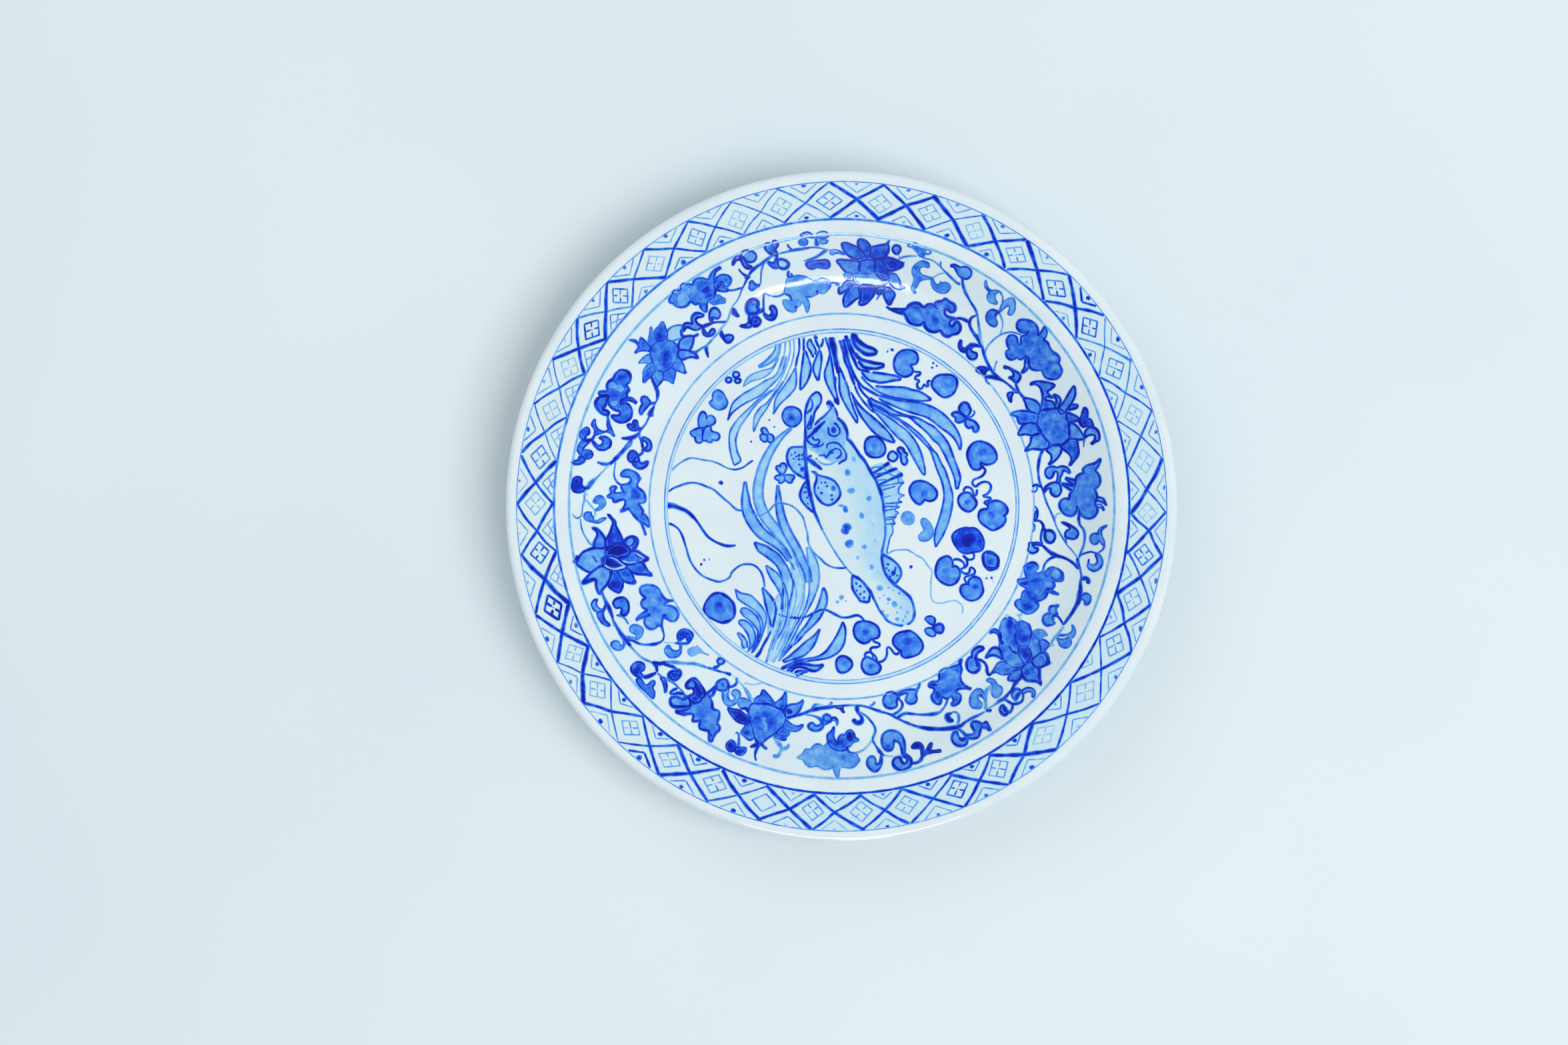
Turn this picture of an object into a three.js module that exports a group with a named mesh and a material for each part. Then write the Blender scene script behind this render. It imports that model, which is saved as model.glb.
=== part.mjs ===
// A hand-painted, blue and white porcelain plate, 300 mm across, standing on its foot ring.
// Units are millimetres, +Z is up, and the origin is the centre of the foot ring's resting plane.
// The plate is round in plan, so every piece is a section turned about Z. The pieces are its
// layers from the inside out: clay body, luted foot ring, cobalt paint, and the glaze skins.
import * as THREE from "three";

// Driving dimensions.
const PLATE_RADIUS = 150;
const WELL_RADIUS = 82; // the flat middle of the face
const BODY_WALL = 4.4; // thickness of the clay, normal to its surface
const CAVETTO_RADIUS = 46; // the concave curve that rises out of the well
const CAVETTO_SLOPE = THREE.MathUtils.degToRad(38);
const SHOULDER_RADIUS = 12; // the convex curve from the cavetto onto the rim
const SHOULDER_START = 121; // radius at which the cavetto starts to turn into the rim
const RIM_SLOPE = THREE.MathUtils.degToRad(8);

const FOOT_HEIGHT = 6.6;
const FOOT_OUTER_RADIUS = 82;
const FOOT_INNER_RADIUS = 75;
const FOOT_TAPER = 1.2; // how far each side of the foot ring leans in towards its resting face
const FOOT_EDGE = 0.6; // bevel beside the resting face

const JOINT_GAP = 0.05; // between two fired layers
const COBALT_THICKNESS = 0.2;
const GLAZE_THICKNESS = 0.5;
const LIP_GAP_ANGLE = THREE.MathUtils.degToRad(3); // between face and back glaze, on the lip's round

// The painted zones of the face, as inner and outer radii.
const MEDALLION_OUTER = 81.4;
const SCROLL_ZONE = [87.2, 123];
const RIM_ZONE = [128, 145.5];

const TURN_SEGMENTS = 64;
const WELL_FACE_Z = FOOT_HEIGHT + BODY_WALL;

const COLOURS = {
  clay: { color: 0xf1ede6, roughness: 0.75, metalness: 0 },
  bareFoot: { color: 0xe3d3bd, roughness: 0.9, metalness: 0 },
  cobalt: { color: 0x1f4fd0, roughness: 0.35, metalness: 0 },
  glaze: { color: 0xe9f2f3, roughness: 0.08, metalness: 0 },
};

// A point of a section: radius from the axis, and height.
function point(radius, height) {
  return new THREE.Vector2(radius, height);
}

// Points along a circular arc. An angle of 0 points outwards and 90 degrees points up.
function arc(centre, radius, from, to, steps) {
  return Array.from({ length: steps + 1 }, (_, i) => {
    const angle = from + ((to - from) * i) / steps;
    return point(centre.x + radius * Math.cos(angle), centre.y + radius * Math.sin(angle));
  });
}

// The face from the axis to the start of the lip: flat well, cavetto, shoulder and rim.
function faceSection() {
  const down = -Math.PI / 2;
  const up = Math.PI / 2;
  const cavettoCentre = point(WELL_RADIUS, WELL_FACE_Z + CAVETTO_RADIUS);
  const cavetto = arc(cavettoCentre, CAVETTO_RADIUS, down, down + CAVETTO_SLOPE, 5);
  const top = cavetto[cavetto.length - 1];
  const rise = (SHOULDER_START - top.x) * Math.tan(CAVETTO_SLOPE);
  const shoulderCentre = point(
    SHOULDER_START + SHOULDER_RADIUS * Math.sin(CAVETTO_SLOPE),
    top.y + rise - SHOULDER_RADIUS * Math.cos(CAVETTO_SLOPE),
  );
  const shoulder = arc(shoulderCentre, SHOULDER_RADIUS, up + CAVETTO_SLOPE, up + RIM_SLOPE, 3);
  const rimStart = shoulder[shoulder.length - 1];
  const lipStart = PLATE_RADIUS - outerSkin() - (BODY_WALL / 2) * (1 + Math.sin(RIM_SLOPE));
  const rimEnd = point(lipStart, rimStart.y + (lipStart - rimStart.x) * Math.tan(RIM_SLOPE));
  return [point(0, WELL_FACE_Z), ...cavetto, ...shoulder, rimEnd];
}

// How far the fired skins stand proud of the clay.
function outerSkin() {
  return JOINT_GAP + COBALT_THICKNESS + JOINT_GAP + GLAZE_THICKNESS;
}

// The same section moved sideways by a distance: positive is to the left of its direction.
function parallel(section, distance) {
  return section.map((here, i) => {
    const before = section[Math.max(i - 1, 0)];
    const after = section[Math.min(i + 1, section.length - 1)];
    const into = here.clone().sub(i > 0 ? before : here);
    const out = after.clone().sub(i < section.length - 1 ? here : after);
    const a = (into.length() > 0 ? into : out).clone().normalize();
    const b = (out.length() > 0 ? out : into).clone().normalize();
    const normal = point(-(a.y + b.y), a.x + b.x);
    const mitre = normal.lengthSq() / 2;
    return here.clone().addScaledVector(normal, distance / mitre);
  });
}

// The clay's lip: a half round of the wall's thickness that joins face and back.
function lipSection(face) {
  const up = Math.PI / 2 + RIM_SLOPE;
  const end = face[face.length - 1];
  const radius = BODY_WALL / 2;
  const centre = point(end.x - radius * Math.cos(up), end.y - radius * Math.sin(up));
  return {
    upper: arc(centre, radius, up, 0, 4),
    lower: arc(centre, radius, -LIP_GAP_ANGLE, up - Math.PI, 3),
  };
}

// Only the part of a section between two radii, with its ends worked out on the section.
function between(section, inner, outer) {
  const at = (radius) => {
    const i = section.findIndex((p) => p.x > radius);
    const share = (radius - section[i - 1].x) / (section[i].x - section[i - 1].x);
    return section[i - 1].clone().lerp(section[i], share);
  };
  const within = section.filter((p) => p.x > inner && p.x < outer);
  return [inner > 0 ? at(inner) : section[0], ...within, at(outer)];
}

// The closed outline of a layer that lies on a section, from one height above it to another.
function skinOutline(section, from, to) {
  const low = parallel(section, from);
  const high = parallel(section, to);
  if (section[0].x === 0) return [...low, ...high.reverse()];
  return [...low, ...high.reverse(), low[0].clone()];
}

// One named mesh, turned about Z.
function turned(name, outline, look) {
  const geometry = new THREE.LatheGeometry(outline, TURN_SEGMENTS).rotateX(Math.PI / 2);
  const mesh = new THREE.Mesh(geometry, new THREE.MeshStandardMaterial(look));
  mesh.name = name;
  return mesh;
}

function footOutline() {
  const top = FOOT_HEIGHT - JOINT_GAP;
  const outerLow = FOOT_OUTER_RADIUS - FOOT_TAPER;
  const innerLow = FOOT_INNER_RADIUS + FOOT_TAPER;
  return [
    point(innerLow + FOOT_EDGE, 0),
    point(outerLow - FOOT_EDGE, 0),
    point(outerLow, FOOT_EDGE),
    point(FOOT_OUTER_RADIUS, top),
    point(FOOT_INNER_RADIUS, top),
    point(innerLow, FOOT_EDGE),
    point(innerLow + FOOT_EDGE, 0),
  ];
}

const face = faceSection();
const lip = lipSection(face);
const back = parallel(face, -BODY_WALL).reverse();
const faceAndLip = [...face.slice(0, -1), ...lip.upper];
const backFromLip = [...lip.lower, ...back.slice(1, -1)];
const clayOutline = [...faceAndLip, ...backFromLip, point(0, FOOT_HEIGHT)].reverse();

// The back glaze stops a joint gap away from the foot ring, and the base glaze fills the inside.
const glazeStop = point(FOOT_OUTER_RADIUS + JOINT_GAP, FOOT_HEIGHT);
const backSection = [...backFromLip.slice(0, -1), point(WELL_RADIUS + 1, FOOT_HEIGHT), glazeStop];
const baseSection = [point(0, FOOT_HEIGHT), point(FOOT_INNER_RADIUS - JOINT_GAP, FOOT_HEIGHT)];

const cobaltTop = JOINT_GAP + COBALT_THICKNESS;
const glazeFrom = cobaltTop + JOINT_GAP;

const cobaltZone = (name, [inner, outer]) =>
  turned(
    name,
    skinOutline(between(face, inner, outer), JOINT_GAP, cobaltTop),
    COLOURS.cobalt,
  );

const plate = new THREE.Group();
plate.add(
  turned("porcelain_body", clayOutline, COLOURS.clay),
  turned("foot_ring", footOutline(), COLOURS.bareFoot),
  cobaltZone("cobalt_medallion", [0, MEDALLION_OUTER]),
  cobaltZone("cobalt_scroll_band", SCROLL_ZONE),
  cobaltZone("cobalt_rim_band", RIM_ZONE),
  turned("face_glaze", skinOutline(faceAndLip, glazeFrom, outerSkin()), COLOURS.glaze),
  turned("back_glaze", skinOutline(backSection, JOINT_GAP, outerSkin()), COLOURS.glaze),
  turned("base_glaze", skinOutline(baseSection, -JOINT_GAP - GLAZE_THICKNESS, -JOINT_GAP), COLOURS.glaze),
);

export default plate;
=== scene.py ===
"""A hand-painted blue and white porcelain plate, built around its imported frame.

The glaze, foot and clay get fine surfaces that follow the frame's own solids. The painting is
laid on the face brush mark by brush mark: every line is a low bead of cobalt and every wash a
thin film. Brush marks are in millimetres on the picture's plane, x to the right and y up from
the plate's middle, and everything becomes metres where a mesh is made.
"""
import math
import random

import bpy
import numpy as np
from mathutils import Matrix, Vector
from mathutils.bvhtree import BVHTree
from mathutils.geometry import delaunay_2d_cdt


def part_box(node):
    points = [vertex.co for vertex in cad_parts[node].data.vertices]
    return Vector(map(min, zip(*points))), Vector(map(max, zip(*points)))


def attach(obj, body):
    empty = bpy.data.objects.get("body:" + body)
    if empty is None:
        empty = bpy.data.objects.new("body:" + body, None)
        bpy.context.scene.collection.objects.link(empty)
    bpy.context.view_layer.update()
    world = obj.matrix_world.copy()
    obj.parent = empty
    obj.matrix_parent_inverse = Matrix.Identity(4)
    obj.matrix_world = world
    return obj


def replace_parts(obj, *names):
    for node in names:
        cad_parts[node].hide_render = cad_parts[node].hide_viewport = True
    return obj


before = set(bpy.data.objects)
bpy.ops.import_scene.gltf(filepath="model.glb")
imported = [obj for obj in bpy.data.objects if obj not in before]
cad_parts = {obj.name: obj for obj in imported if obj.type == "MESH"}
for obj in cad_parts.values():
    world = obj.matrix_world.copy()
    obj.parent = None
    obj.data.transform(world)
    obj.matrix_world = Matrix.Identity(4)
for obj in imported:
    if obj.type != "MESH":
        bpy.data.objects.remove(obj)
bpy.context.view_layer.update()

MM = 0.001
TURN = 2 * math.pi
brush = random.Random(11)  # the unsteadiness of the painter's hand

# The camera: a 50 mm lens that takes in about 700 mm across at the height of the lip.
LENS = 50
SENSOR = 36
VIEW_WIDTH = 698.5
CAMERA_HEIGHT = VIEW_WIDTH * LENS / SENSOR  # above the lip
PLATE_OFF_CENTRE = (25.69, 7.13)  # how far right of the view's middle and above it the plate is

# How finely the turned surfaces are cut, and how thick the glaze's shells are.
AROUND = 288
SECTION_STEP = 0.5
LIP_STEPS = 14
GLAZE_SHELL = 0.4

# Heights of the paint above the glaze. Each mark gets a little more at random, so that marks that
# cross don't lie in one plane.
WASH_LIFT = 0.02
SPOT_LIFT = 0.046
LINE_LIFT = 0.056
POOL_LIFT = 0.07
MORE_LINE_LIFT = 0.01
MORE_FILL_LIFT = 0.008

# How finely brush marks are cut, along a line and across a filled shape.
PATH_STEP = 0.5
FILL_PITCH = 1.3

SPREAD = 2.05  # how much wider than its brush a line gets as the cobalt bleeds in the glaze
TINY = 1e-9  # the least length that is divided by


# ---------------------------------------------------------------- the glaze's section

def cast_heights(node, radii, from_above):
    """Heights of a CAD skin at some radii, in millimetres, met from above or from below."""
    off_seam = 0.1  # the CAD mesh has edges right along X
    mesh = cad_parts[node].data
    tree = BVHTree.FromPolygons(
        [v.co for v in mesh.vertices], [list(p.vertices) for p in mesh.polygons]
    )
    side = 1 if from_above else -1
    heights = []
    for radius in radii:
        start = Vector((radius * MM, off_seam * MM, side))
        hit = tree.ray_cast(start, Vector((0, 0, -side)))[0]
        heights.append(hit.z / MM)
    return np.array(heights)


def softened(heights, reach=4):
    """A running mean that keeps straight stretches straight up to their ends."""
    padded = np.pad(heights, reach, mode="reflect", reflect_type="odd")
    width = 2 * reach + 1
    return np.convolve(padded, np.ones(width) / width, "valid")


def radii_of(node):
    """Every vertex of a CAD node as radius and height, in millimetres."""
    co = np.array([v.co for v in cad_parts[node].data.vertices]) / MM
    return np.column_stack([np.hypot(co[:, 0], co[:, 1]), co[:, 2]])


glaze_points = radii_of("face_glaze")
plate_radius, lip_height = glaze_points[np.argmax(glaze_points[:, 0])]
lip_top = glaze_points[:, 1].max()
on_rim = np.array([138, 142])
rim_slope = math.atan(np.diff(cast_heights("face_glaze", on_rim, True))[0] / np.diff(on_rim)[0])
lip_radius = (lip_top - lip_height) / math.cos(rim_slope)
lip_start = plate_radius - lip_radius * (1 + math.sin(rim_slope))

FACE_RADII = np.append(np.arange(0, lip_start, SECTION_STEP), lip_start)
FACE_HEIGHTS = softened(cast_heights("face_glaze", FACE_RADII, True))
FACE_SLOPES = np.arctan(np.gradient(FACE_HEIGHTS, FACE_RADII))
# What the eye sees from the camera's height: the deeper the glaze, the smaller it looks.
SEEN_RADII = FACE_RADII * CAMERA_HEIGHT / (CAMERA_HEIGHT + lip_top - FACE_HEIGHTS)


def on_glaze(points, lifts):
    """Picture points, and their heights above the glaze, as places in metres."""
    seen = np.hypot(points[:, 0], points[:, 1])
    radius = np.interp(seen, SEEN_RADII, FACE_RADII)
    slope = np.interp(radius, FACE_RADII, FACE_SLOPES)
    height = np.interp(radius, FACE_RADII, FACE_HEIGHTS)
    out = points / np.maximum(seen, TINY)[:, None]
    radius = radius - lifts * np.sin(slope)
    return np.column_stack([out * radius[:, None], height + lifts * np.cos(slope)]) * MM


# ---------------------------------------------------------------- meshes

def new_mesh_object(name, places, faces, material, tones=None):
    """One smooth-shaded piece that rides on the plate's only body."""
    mesh = bpy.data.meshes.new(name)
    mesh.from_pydata([tuple(p) for p in places], [], faces)
    mesh.polygons.foreach_set("use_smooth", [True] * len(mesh.polygons))
    if tones is not None:
        layer = mesh.attributes.new("tone", "FLOAT", "POINT")
        layer.data.foreach_set("value", tones)
    mesh.materials.append(material)
    mesh.update()
    piece = bpy.data.objects.new(name, mesh)
    bpy.context.scene.collection.objects.link(piece)
    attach(piece, "root")
    return piece


def grid_faces(rows, columns, first, closed=False):
    """Quads between neighbouring rows of a grid of vertices, numbered from first."""
    faces = []
    for row in range(rows if closed else rows - 1):
        low = first + row * columns
        high = first + (row + 1) % rows * columns
        for column in range(columns - 1):
            faces.append((low + column, low + column + 1, high + column + 1, high + column))
    return faces


def turned(name, section, material):
    """A closed section turned about the axis. A section with ends on the axis gets poles."""
    section = np.array(section)
    on_axis = section[0, 0] == 0
    ring = section[1:-1] if on_axis else section
    angles = np.arange(AROUND) / AROUND * TURN
    rows = [
        np.column_stack([
            ring[:, 0] * math.cos(a), ring[:, 0] * math.sin(a), ring[:, 1]
        ])
        for a in angles
    ]
    places = list(np.concatenate(rows) * MM)
    columns = len(ring)
    faces = grid_faces(AROUND, columns, 0, closed=True)
    last = len(places)
    if on_axis:
        places += [(0, 0, section[0, 1] * MM), (0, 0, section[-1, 1] * MM)]
    for row in range(AROUND):
        here = row * columns
        after = (row + 1) % AROUND * columns
        if on_axis:
            faces.append((last, here, after))
            faces.append((last + 1, after + columns - 1, here + columns - 1))
        else:
            faces.append((here + columns - 1, here, after, after + columns - 1))
    return new_mesh_object(name, places, faces, material)


def arc(centre, radius, start, end, steps):
    """Points of a section along an arc, with angles in degrees from outwards to up."""
    angles = np.radians(np.linspace(start, end, steps + 1))
    return np.column_stack([
        centre[0] + radius * np.cos(angles), centre[1] + radius * np.sin(angles)
    ])


def inset(section, depth):
    """A section moved by depth to the left of its direction."""
    along = np.gradient(section, axis=0)
    along /= np.linalg.norm(along, axis=1)[:, None]
    return section + np.column_stack([-along[:, 1], along[:, 0]]) * depth


# ---------------------------------------------------------------- brush marks

def smooth_path(points, closed=False, step=PATH_STEP):
    """An even walk along a smooth curve through points. A point given twice is a corner."""
    p = np.array(points, float)
    before = np.roll(p, 1, axis=0)
    after = np.roll(p, -1, axis=0)
    if not closed:
        before[0] = p[0]
        after[-1] = p[-1]
    tangents = (after - before) / 2
    walk = []
    for i in range(len(p) if closed else len(p) - 1):
        j = (i + 1) % len(p)
        reach = np.linalg.norm(p[j] - p[i])
        if reach == 0:
            continue
        t = np.linspace(0, 1, max(4, int(reach / step * 2)), endpoint=False)[:, None]
        walk.append(
            (2 * t**3 - 3 * t**2 + 1) * p[i] + (t**3 - 2 * t**2 + t) * tangents[i]
            + (3 * t**2 - 2 * t**3) * p[j] + (t**3 - t**2) * tangents[j]
        )
    walk.append(p[:1] if closed else p[-1:])
    walk = np.concatenate(walk)
    length = np.append(0, np.cumsum(np.linalg.norm(np.diff(walk, axis=0), axis=1)))
    count = max(3, int(length[-1] / step) + 1)
    stops = np.linspace(0, length[-1], count)
    return np.column_stack([np.interp(stops, length, walk[:, k]) for k in (0, 1)])


def polar(angle, radius):
    a = math.radians(angle)
    return (radius * math.cos(a), radius * math.sin(a))


def along_mark(values, count):
    """One value, or several spaced evenly along a mark, as a value for each step of it."""
    values = np.atleast_1d(values)
    return np.interp(np.linspace(0, 1, count), np.linspace(0, 1, len(values)), values)


def is_inside(points, outline):
    """Which points lie inside a closed outline."""
    inside = np.zeros(len(points), bool)
    x, y = points[:, 0], points[:, 1]
    for here, after in zip(outline, np.roll(outline, -1, axis=0)):
        spans = (here[1] > y) != (after[1] > y)
        if spans.any():
            crossing = here[0] + (y - here[1]) / (after[1] - here[1] or 1) * (after[0] - here[0])
            inside ^= spans & (x < crossing)
    return inside


def facing_up(points, face):
    """The face's corners in the order that turns its front to the eye."""
    a, b, c = points[face[0]], points[face[1]], points[face[2]]
    turn = (b[0] - a[0]) * (c[1] - a[1]) - (b[1] - a[1]) * (c[0] - a[0])
    return face if turn > 0 else face[::-1]


class Painting:
    """Brush marks that are gathered into one piece."""

    # Shares of a mark's width, and of its tone, that come and go along it.
    WIDTH_SWAY = 0.1
    LINE_TONE_SWAY = 0.04
    WASH_TONE_SWAY = 0.08
    TIP = 0.45  # width of a line's open ends, as a share of its own
    ACROSS = np.array([-1, -0.55, 0, 0.55, 1])  # a line's vertices, as shares of its half width
    BEAD = np.array([0.66, 0.9, 1, 0.9, 0.66])  # height across a line, as shares of its lift
    PALER_EDGE = np.array([0.3, 0.86, 1.03, 0.86, 0.3])  # cobalt thins out where it bleeds
    FADE = 2.5  # how far in from its edge a filled shape has the tone of its middle
    ON_OUTLINE = 0.05
    SPOT_EDGE = 0.65  # a spot's tone at its edge, as a share of its middle's

    def __init__(self, name):
        self.name = name
        self.points, self.lifts, self.tones, self.faces = [], [], [], []
        self.count = 0

    def add(self, points, lifts, tones, faces):
        self.points.append(points)
        self.lifts.append(lifts)
        self.tones.append(tones)
        self.faces += faces
        self.count += len(points)

    def line(self, points, width=0.62, tone=0.92, closed=False, beside=0.0):
        """One brush line, whose width and tone may change along it.

        Its paler edges are at least as dark as what is beside it.
        """
        path = smooth_path(points, closed)
        if closed:
            path = path[:-1]
        count = len(path)
        if closed:
            ahead = np.roll(path, -1, axis=0) - np.roll(path, 1, axis=0)
        else:
            ahead = np.gradient(path, axis=0)
        ahead /= np.maximum(np.linalg.norm(ahead, axis=1), TINY)[:, None]
        aside = np.column_stack([-ahead[:, 1], ahead[:, 0]])
        sway = np.arange(count) * PATH_STEP * brush.uniform(0.5, 0.9) + brush.uniform(0, TURN)
        half = along_mark(width, count) * SPREAD * (1 + self.WIDTH_SWAY * np.sin(sway)) / 2
        if not closed:
            half[[0, -1]] *= self.TIP
        slower = sway * 0.7 + 2
        tones = along_mark(tone, count) * (1 + self.LINE_TONE_SWAY * np.sin(slower))
        columns = len(self.ACROSS)
        spots = path[:, None] + aside[:, None] * (half[:, None] * self.ACROSS)[:, :, None]
        lift = LINE_LIFT + brush.uniform(0, MORE_LINE_LIFT)
        lifts = np.tile(self.BEAD * lift, count)
        shades = np.maximum(tones[:, None] * self.PALER_EDGE, beside).ravel()
        faces = grid_faces(count, columns, self.count, closed)
        self.add(spots.reshape(-1, 2), lifts, shades, faces)

    def lines(self, marks, width=0.62, tone=0.92):
        """Lines given as points, or as points with their own width and tone."""
        for mark in marks:
            if isinstance(mark, tuple):
                self.line(*mark)
            else:
                self.line(mark, width, tone)

    def wash(self, left, right, tones, columns=7):
        """A film of thin cobalt between two edges, with tones given from left to right."""
        count = max(len(smooth_path(left)), len(smooth_path(right)))
        share = np.linspace(0, 1, columns)
        edges = []
        for edge in (left, right):
            path = smooth_path(edge)
            at = np.linspace(0, len(path) - 1, count)
            index = np.arange(len(path))
            edges.append(np.column_stack([np.interp(at, index, path[:, k]) for k in (0, 1)]))
        spots = edges[0][:, None] * (1 - share)[:, None] + edges[1][:, None] * share[:, None]
        sway = np.sin(np.linspace(0, brush.uniform(4, 9), count) + brush.uniform(0, TURN))
        shades = along_mark(tones, columns)[None] * (1 + self.WASH_TONE_SWAY * sway[:, None])
        height = WASH_LIFT + brush.uniform(0, MORE_FILL_LIFT)
        lift = np.full((count, columns), height)
        lift[:, [0, -1]] = height / 2
        lift[[0, -1]] = height / 2
        faces = grid_faces(count, columns, self.count)
        self.add(spots.reshape(-1, 2), lift.ravel(), shades.ravel(), faces)

    def blot(self, outline, tone, middle=None, lift=WASH_LIFT):
        """A filled shape, whose tone runs from its edge to its middle."""
        path = smooth_path(outline, closed=True)[:-1]
        low, high = path.min(axis=0), path.max(axis=0)
        across, up = np.meshgrid(*[np.arange(low[k], high[k], FILL_PITCH) for k in (0, 1)])
        grid = np.column_stack([across.ravel(), up.ravel()])
        gaps = np.linalg.norm(grid[:, None] - path[None], axis=2).min(axis=1)
        grid = grid[(gaps > FILL_PITCH / 2) & is_inside(grid, path)]
        points = [Vector(p) for p in np.concatenate([path, grid])]
        rim = list(range(len(path)))
        places, _, faces = delaunay_2d_cdt(points, [], [rim], 1, 1e-5)[:3]
        places = np.array([tuple(p) for p in places])
        gaps = np.linalg.norm(places[:, None] - path[None], axis=2).min(axis=1)
        share = np.minimum(gaps / self.FADE, 1)
        tones = tone + ((middle or tone) - tone) * share
        height = lift + brush.uniform(0, MORE_FILL_LIFT)
        lifts = np.where(gaps < self.ON_OUTLINE, height / 2, height)
        self.add(places, lifts, tones, [tuple(i + self.count for i in f) for f in faces])

    def dab(self, x, y, across, up, tone, edge_tone, lift=SPOT_LIFT):
        """A round touch of the brush, which may fade from its middle to its edge."""
        corners = 14
        inner = 0.6  # size of the ring of vertices between the edge and the middle
        edge_height = 0.8
        a = np.arange(corners) / corners * TURN
        turn = brush.uniform(0, TURN)
        swell = 1 + 0.08 * np.sin(2 * a + turn) + 0.05 * np.sin(3 * a - turn)
        shape = np.column_stack([across * swell * np.cos(a), up * swell * np.sin(a)])
        middle = np.array([x, y])
        points = np.concatenate([middle + shape, middle + shape * inner, middle[None]])
        height = lift + brush.uniform(0, MORE_FILL_LIFT)
        lifts = np.repeat([height * edge_height, height, height], [corners, corners, 1])
        tones = np.repeat([edge_tone, (tone + edge_tone) / 2, tone], [corners, corners, 1])
        faces = grid_faces(2, corners, self.count)
        first, last = self.count, self.count + 2 * corners
        faces.append((first + corners - 1, first, first + corners, last - 1))
        faces += [
            (first + corners + i, first + corners + (i + 1) % corners, last) for i in range(corners)
        ]
        self.add(points, lifts, tones, faces)

    def spots(self, marks):
        """Round dabs, each given as x, y, its half width, its half height and its tone."""
        for x, y, across, up, tone in marks:
            self.dab(x, y, across, up, tone, tone * self.SPOT_EDGE)

    def dots(self, marks, spread):
        """Small round spots, each given as x, y, its radius under the brush and its tone."""
        self.spots([(x, y, r * spread, r * spread, tone) for x, y, r, tone in marks])

    def piece(self):
        """All the marks so far as one cobalt mesh on the glaze."""
        points = np.concatenate(self.points)
        places = on_glaze(points, np.concatenate(self.lifts))
        tones = np.clip(np.concatenate(self.tones), 0, 1)
        faces = [facing_up(points, face) for face in self.faces]
        return new_mesh_object(self.name, places, faces, COBALT, tones)


# ---------------------------------------------------------------- materials

def linear(red, green, blue):
    """A colour from 0 to 255, as a shader's linear values."""
    channels = []
    for value in (red, green, blue):
        v = value / 255
        channels.append(v / 12.92 if v <= 0.04045 else ((v + 0.055) / 1.055) ** 2.4)
    return (*channels, 1)


BLACK = linear(0, 0, 0)
WHITE = linear(255, 255, 255)


class Look:
    """A node material around one Principled shader, with noise in the plate's own frame."""

    def __init__(self, name, **plain):
        self.material = bpy.data.materials.new(name)
        self.material.use_nodes = True
        self.tree = self.material.node_tree
        self.shader = self.tree.nodes["Principled BSDF"]
        for socket, value in plain.items():
            self.shader.inputs[socket.replace("_", " ")].default_value = value
        self.place = self.tree.nodes.new("ShaderNodeTexCoord").outputs["Object"]

    def node(self, kind, links=(), **settings):
        made = self.tree.nodes.new(kind)
        for key, value in settings.items():
            setattr(made, key, value)
        for socket, source in dict(links).items():
            if isinstance(source, bpy.types.NodeSocket):
                self.tree.links.new(source, made.inputs[socket])
            else:
                made.inputs[socket].default_value = source
        return made

    def noise(self, size_mm, detail=3, place=None):
        """Noise whose blotches are about size_mm across."""
        links = {"Vector": place or self.place, "Scale": 1 / (size_mm * MM), "Detail": detail}
        return self.node("ShaderNodeTexNoise", links).outputs["Fac"]

    def between(self, source, low, high, to_low, to_high):
        """The source's stretch from low to high, spread from to_low to to_high."""
        links = {
            "Value": source, "From Min": low, "From Max": high, "To Min": to_low, "To Max": to_high
        }
        return self.node("ShaderNodeMapRange", links).outputs["Result"]

    def math(self, operation, a, b):
        return self.node("ShaderNodeMath", {0: a, 1: b}, operation=operation).outputs[0]

    def ramp(self, source, stops):
        made = self.node("ShaderNodeValToRGB", {"Fac": source})
        elements = made.color_ramp.elements
        while len(elements) < len(stops):
            elements.new(0.5)
        for element, (position, colour) in zip(elements, stops):
            element.position = position
            element.color = colour
        return made.outputs["Color"]

    def mix(self, blend, under, over, share):
        made = self.node("ShaderNodeMix", data_type="RGBA", blend_type=blend)
        for socket, source in (("Factor", share), ("A", under), ("B", over)):
            if isinstance(source, bpy.types.NodeSocket):
                self.tree.links.new(source, made.inputs[socket])
            else:
                made.inputs[socket].default_value = source
        return made.outputs["Result"]

    def bump(self, height, depth_mm, below=None):
        """Relief of a depth, laid over the relief below it."""
        links = {"Height": height, "Strength": 1.0, "Distance": depth_mm * MM}
        if below is not None:
            links["Normal"] = below
        return self.node("ShaderNodeBump", links).outputs["Normal"]

    def to(self, socket, source):
        """Leads a source into the Principled shader."""
        self.tree.links.new(source, self.shader.inputs[socket])


def glaze_ripple(look):
    """The slow unevenness of a poured glaze, the same under paint and beside it."""
    slow = look.bump(look.noise(22, 2), 0.06)
    return look.bump(look.noise(2.2, 2), 0.006, slow)


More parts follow.
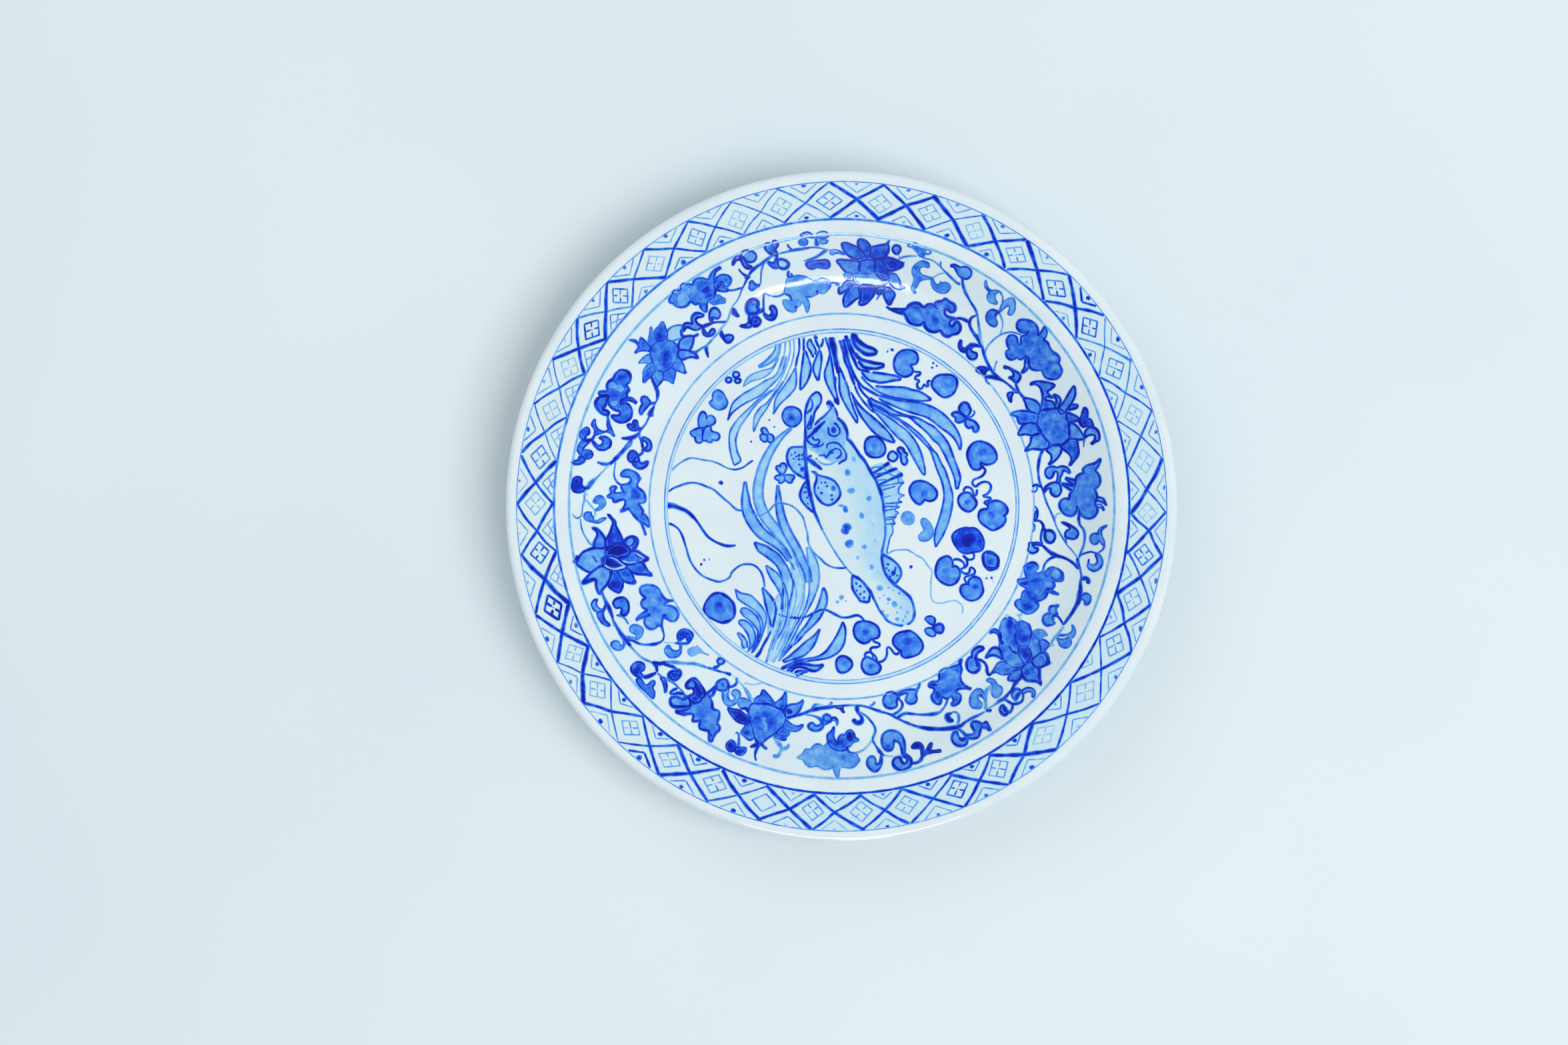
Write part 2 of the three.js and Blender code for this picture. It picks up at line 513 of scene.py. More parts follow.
def glaze_look():
    """A blue-white glaze with a few pinholes, painted greener and a little lighter on the curved wall: a
    painted tint standing in for the cyan light that falls there.
    """
    look = Look("glaze", Roughness=0.07, IOR=1.5)
    cloud = look.noise(30, 4)
    # Distances from the plate's middle are in metres.
    # thin is the glaze's own white. thick is a painted tint for the curved wall: the same white made
    # greener and a little lighter, standing in for the cyan light on the wall.
    thin = look.ramp(cloud, [(0.3, linear(217, 229, 235)), (0.7, linear(226, 236, 239))])
    thick = look.ramp(cloud, [(0.3, linear(218, 234, 240)), (0.7, linear(227, 241, 244))])
    from_middle = look.node("ShaderNodeVectorMath", {0: look.place}, operation="LENGTH")
    painted_tint_on_wall = look.ramp(
        from_middle.outputs["Value"],
        [(0.09, BLACK), (0.107, WHITE), (0.122, WHITE), (0.129, BLACK)],
    )
    # The painted wall tint is mixed in over the curved wall only.
    tint = look.mix("MIX", thin, thick, painted_tint_on_wall)
    pits = look.ramp(look.noise(0.9, 2), [(0.22, linear(196, 205, 210)), (0.3, WHITE)])
    look.to("Base Color", look.mix("MULTIPLY", tint, pits, 1.0))
    look.to("Roughness", look.between(look.noise(6, 3), 0.3, 0.7, 0.05, 0.11))
    look.to("Normal", glaze_ripple(look))
    return look.material


# The fired colour of cobalt by its tone, from bare glaze to the deepest pool.
COBALT_TONES = [
    (0.0, (214, 229, 233)),
    (0.14, (186, 219, 236)),
    (0.3, (144, 198, 237)),
    (0.45, (100, 166, 235)),
    (0.6, (62, 130, 231)),
    (0.73, (34, 98, 225)),
    (0.81, (17, 69, 213)),
    (0.88, (5, 45, 196)),
    (0.95, (2, 30, 176)),
    (1.0, (2, 19, 140)),
]


def cobalt_look():
    """Brushed cobalt, whose colour follows its tone and pools unevenly, less so where it is thick."""
    look = Look("cobalt", IOR=1.5, Specular_IOR_Level=0.26)
    tone = look.node("ShaderNodeAttribute", attribute_name="tone").outputs["Fac"]
    pooled = look.between(look.noise(3.4, 4), 0.3, 0.7, -0.25, 0.25)
    grain = look.between(look.noise(0.7, 3), 0.3, 0.7, -0.06, 0.06)
    calm = look.between(tone, 0.65, 0.95, 1.0, 0.4)
    swing = look.math("MULTIPLY", look.math("ADD", pooled, grain), calm)
    uneven = look.math("MULTIPLY", tone, look.math("ADD", swing, 1.0))
    stops = [(at, linear(*colour)) for at, colour in COBALT_TONES]
    look.to("Base Color", look.ramp(uneven, stops))
    dense = look.between(uneven, 0.75, 1.0, 0.0, 1.0)
    look.to("Roughness", look.between(dense, 0.0, 1.0, 0.08, 0.24))
    rough = look.math("MULTIPLY", look.noise(0.35, 3), dense)
    look.to("Normal", look.bump(rough, 0.05, glaze_ripple(look)))
    return look.material


def biscuit_look():
    look = Look("bare_biscuit", IOR=1.45)
    stain = look.ramp(
        look.noise(9, 5),
        [(0.25, linear(232, 218, 196)), (0.55, linear(224, 203, 172)), (0.8, linear(196, 158, 118))],
    )
    look.to("Base Color", stain)
    look.to("Roughness", look.between(look.noise(1.5, 3), 0.3, 0.7, 0.7, 0.92))
    look.to("Normal", look.bump(look.noise(0.6, 4), 0.05, look.bump(look.noise(5, 2), 0.12)))
    return look.material


def clay_look():
    look = Look("fired_clay", IOR=1.5)
    tint = look.ramp(look.noise(12, 4), [(0.3, linear(228, 226, 220)), (0.7, linear(238, 237, 233))])
    look.to("Base Color", tint)
    look.to("Roughness", look.between(look.noise(2, 3), 0.3, 0.7, 0.55, 0.75))
    look.to("Normal", look.bump(look.noise(0.8, 3), 0.02))
    return look.material


def floor_look():
    look = Look("floor", Specular_IOR_Level=0.3)
    tint = look.ramp(look.noise(300, 2), [(0.3, linear(219, 229, 234)), (0.7, linear(225, 234, 237))])
    look.to("Base Color", tint)
    look.to("Roughness", look.between(look.noise(40, 2), 0.3, 0.7, 0.55, 0.7))
    return look.material


GLAZE = glaze_look()
COBALT = cobalt_look()
BISCUIT = biscuit_look()
CLAY = clay_look()


# ---------------------------------------------------------------- the turned pieces

def lip_arc(start, end):
    """The rounded lip between two angles, with 0 outwards and 90 straight up."""
    return arc((plate_radius - lip_radius, lip_height), lip_radius, start, end, LIP_STEPS)


def glazed_face():
    """Well, cavetto, rim and the upper half of the rounded lip."""
    least_step = 0.2  # from the rim's last point to the lip's first
    face = np.column_stack([FACE_RADII, FACE_HEIGHTS])[::2]
    face = face[face[:, 0] < lip_start - least_step]
    outer = np.concatenate([face, lip_arc(90 + math.degrees(rim_slope), 0)])
    inner = inset(outer[::-1], GLAZE_SHELL)
    inner[-1] = (0, inner[-2][1])
    piece = turned("glazed_face", np.concatenate([outer, inner]), GLAZE)
    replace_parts(piece, "face_glaze")


def glazed_back():
    """The lower half of the lip and the underside, as far as the foot ring."""
    foot_gap = 0.25  # from the foot ring to the glaze's inner edge
    lip = lip_arc(0, math.degrees(rim_slope) - 90)
    foot_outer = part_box("foot_ring")[1].x / MM
    radii = np.arange(foot_outer + foot_gap, lip[-1][0], SECTION_STEP)
    heights = softened(cast_heights("back_glaze", radii, False))
    under = np.column_stack([radii, heights])[::-2]
    outer = np.concatenate([lip, under])
    inner = inset(outer[::-1], GLAZE_SHELL)
    piece = turned("glazed_back", np.concatenate([outer, inner]), GLAZE)
    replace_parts(piece, "back_glaze")


def glazed_base():
    """The glazed recess inside the foot ring, with glaze that gathers in its corner."""
    corner = 1.5
    rings = 12
    low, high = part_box("base_glaze")
    edge = high.x / MM
    z = low.z / MM
    top = high.z / MM
    fillet = arc((edge - corner, z - corner), corner, 90, 0, 6)
    under = np.concatenate([[(0, z)], [(edge * s / rings, z) for s in range(1, rings)], fillet])
    section = np.concatenate([under, [(edge, top), (0, top)]])
    piece = turned("glazed_base", section[::-1], GLAZE)
    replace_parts(piece, "base_glaze")


def foot_ring():
    """The bare ring that the plate stands on, with wiped, rounded edges."""
    level = 0.01  # vertices this close in height are on one face
    edge = 0.8
    flare = 0.6  # how far the rounded edges reach past the CAD ring's resting face
    waist = 0.5  # how far the sides are drawn in below the top
    points = radii_of("foot_ring")
    top = points[:, 1].max()
    resting = points[points[:, 1] < level]
    high = points[points[:, 1] > top - level]
    inner_low = resting[:, 0].min() - flare
    outer_low = resting[:, 0].max() + flare
    inner_high = high[:, 0].min()
    outer_high = high[:, 0].max()
    waist_height = top * 0.6
    section = np.concatenate([
        arc((inner_low + edge, edge), edge, 180, 270, 6),
        arc((outer_low - edge, edge), edge, 270, 360, 6),
        [(outer_high - waist, waist_height), (outer_high, top), (inner_high, top)],
        [(inner_high + waist, waist_height)],
    ])
    piece = turned("wiped_foot_ring", section, BISCUIT)
    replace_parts(piece, "foot_ring")


# ---------------------------------------------------------------- rings drawn on the wheel

# Lines drawn on the wheel: radius, width, and tones spread evenly from +X anticlockwise.
WHEEL_LINES = [
    (144.8, 0.26, (0.7, 0.6, 0.68, 0.66, 0.58, 0.55, 0.6, 0.7, 0.55, 0.5)),
    (128.1, 0.64, (0.88, 0.82, 0.7, 0.66, 0.66, 0.64, 0.62, 0.85, 0.93, 0.93, 0.92, 0.92)),
    (121.4, 0.66, (0.4,)),
    (85.8, 0.5, (0.42,)),
    (78.95, 0.33, (0.58,)),
    (77.6, 0.29, (0.55, 0.6, 0.45, 0.35, 0.3, 0.35, 0.45, 0.55)),
]
# Bands that the wheel left faintly blue, from one radius to another.
RIM_HAZE = (128.5, 144.7)
RIM_HAZE_TONES = (0.055, 0.045, 0.02, 0.0, 0.0, 0.015, 0.075, 0.075)
DOUBLE_RING_HAZE = (77.7, 78.9)


def ring(painting, radius, width, tones):
    """A line drawn on the wheel, not quite round."""
    steps = 48
    slow_wobble = 0.12
    quick_wobble = 0.06
    points = []
    for k in range(steps):
        a = k / steps * TURN
        swing = slow_wobble * math.sin(2 * a + radius) + quick_wobble * math.sin(5 * a)
        points.append(polar(math.degrees(a), radius + swing))
    painting.line(points, width, tones + tones[:1], closed=True)


def wheel_fill(painting, inner, outer, tones):
    """A pale band laid on the wheel between two radii, with tones spread as a line's are."""
    rows, columns = 240, 5
    angles = np.arange(rows) / rows * TURN
    radii = np.linspace(inner, outer, columns)
    points = [[(r * math.cos(a), r * math.sin(a)) for r in radii] for a in angles]
    around = along_mark(tones + tones[:1], rows + 1)[:-1]
    lifts = np.full((rows, columns), WASH_LIFT / 2)
    faces = grid_faces(rows, columns, painting.count, closed=True)
    painting.add(np.reshape(points, (-1, 2)), lifts.ravel(), np.repeat(around, columns), faces)


def wheel_rings():
    lines = Painting("wheel_ring_lines")
    wheel_fill(lines, *RIM_HAZE, RIM_HAZE_TONES)
    for radius, width, tones in WHEEL_LINES:
        ring(lines, radius, width, tones)
    lines.piece()


# ---------------------------------------------------------------- the rim's trellis

# The diamonds anticlockwise from +X: where each stands in degrees, and its small square's tone. A
# freehand painter keeps them only roughly even, and the last is followed by the first again.
DIAMONDS = [
    (8.5, 0.34), (17.4, 0.4), (26.8, 0.62), (35.9, 0.76), (45.5, 0.76), (55.3, 0.54), (64.2, 0.38),
    (73.3, 0.48), (82.7, 0.42), (92.3, 0.6), (101.4, 0.42), (109.9, 0.38), (118.3, 0.56),
    (127.5, 0.4), (136.4, 0.64), (144.7, 0.82), (152.9, 0.38), (161.7, 0.42), (170.7, 0.64),
    (179.4, 0.44), (188.7, 0.76), (199.3, 0.98), (208.8, 0.42), (216.9, 0.44), (226.4, 0.52),
    (235.8, 0.5), (245.4, 0.56), (255.3, 0.62), (264.6, 0.56), (273.7, 0.52), (282.3, 0.48),
    (292.3, 0.78), (300.9, 0.6), (311.5, 0.36), (322.7, 0.4), (333.1, 0.58), (342.3, 0.5),
    (350.9, 0.72), (358.8, 0.34),
]
# The crossings after each diamond: where each stands, the tones of the two lines that cross
# there, first the one that runs outwards anticlockwise, and of the dabs outside and inside it.
CROSSINGS = [
    (13.2, 0.85, 0.75, 0.85, 0.5), (21.8, 0.7, 0.82, 0.95, 0.6), (31.3, 0.65, 0.58, 0.93, 0.85),
    (40.4, 0.96, 0.9, 0.98, 0.6), (50.4, 0.95, 0.88, 0.5, 0.5), (59.9, 0.92, 0.86, 0.8, 0.9),
    (68.8, 0.92, 0.7, 0.65, 0.85), (77.9, 0.93, 0.94, 0.75, 0.5), (87.2, 0.9, 0.91, 0.6, 0.85),
    (96.8, 0.6, 0.85, 0.85, 0.97), (105.4, 0.72, 0.68, 0.75, 0.4), (114.3, 0.82, 0.78, 0.45, 0.8),
    (123, 0.85, 0.85, 0.75, 0.93), (132.4, 0.88, 0.8, 0.7, 0.6), (140.4, 0.6, 0.93, 0.65, 0),
    (149, 0.92, 0.9, 0.35, 0), (157.2, 0.85, 0.75, 0.5, 0), (166, 0.88, 0.68, 0.8, 0),
    (175.5, 0.93, 0.86, 0.6, 0), (184.6, 0.9, 0.85, 0.35, 0), (193.8, 0.93, 0.95, 0.5, 0),
    (204.3, 0.93, 0.93, 0.85, 0.8), (212.8, 0.96, 0.8, 0.75, 0.85), (221.7, 0.78, 0.88, 0.93, 0.93),
    (231.3, 0.9, 0.85, 0.98, 0.97), (240.4, 0.9, 0.93, 0.85, 0.8), (250.3, 0.93, 0.8, 0.93, 0.95),
    (260.2, 0.92, 0.9, 0.4, 0.5), (268.7, 0.88, 0.85, 0.5, 0.45), (278.1, 0.88, 0.88, 0.85, 0.6),
    (287.4, 0.88, 0.82, 0.75, 0.85), (296.7, 0.9, 0.91, 0.8, 0.85), (306.3, 0.94, 0.9, 0.88, 0.93),
    (317.3, 0.85, 0.85, 0.4, 0.45), (327.9, 0.9, 0.82, 0.75, 0.4), (337.6, 0.88, 0.9, 0.9, 0.5),
    (346.7, 0.9, 0.8, 0.9, 0.3), (355.5, 0.9, 0.85, 0.3, 0.3), (363.2, 0.93, 0.78, 0.75, 0.5),
]
TRELLIS_OUTER = 144.6
TRELLIS_MIDDLE = 136.7
TRELLIS_INNER = 128.7
HEAVY_CHEVRONS = (40.4, 231.3)  # the crossings with a thick chevron outside them
EMPTY_SQUARE = 255.3  # the diamond whose square was left without its cross
THICK_SQUARE_TONE = 0.9  # above it a square is drawn with a full brush
# The radii at which the squares and the parts of the chevrons stand.
SQUARE_MIDDLE = 136.2
OUTER_CHEVRON = {"vertex": 140.2, "foot": 144.4, "dab": 143.9}
INNER_CHEVRON = {"vertex": 132.4, "foot": 129, "dab": 129.6}
BARE_CHEVRON = {"vertex": 133.8, "stroke": (131.3, 128.9)}


def trellis_width(tone):
    """A full brush draws dark and wide. A dry one draws pale, and it too spreads a little."""
    return 0.4 + 11 * (tone - 0.7) ** 2 * brush.uniform(0.8, 1.2)


def curved(angles, radii):
    return [polar(a, r) for a, r in zip(angles, radii)]


def trellis():
    """Two zigzags of brush lines, with a darker pool where they cross between the diamonds."""
    lines = Painting("rim_trellis")
    for k, (crossing, rising, falling, _, _) in enumerate(CROSSINGS):
        left = DIAMONDS[k][0]
        right = DIAMONDS[(k + 1) % len(DIAMONDS)][0]
        right += 360 if right < left else 0
        middle = TRELLIS_MIDDLE + brush.uniform(-0.6, 0.6)
        ends = (TRELLIS_INNER, TRELLIS_OUTER)
        for (start, end), tone in ((ends, rising), (ends[::-1], falling)):
            width = trellis_width(tone)
            widths = (width * brush.uniform(0.7, 1.3), width, width * brush.uniform(0.7, 1.3))
            bow = brush.uniform(-0.35, 0.35)
            quarter = [(start * 3 + end) / 4 + bow, middle, (start + end * 3) / 4 + bow]
            first, last = left + brush.uniform(-0.4, 0.3), right + brush.uniform(-0.3, 0.4)
            angles = [first, (first + crossing) / 2, crossing, (crossing + last) / 2, last]
            tones = (tone, tone * brush.uniform(0.92, 1.03), tone * brush.uniform(0.92, 1.03))
            lines.line(curved(angles, [start, *quarter, end]), widths, tones)
        x, y = polar(crossing, middle)
        pool = width * 0.6
        lines.dab(x, y, pool, pool, 0.98, 0.85, lift=POOL_LIFT)
    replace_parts(lines.piece(), "cobalt_rim_band")


def diamond_squares():
    """A small tilted square with four ticks and a dot inside each diamond."""
    lines = Painting("rim_diamond_squares")
    for k, (angle, tone) in enumerate(DIAMONDS):
        width = 0.7 if tone > THICK_SQUARE_TONE else 0.2 + tone * 0.32
        before = CROSSINGS[k - 1][0] - (360 if k == 0 else 0)
        reach = (CROSSINGS[k][0] - before) * brush.uniform(0.22, 0.255)
        middle = SQUARE_MIDDLE + brush.uniform(-0.3, 0.3)
        half = brush.uniform(4, 4.6)
        tilt = brush.uniform(-0.5, 0.5)
        corners = [
            (angle + reach, middle + tilt), (angle, middle + half),
            (angle - reach, middle - tilt), (angle, middle - half),
        ]
        places = [np.array(polar(*corner)) for corner in corners]
        heart = sum(places) / 4
        for i, here in enumerate(places):
            after = places[(i + 1) % 4]
            over = (after - here) * brush.uniform(0.0, 0.06)
            shade = tone * brush.uniform(0.85, 1.1)
            lines.line([here - over, (here + after) / 2, after + over], width, shade)
            side = (here + after) / 2
            if angle != EMPTY_SQUARE:
                tick = side + (heart - side) * brush.uniform(0.62, 0.85)
                lines.line([side, tick], width, tone * brush.uniform(0.9, 1.2))
        if angle != EMPTY_SQUARE:
            dot = brush.uniform(0.3, 0.45)
            lines.spots([(heart[0], heart[1], dot, dot, tone)])
    lines.piece()


def chevron(lines, angle, vertex, arm, ring_radius, width, tone):
    """Two strokes from a ring that meet at a vertex."""
    for side in (-arm, arm):
        lines.line(curved([angle + side, angle], [ring_radius, vertex]), width, tone)


def ring_dab(lines, angle, radius, tone):
    """A dab that lies along a ring, bigger where the brush was fuller."""
    x, y = polar(angle + brush.uniform(-0.2, 0.2), radius)
    size = 0.35 + tone * brush.uniform(0.7, 1.0)
    turn = math.radians(angle)
    across = size * abs(math.sin(turn)) + size * 0.5 * abs(math.cos(turn))
    up = size * abs(math.cos(turn)) + size * 0.5 * abs(math.sin(turn))
    lines.spots([(x, y, across, up, tone)])


def edge_triangles():
    """Chevrons with a dab behind them, where the trellis leaves a triangle by each ring."""
    lines = Painting("rim_triangle_marks")
    for angle, _, _, outer, inner in CROSSINGS:
        heavy = angle in HEAVY_CHEVRONS
        tone = 0.92 if heavy else brush.uniform(0.42, 0.62)
        width = 0.62 if heavy else brush.uniform(0.26, 0.4)
        arm = brush.uniform(2.2, 2.6)
        vertex = OUTER_CHEVRON["vertex"] + brush.uniform(-0.5, 0.5)
        chevron(lines, angle, vertex, arm, OUTER_CHEVRON["foot"], width, tone)
        ring_dab(lines, angle, OUTER_CHEVRON["dab"], outer)
        tone = brush.uniform(0.45, 0.68)
        width = brush.uniform(0.26, 0.4)
        if inner:
            arm = brush.uniform(1.8, 2.3)
            vertex = INNER_CHEVRON["vertex"] + brush.uniform(-0.7, 0.7)
            chevron(lines, angle, vertex, arm, INNER_CHEVRON["foot"], width, tone)
            ring_dab(lines, angle, INNER_CHEVRON["dab"], inner)
            continue
        # Where no dab was put, two short strokes stand in the chevron instead.
        chevron(lines, angle, BARE_CHEVRON["vertex"], 2.3, INNER_CHEVRON["foot"], width, tone)
        for side in (-1, 1):
            ends = [angle + side * 1.2, angle - side * 0.9]
            lines.line(curved(ends, BARE_CHEVRON["stroke"]), width, tone * 0.9)
    lines.piece()


# ---------------------------------------------------------------- the fish

def fish_body(wash, lines):
    """The long body from head to tail, with its belly on the left and its back on the right."""
    belly = [
        (-16, 34), (-16.4, 27), (-16.1, 20), (-15.5, 13), (-14, 5), (-12.3, -2), (-9.5, -8.5),
        (-5, -17), (-1.5, -22.5), (1, -26), (5, -30.7), (9, -33.2), (13.2, -38.5), (15.5, -43.5),
        (18.5, -48.3), (21, -51.2),
    ]
    back = [
        (-0.2, 37.8), (2.5, 32), (5.5, 26.8), (10.4, 20), (14.5, 13), (17.5, 6), (18.9, -3),
        (19.4, -13), (18, -22), (19, -28.5), (23, -34.3), (28, -38.2), (31.8, -43.5),
        (32.2, -49), (29, -52.5), (25.5, -53.2),
    ]
    wash.wash(belly, back, (0.03, 0.03, 0.04, 0.08, 0.15, 0.19, 0.22), columns=13)
    lines.line(
        [
            (-1.9, 39.8), (-1.2, 38.8), (0.3, 37.5), (1.8, 35), (2.5, 32.5), (2.5, 30), (3.5, 29.3),
            (5.5, 26.8), (8, 23), (10.4, 20), (12.5, 16.3), (14.5, 13), (16.2, 9.5), (17.5, 6),
            (18.4, 2), (18.9, -3), (19.4, -8), (19.4, -13), (18.7, -16.5), (18, -20), (18, -24),
            (19, -28.5), (20.5, -31.5), (23, -34.3), (25.5, -36.3), (28, -38.2), (30.3, -40.3),
            (31.8, -43.5), (32.4, -47), (31.9, -50), (30.7, -51.7), (29, -52.5),
        ],
        (1, 0.9, 0.9, 1, 0.7, 0.7, 0.9, 0.8, 0.8), (0.95, 0.9, 0.9, 0.9, 0.62, 0.8, 0.85, 0.8, 0.8),
    )
    lines.line(
        [
            (27.5, -53), (25.5, -53), (23, -52.3), (20.2, -50.7), (18.5, -48.3), (16.7, -46),
            (15.5, -43.5), (14.2, -41), (13.2, -38.5), (11.5, -36), (9, -33.2), (7, -32), (5.6, -31.3),
        ],
        0.7, (0.7, 0.8, 0.85),
    )
    lines.line(
        [
            (-16, 34), (-16.2, 30), (-16.4, 27), (-16.3, 24), (-16.1, 20), (-15.8, 16), (-15.5, 13),
            (-14.8, 9), (-14, 5), (-13, 1), (-12.3, -2), (-11, -5), (-9.5, -8.5), (-8.3, -11),
        ],
        (0.8, 1.1, 1.2, 1.2, 0.9, 0.6), (0.85, 0.95, 0.95, 0.92, 0.9, 0.6),
    )
    lines.line(
        [(-8.3, -11), (-5, -17), (-1.5, -22.5), (1, -26), (3, -28.5), (5, -30.5)], 0.5, (0.5, 0.6)
    )


def fish_head(wash, lines):
    wash.blot(
        [
            (-16, 30), (-15.8, 34.5), (-13.6, 35), (-12.4, 37), (-9.5, 40), (-6, 43), (-3.6, 44),
            (-2, 40), (1.4, 35), (2.6, 31), (2.2, 24), (0.5, 20), (-4, 19), (-10, 22), (-15.6, 26),
        ],
        0.3, 0.4, lift=0.03,
    )
    wash.blot(
        [
            (-16, 30), (-16.2, 34), (-16.3, 41), (-15.8, 44.5), (-14.2, 48.3), (-12.5, 50.2),
            (-10.8, 50.9), (-9.3, 49.3), (-9.2, 46.8), (-10.5, 44.5), (-12, 42), (-12.6, 39),
            (-13.5, 36.5), (-13.8, 35),
        ],
        0.34, 0.28, lift=0.032,
    )
    wash.blot([(-16, 41.3), (-15.5, 44), (-14.1, 47.6), (-13, 46), (-13.5, 43.5)], 0.55)
    wash.blot([(-6.7, 46.7), (-3.4, 44.3), (-2.2, 40.3), (-4.9, 42), (-6.2, 44)], 0.5)
    wash.blot([(-15.7, 30), (-14, 28), (-12, 27.3), (-10.3, 28), (-9.8, 30), (-13, 31.4)], 0.3)
    lines.lines(
        [
            [
                (-16, 30), (-16.2, 34), (-16.3, 41), (-15.8, 44.5), (-14.2, 48.3), (-12.5, 50.2),
                (-10.8, 50.9), (-9.3, 49.3), (-9.2, 46.8), (-10.5, 44.5), (-12, 42), (-12.6, 39),
                (-13.5, 36.5), (-13.8, 35.2), (-15.5, 34.3),
            ],
            ([(-6.7, 46.7), (-5.2, 45.8), (-3.4, 44.3)], (1.3, 1.4, 0.8), 0.95),
            [
                (-4.9, 45.7), (-4.9, 43.5), (-6, 42), (-8, 40), (-10.3, 38.3), (-12, 36.3),
            ],
            ([(-3.4, 44.3), (-2.3, 42), (-1.9, 39.8)], 0.6, 0.85),
            [(-16, 41.3), (-15.7, 44), (-14, 48), (-13, 46), (-13.5, 43.5), (-16, 41.3)],
            [(-12, 41), (-13.3, 38), (-15.8, 35)],
            [(-13.2, 40.8), (-14.5, 37.5), (-16, 35)],
            ([(-15.8, 30.2), (-13.5, 32), (-11.5, 34), (-9, 36.5), (-7.3, 38)], (0.8, 1.2, 0.8), 0.95),
            [(-13, 31.4), (-12.5, 30), (-11.5, 29.7), (-10, 30)],
            [(-15.7, 30), (-14, 28), (-12, 27.3), (-10.3, 28), (-9.8, 30)],
            [(-13.2, 26.5), (-11, 26.6), (-9, 27.2), (-7.9, 28.3)],
            [
                (-6.6, 25.8), (-6.6, 26.8), (-5.8, 28.1), (-3.5, 28.5), (-1.5, 28), (0, 26.5),
                (1.5, 24.5), (2, 22.8), (1.8, 21), (0, 20), (-1.5, 18.8),
            ],
            [
                (-2.5, 21.3), (-0.6, 22.5), (-0.2, 24), (-1, 25.4), (-2.8, 25.7), (-4.2, 25),
                (-5.4, 23.9), (-6, 22.9), (-7, 21.8), (-7.6, 22.8), (-10.3, 22.7),
            ],
            [(-11.6, 21.5), (-11, 21)],
            ([(-11, 21), (-9, 19.2), (-6, 18.7), (-3.5, 19.5), (-2, 21)], 0.5, 0.5),
            ([(-13.2, 22.7), (-15.2, 21.6), (-13, 19.8), (-10.5, 17.8), (-8.7, 16.3)], (0.6, 1.6, 0.6)),
            [(-6, 35.5), (-5.8, 33), (-4.8, 31.7), (-3, 31.4), (-1.2, 32.3), (-0.8, 33.8), (-1.3, 35.5)],
            [(-3.6, 37.1), (-2.2, 36.6), (-1.5, 35.2)],
        ],
        0.65, 0.9,
    )
    lines.spots([(-4.7, 24.2, 1.2, 1, 0.95), (-3.6, 34, 1.5, 1.5, 1)])


def fish_spots(wash):
    wash.spots([
        (5.5, 21, 1.1, 1.4, 0.45), (2.6, 15.1, 1.5, 1.5, 0.6), (7.3, 16.3, 0.6, 0.6, 0.3),
        (4.2, 7, 1.8, 1.5, 0.55), (12.2, 3.6, 1.3, 1.3, 0.55), (8.9, -4.1, 1.2, 1.5, 0.55),
        (14, -8, 0.8, 0.8, 0.35), (2.4, -9, 2.1, 1.8, 0.85), (1.5, -10.8, 1.8, 1.9, 0.85),
        (-0.3, 0.4, 1.3, 0.8, 0.5), (1.7, -1.2, 1.3, 1.6, 0.76), (3.4, -16.6, 1.9, 2.1, 0.74),
        (14.8, -15.2, 0.7, 0.7, 0.38), (10.1, -18, 1.2, 1.2, 0.5), (7.1, -22.8, 0.9, 0.9, 0.45),
        (13.4, -27, 1.2, 1.2, 0.55), (17, -36.3, 1.7, 1.3, 0.55), (20.9, -36.2, 0.6, 0.6, 0.42),
        (23, -37.3, 0.5, 0.5, 0.6), (25.6, -38.6, 0.7, 0.7, 0.65), (27.3, -39.6, 0.5, 0.5, 0.45),
        (18.8, -39.6, 0.5, 0.5, 0.45), (17, -40.9, 0.4, 0.4, 0.5), (21, -41.3, 1, 1, 0.62),
        (20.6, -43.2, 0.6, 0.6, 0.45), (23.6, -43.6, 1.5, 1.5, 0.55), (26.3, -45.1, 0.7, 0.7, 0.48),
        (18.4, -46.6, 0.6, 0.6, 0.6), (24.7, -47.2, 0.6, 0.6, 0.5), (20.4, -48.7, 0.8, 0.8, 0.48),
        (24.7, -50.2, 1, 1, 0.5), (27.3, -50.8, 0.6, 0.6, 0.5), (29.3, -47.2, 0.8, 0.8, 0.5),
        (28.4, -49, 0.6, 0.6, 0.48),
    ])


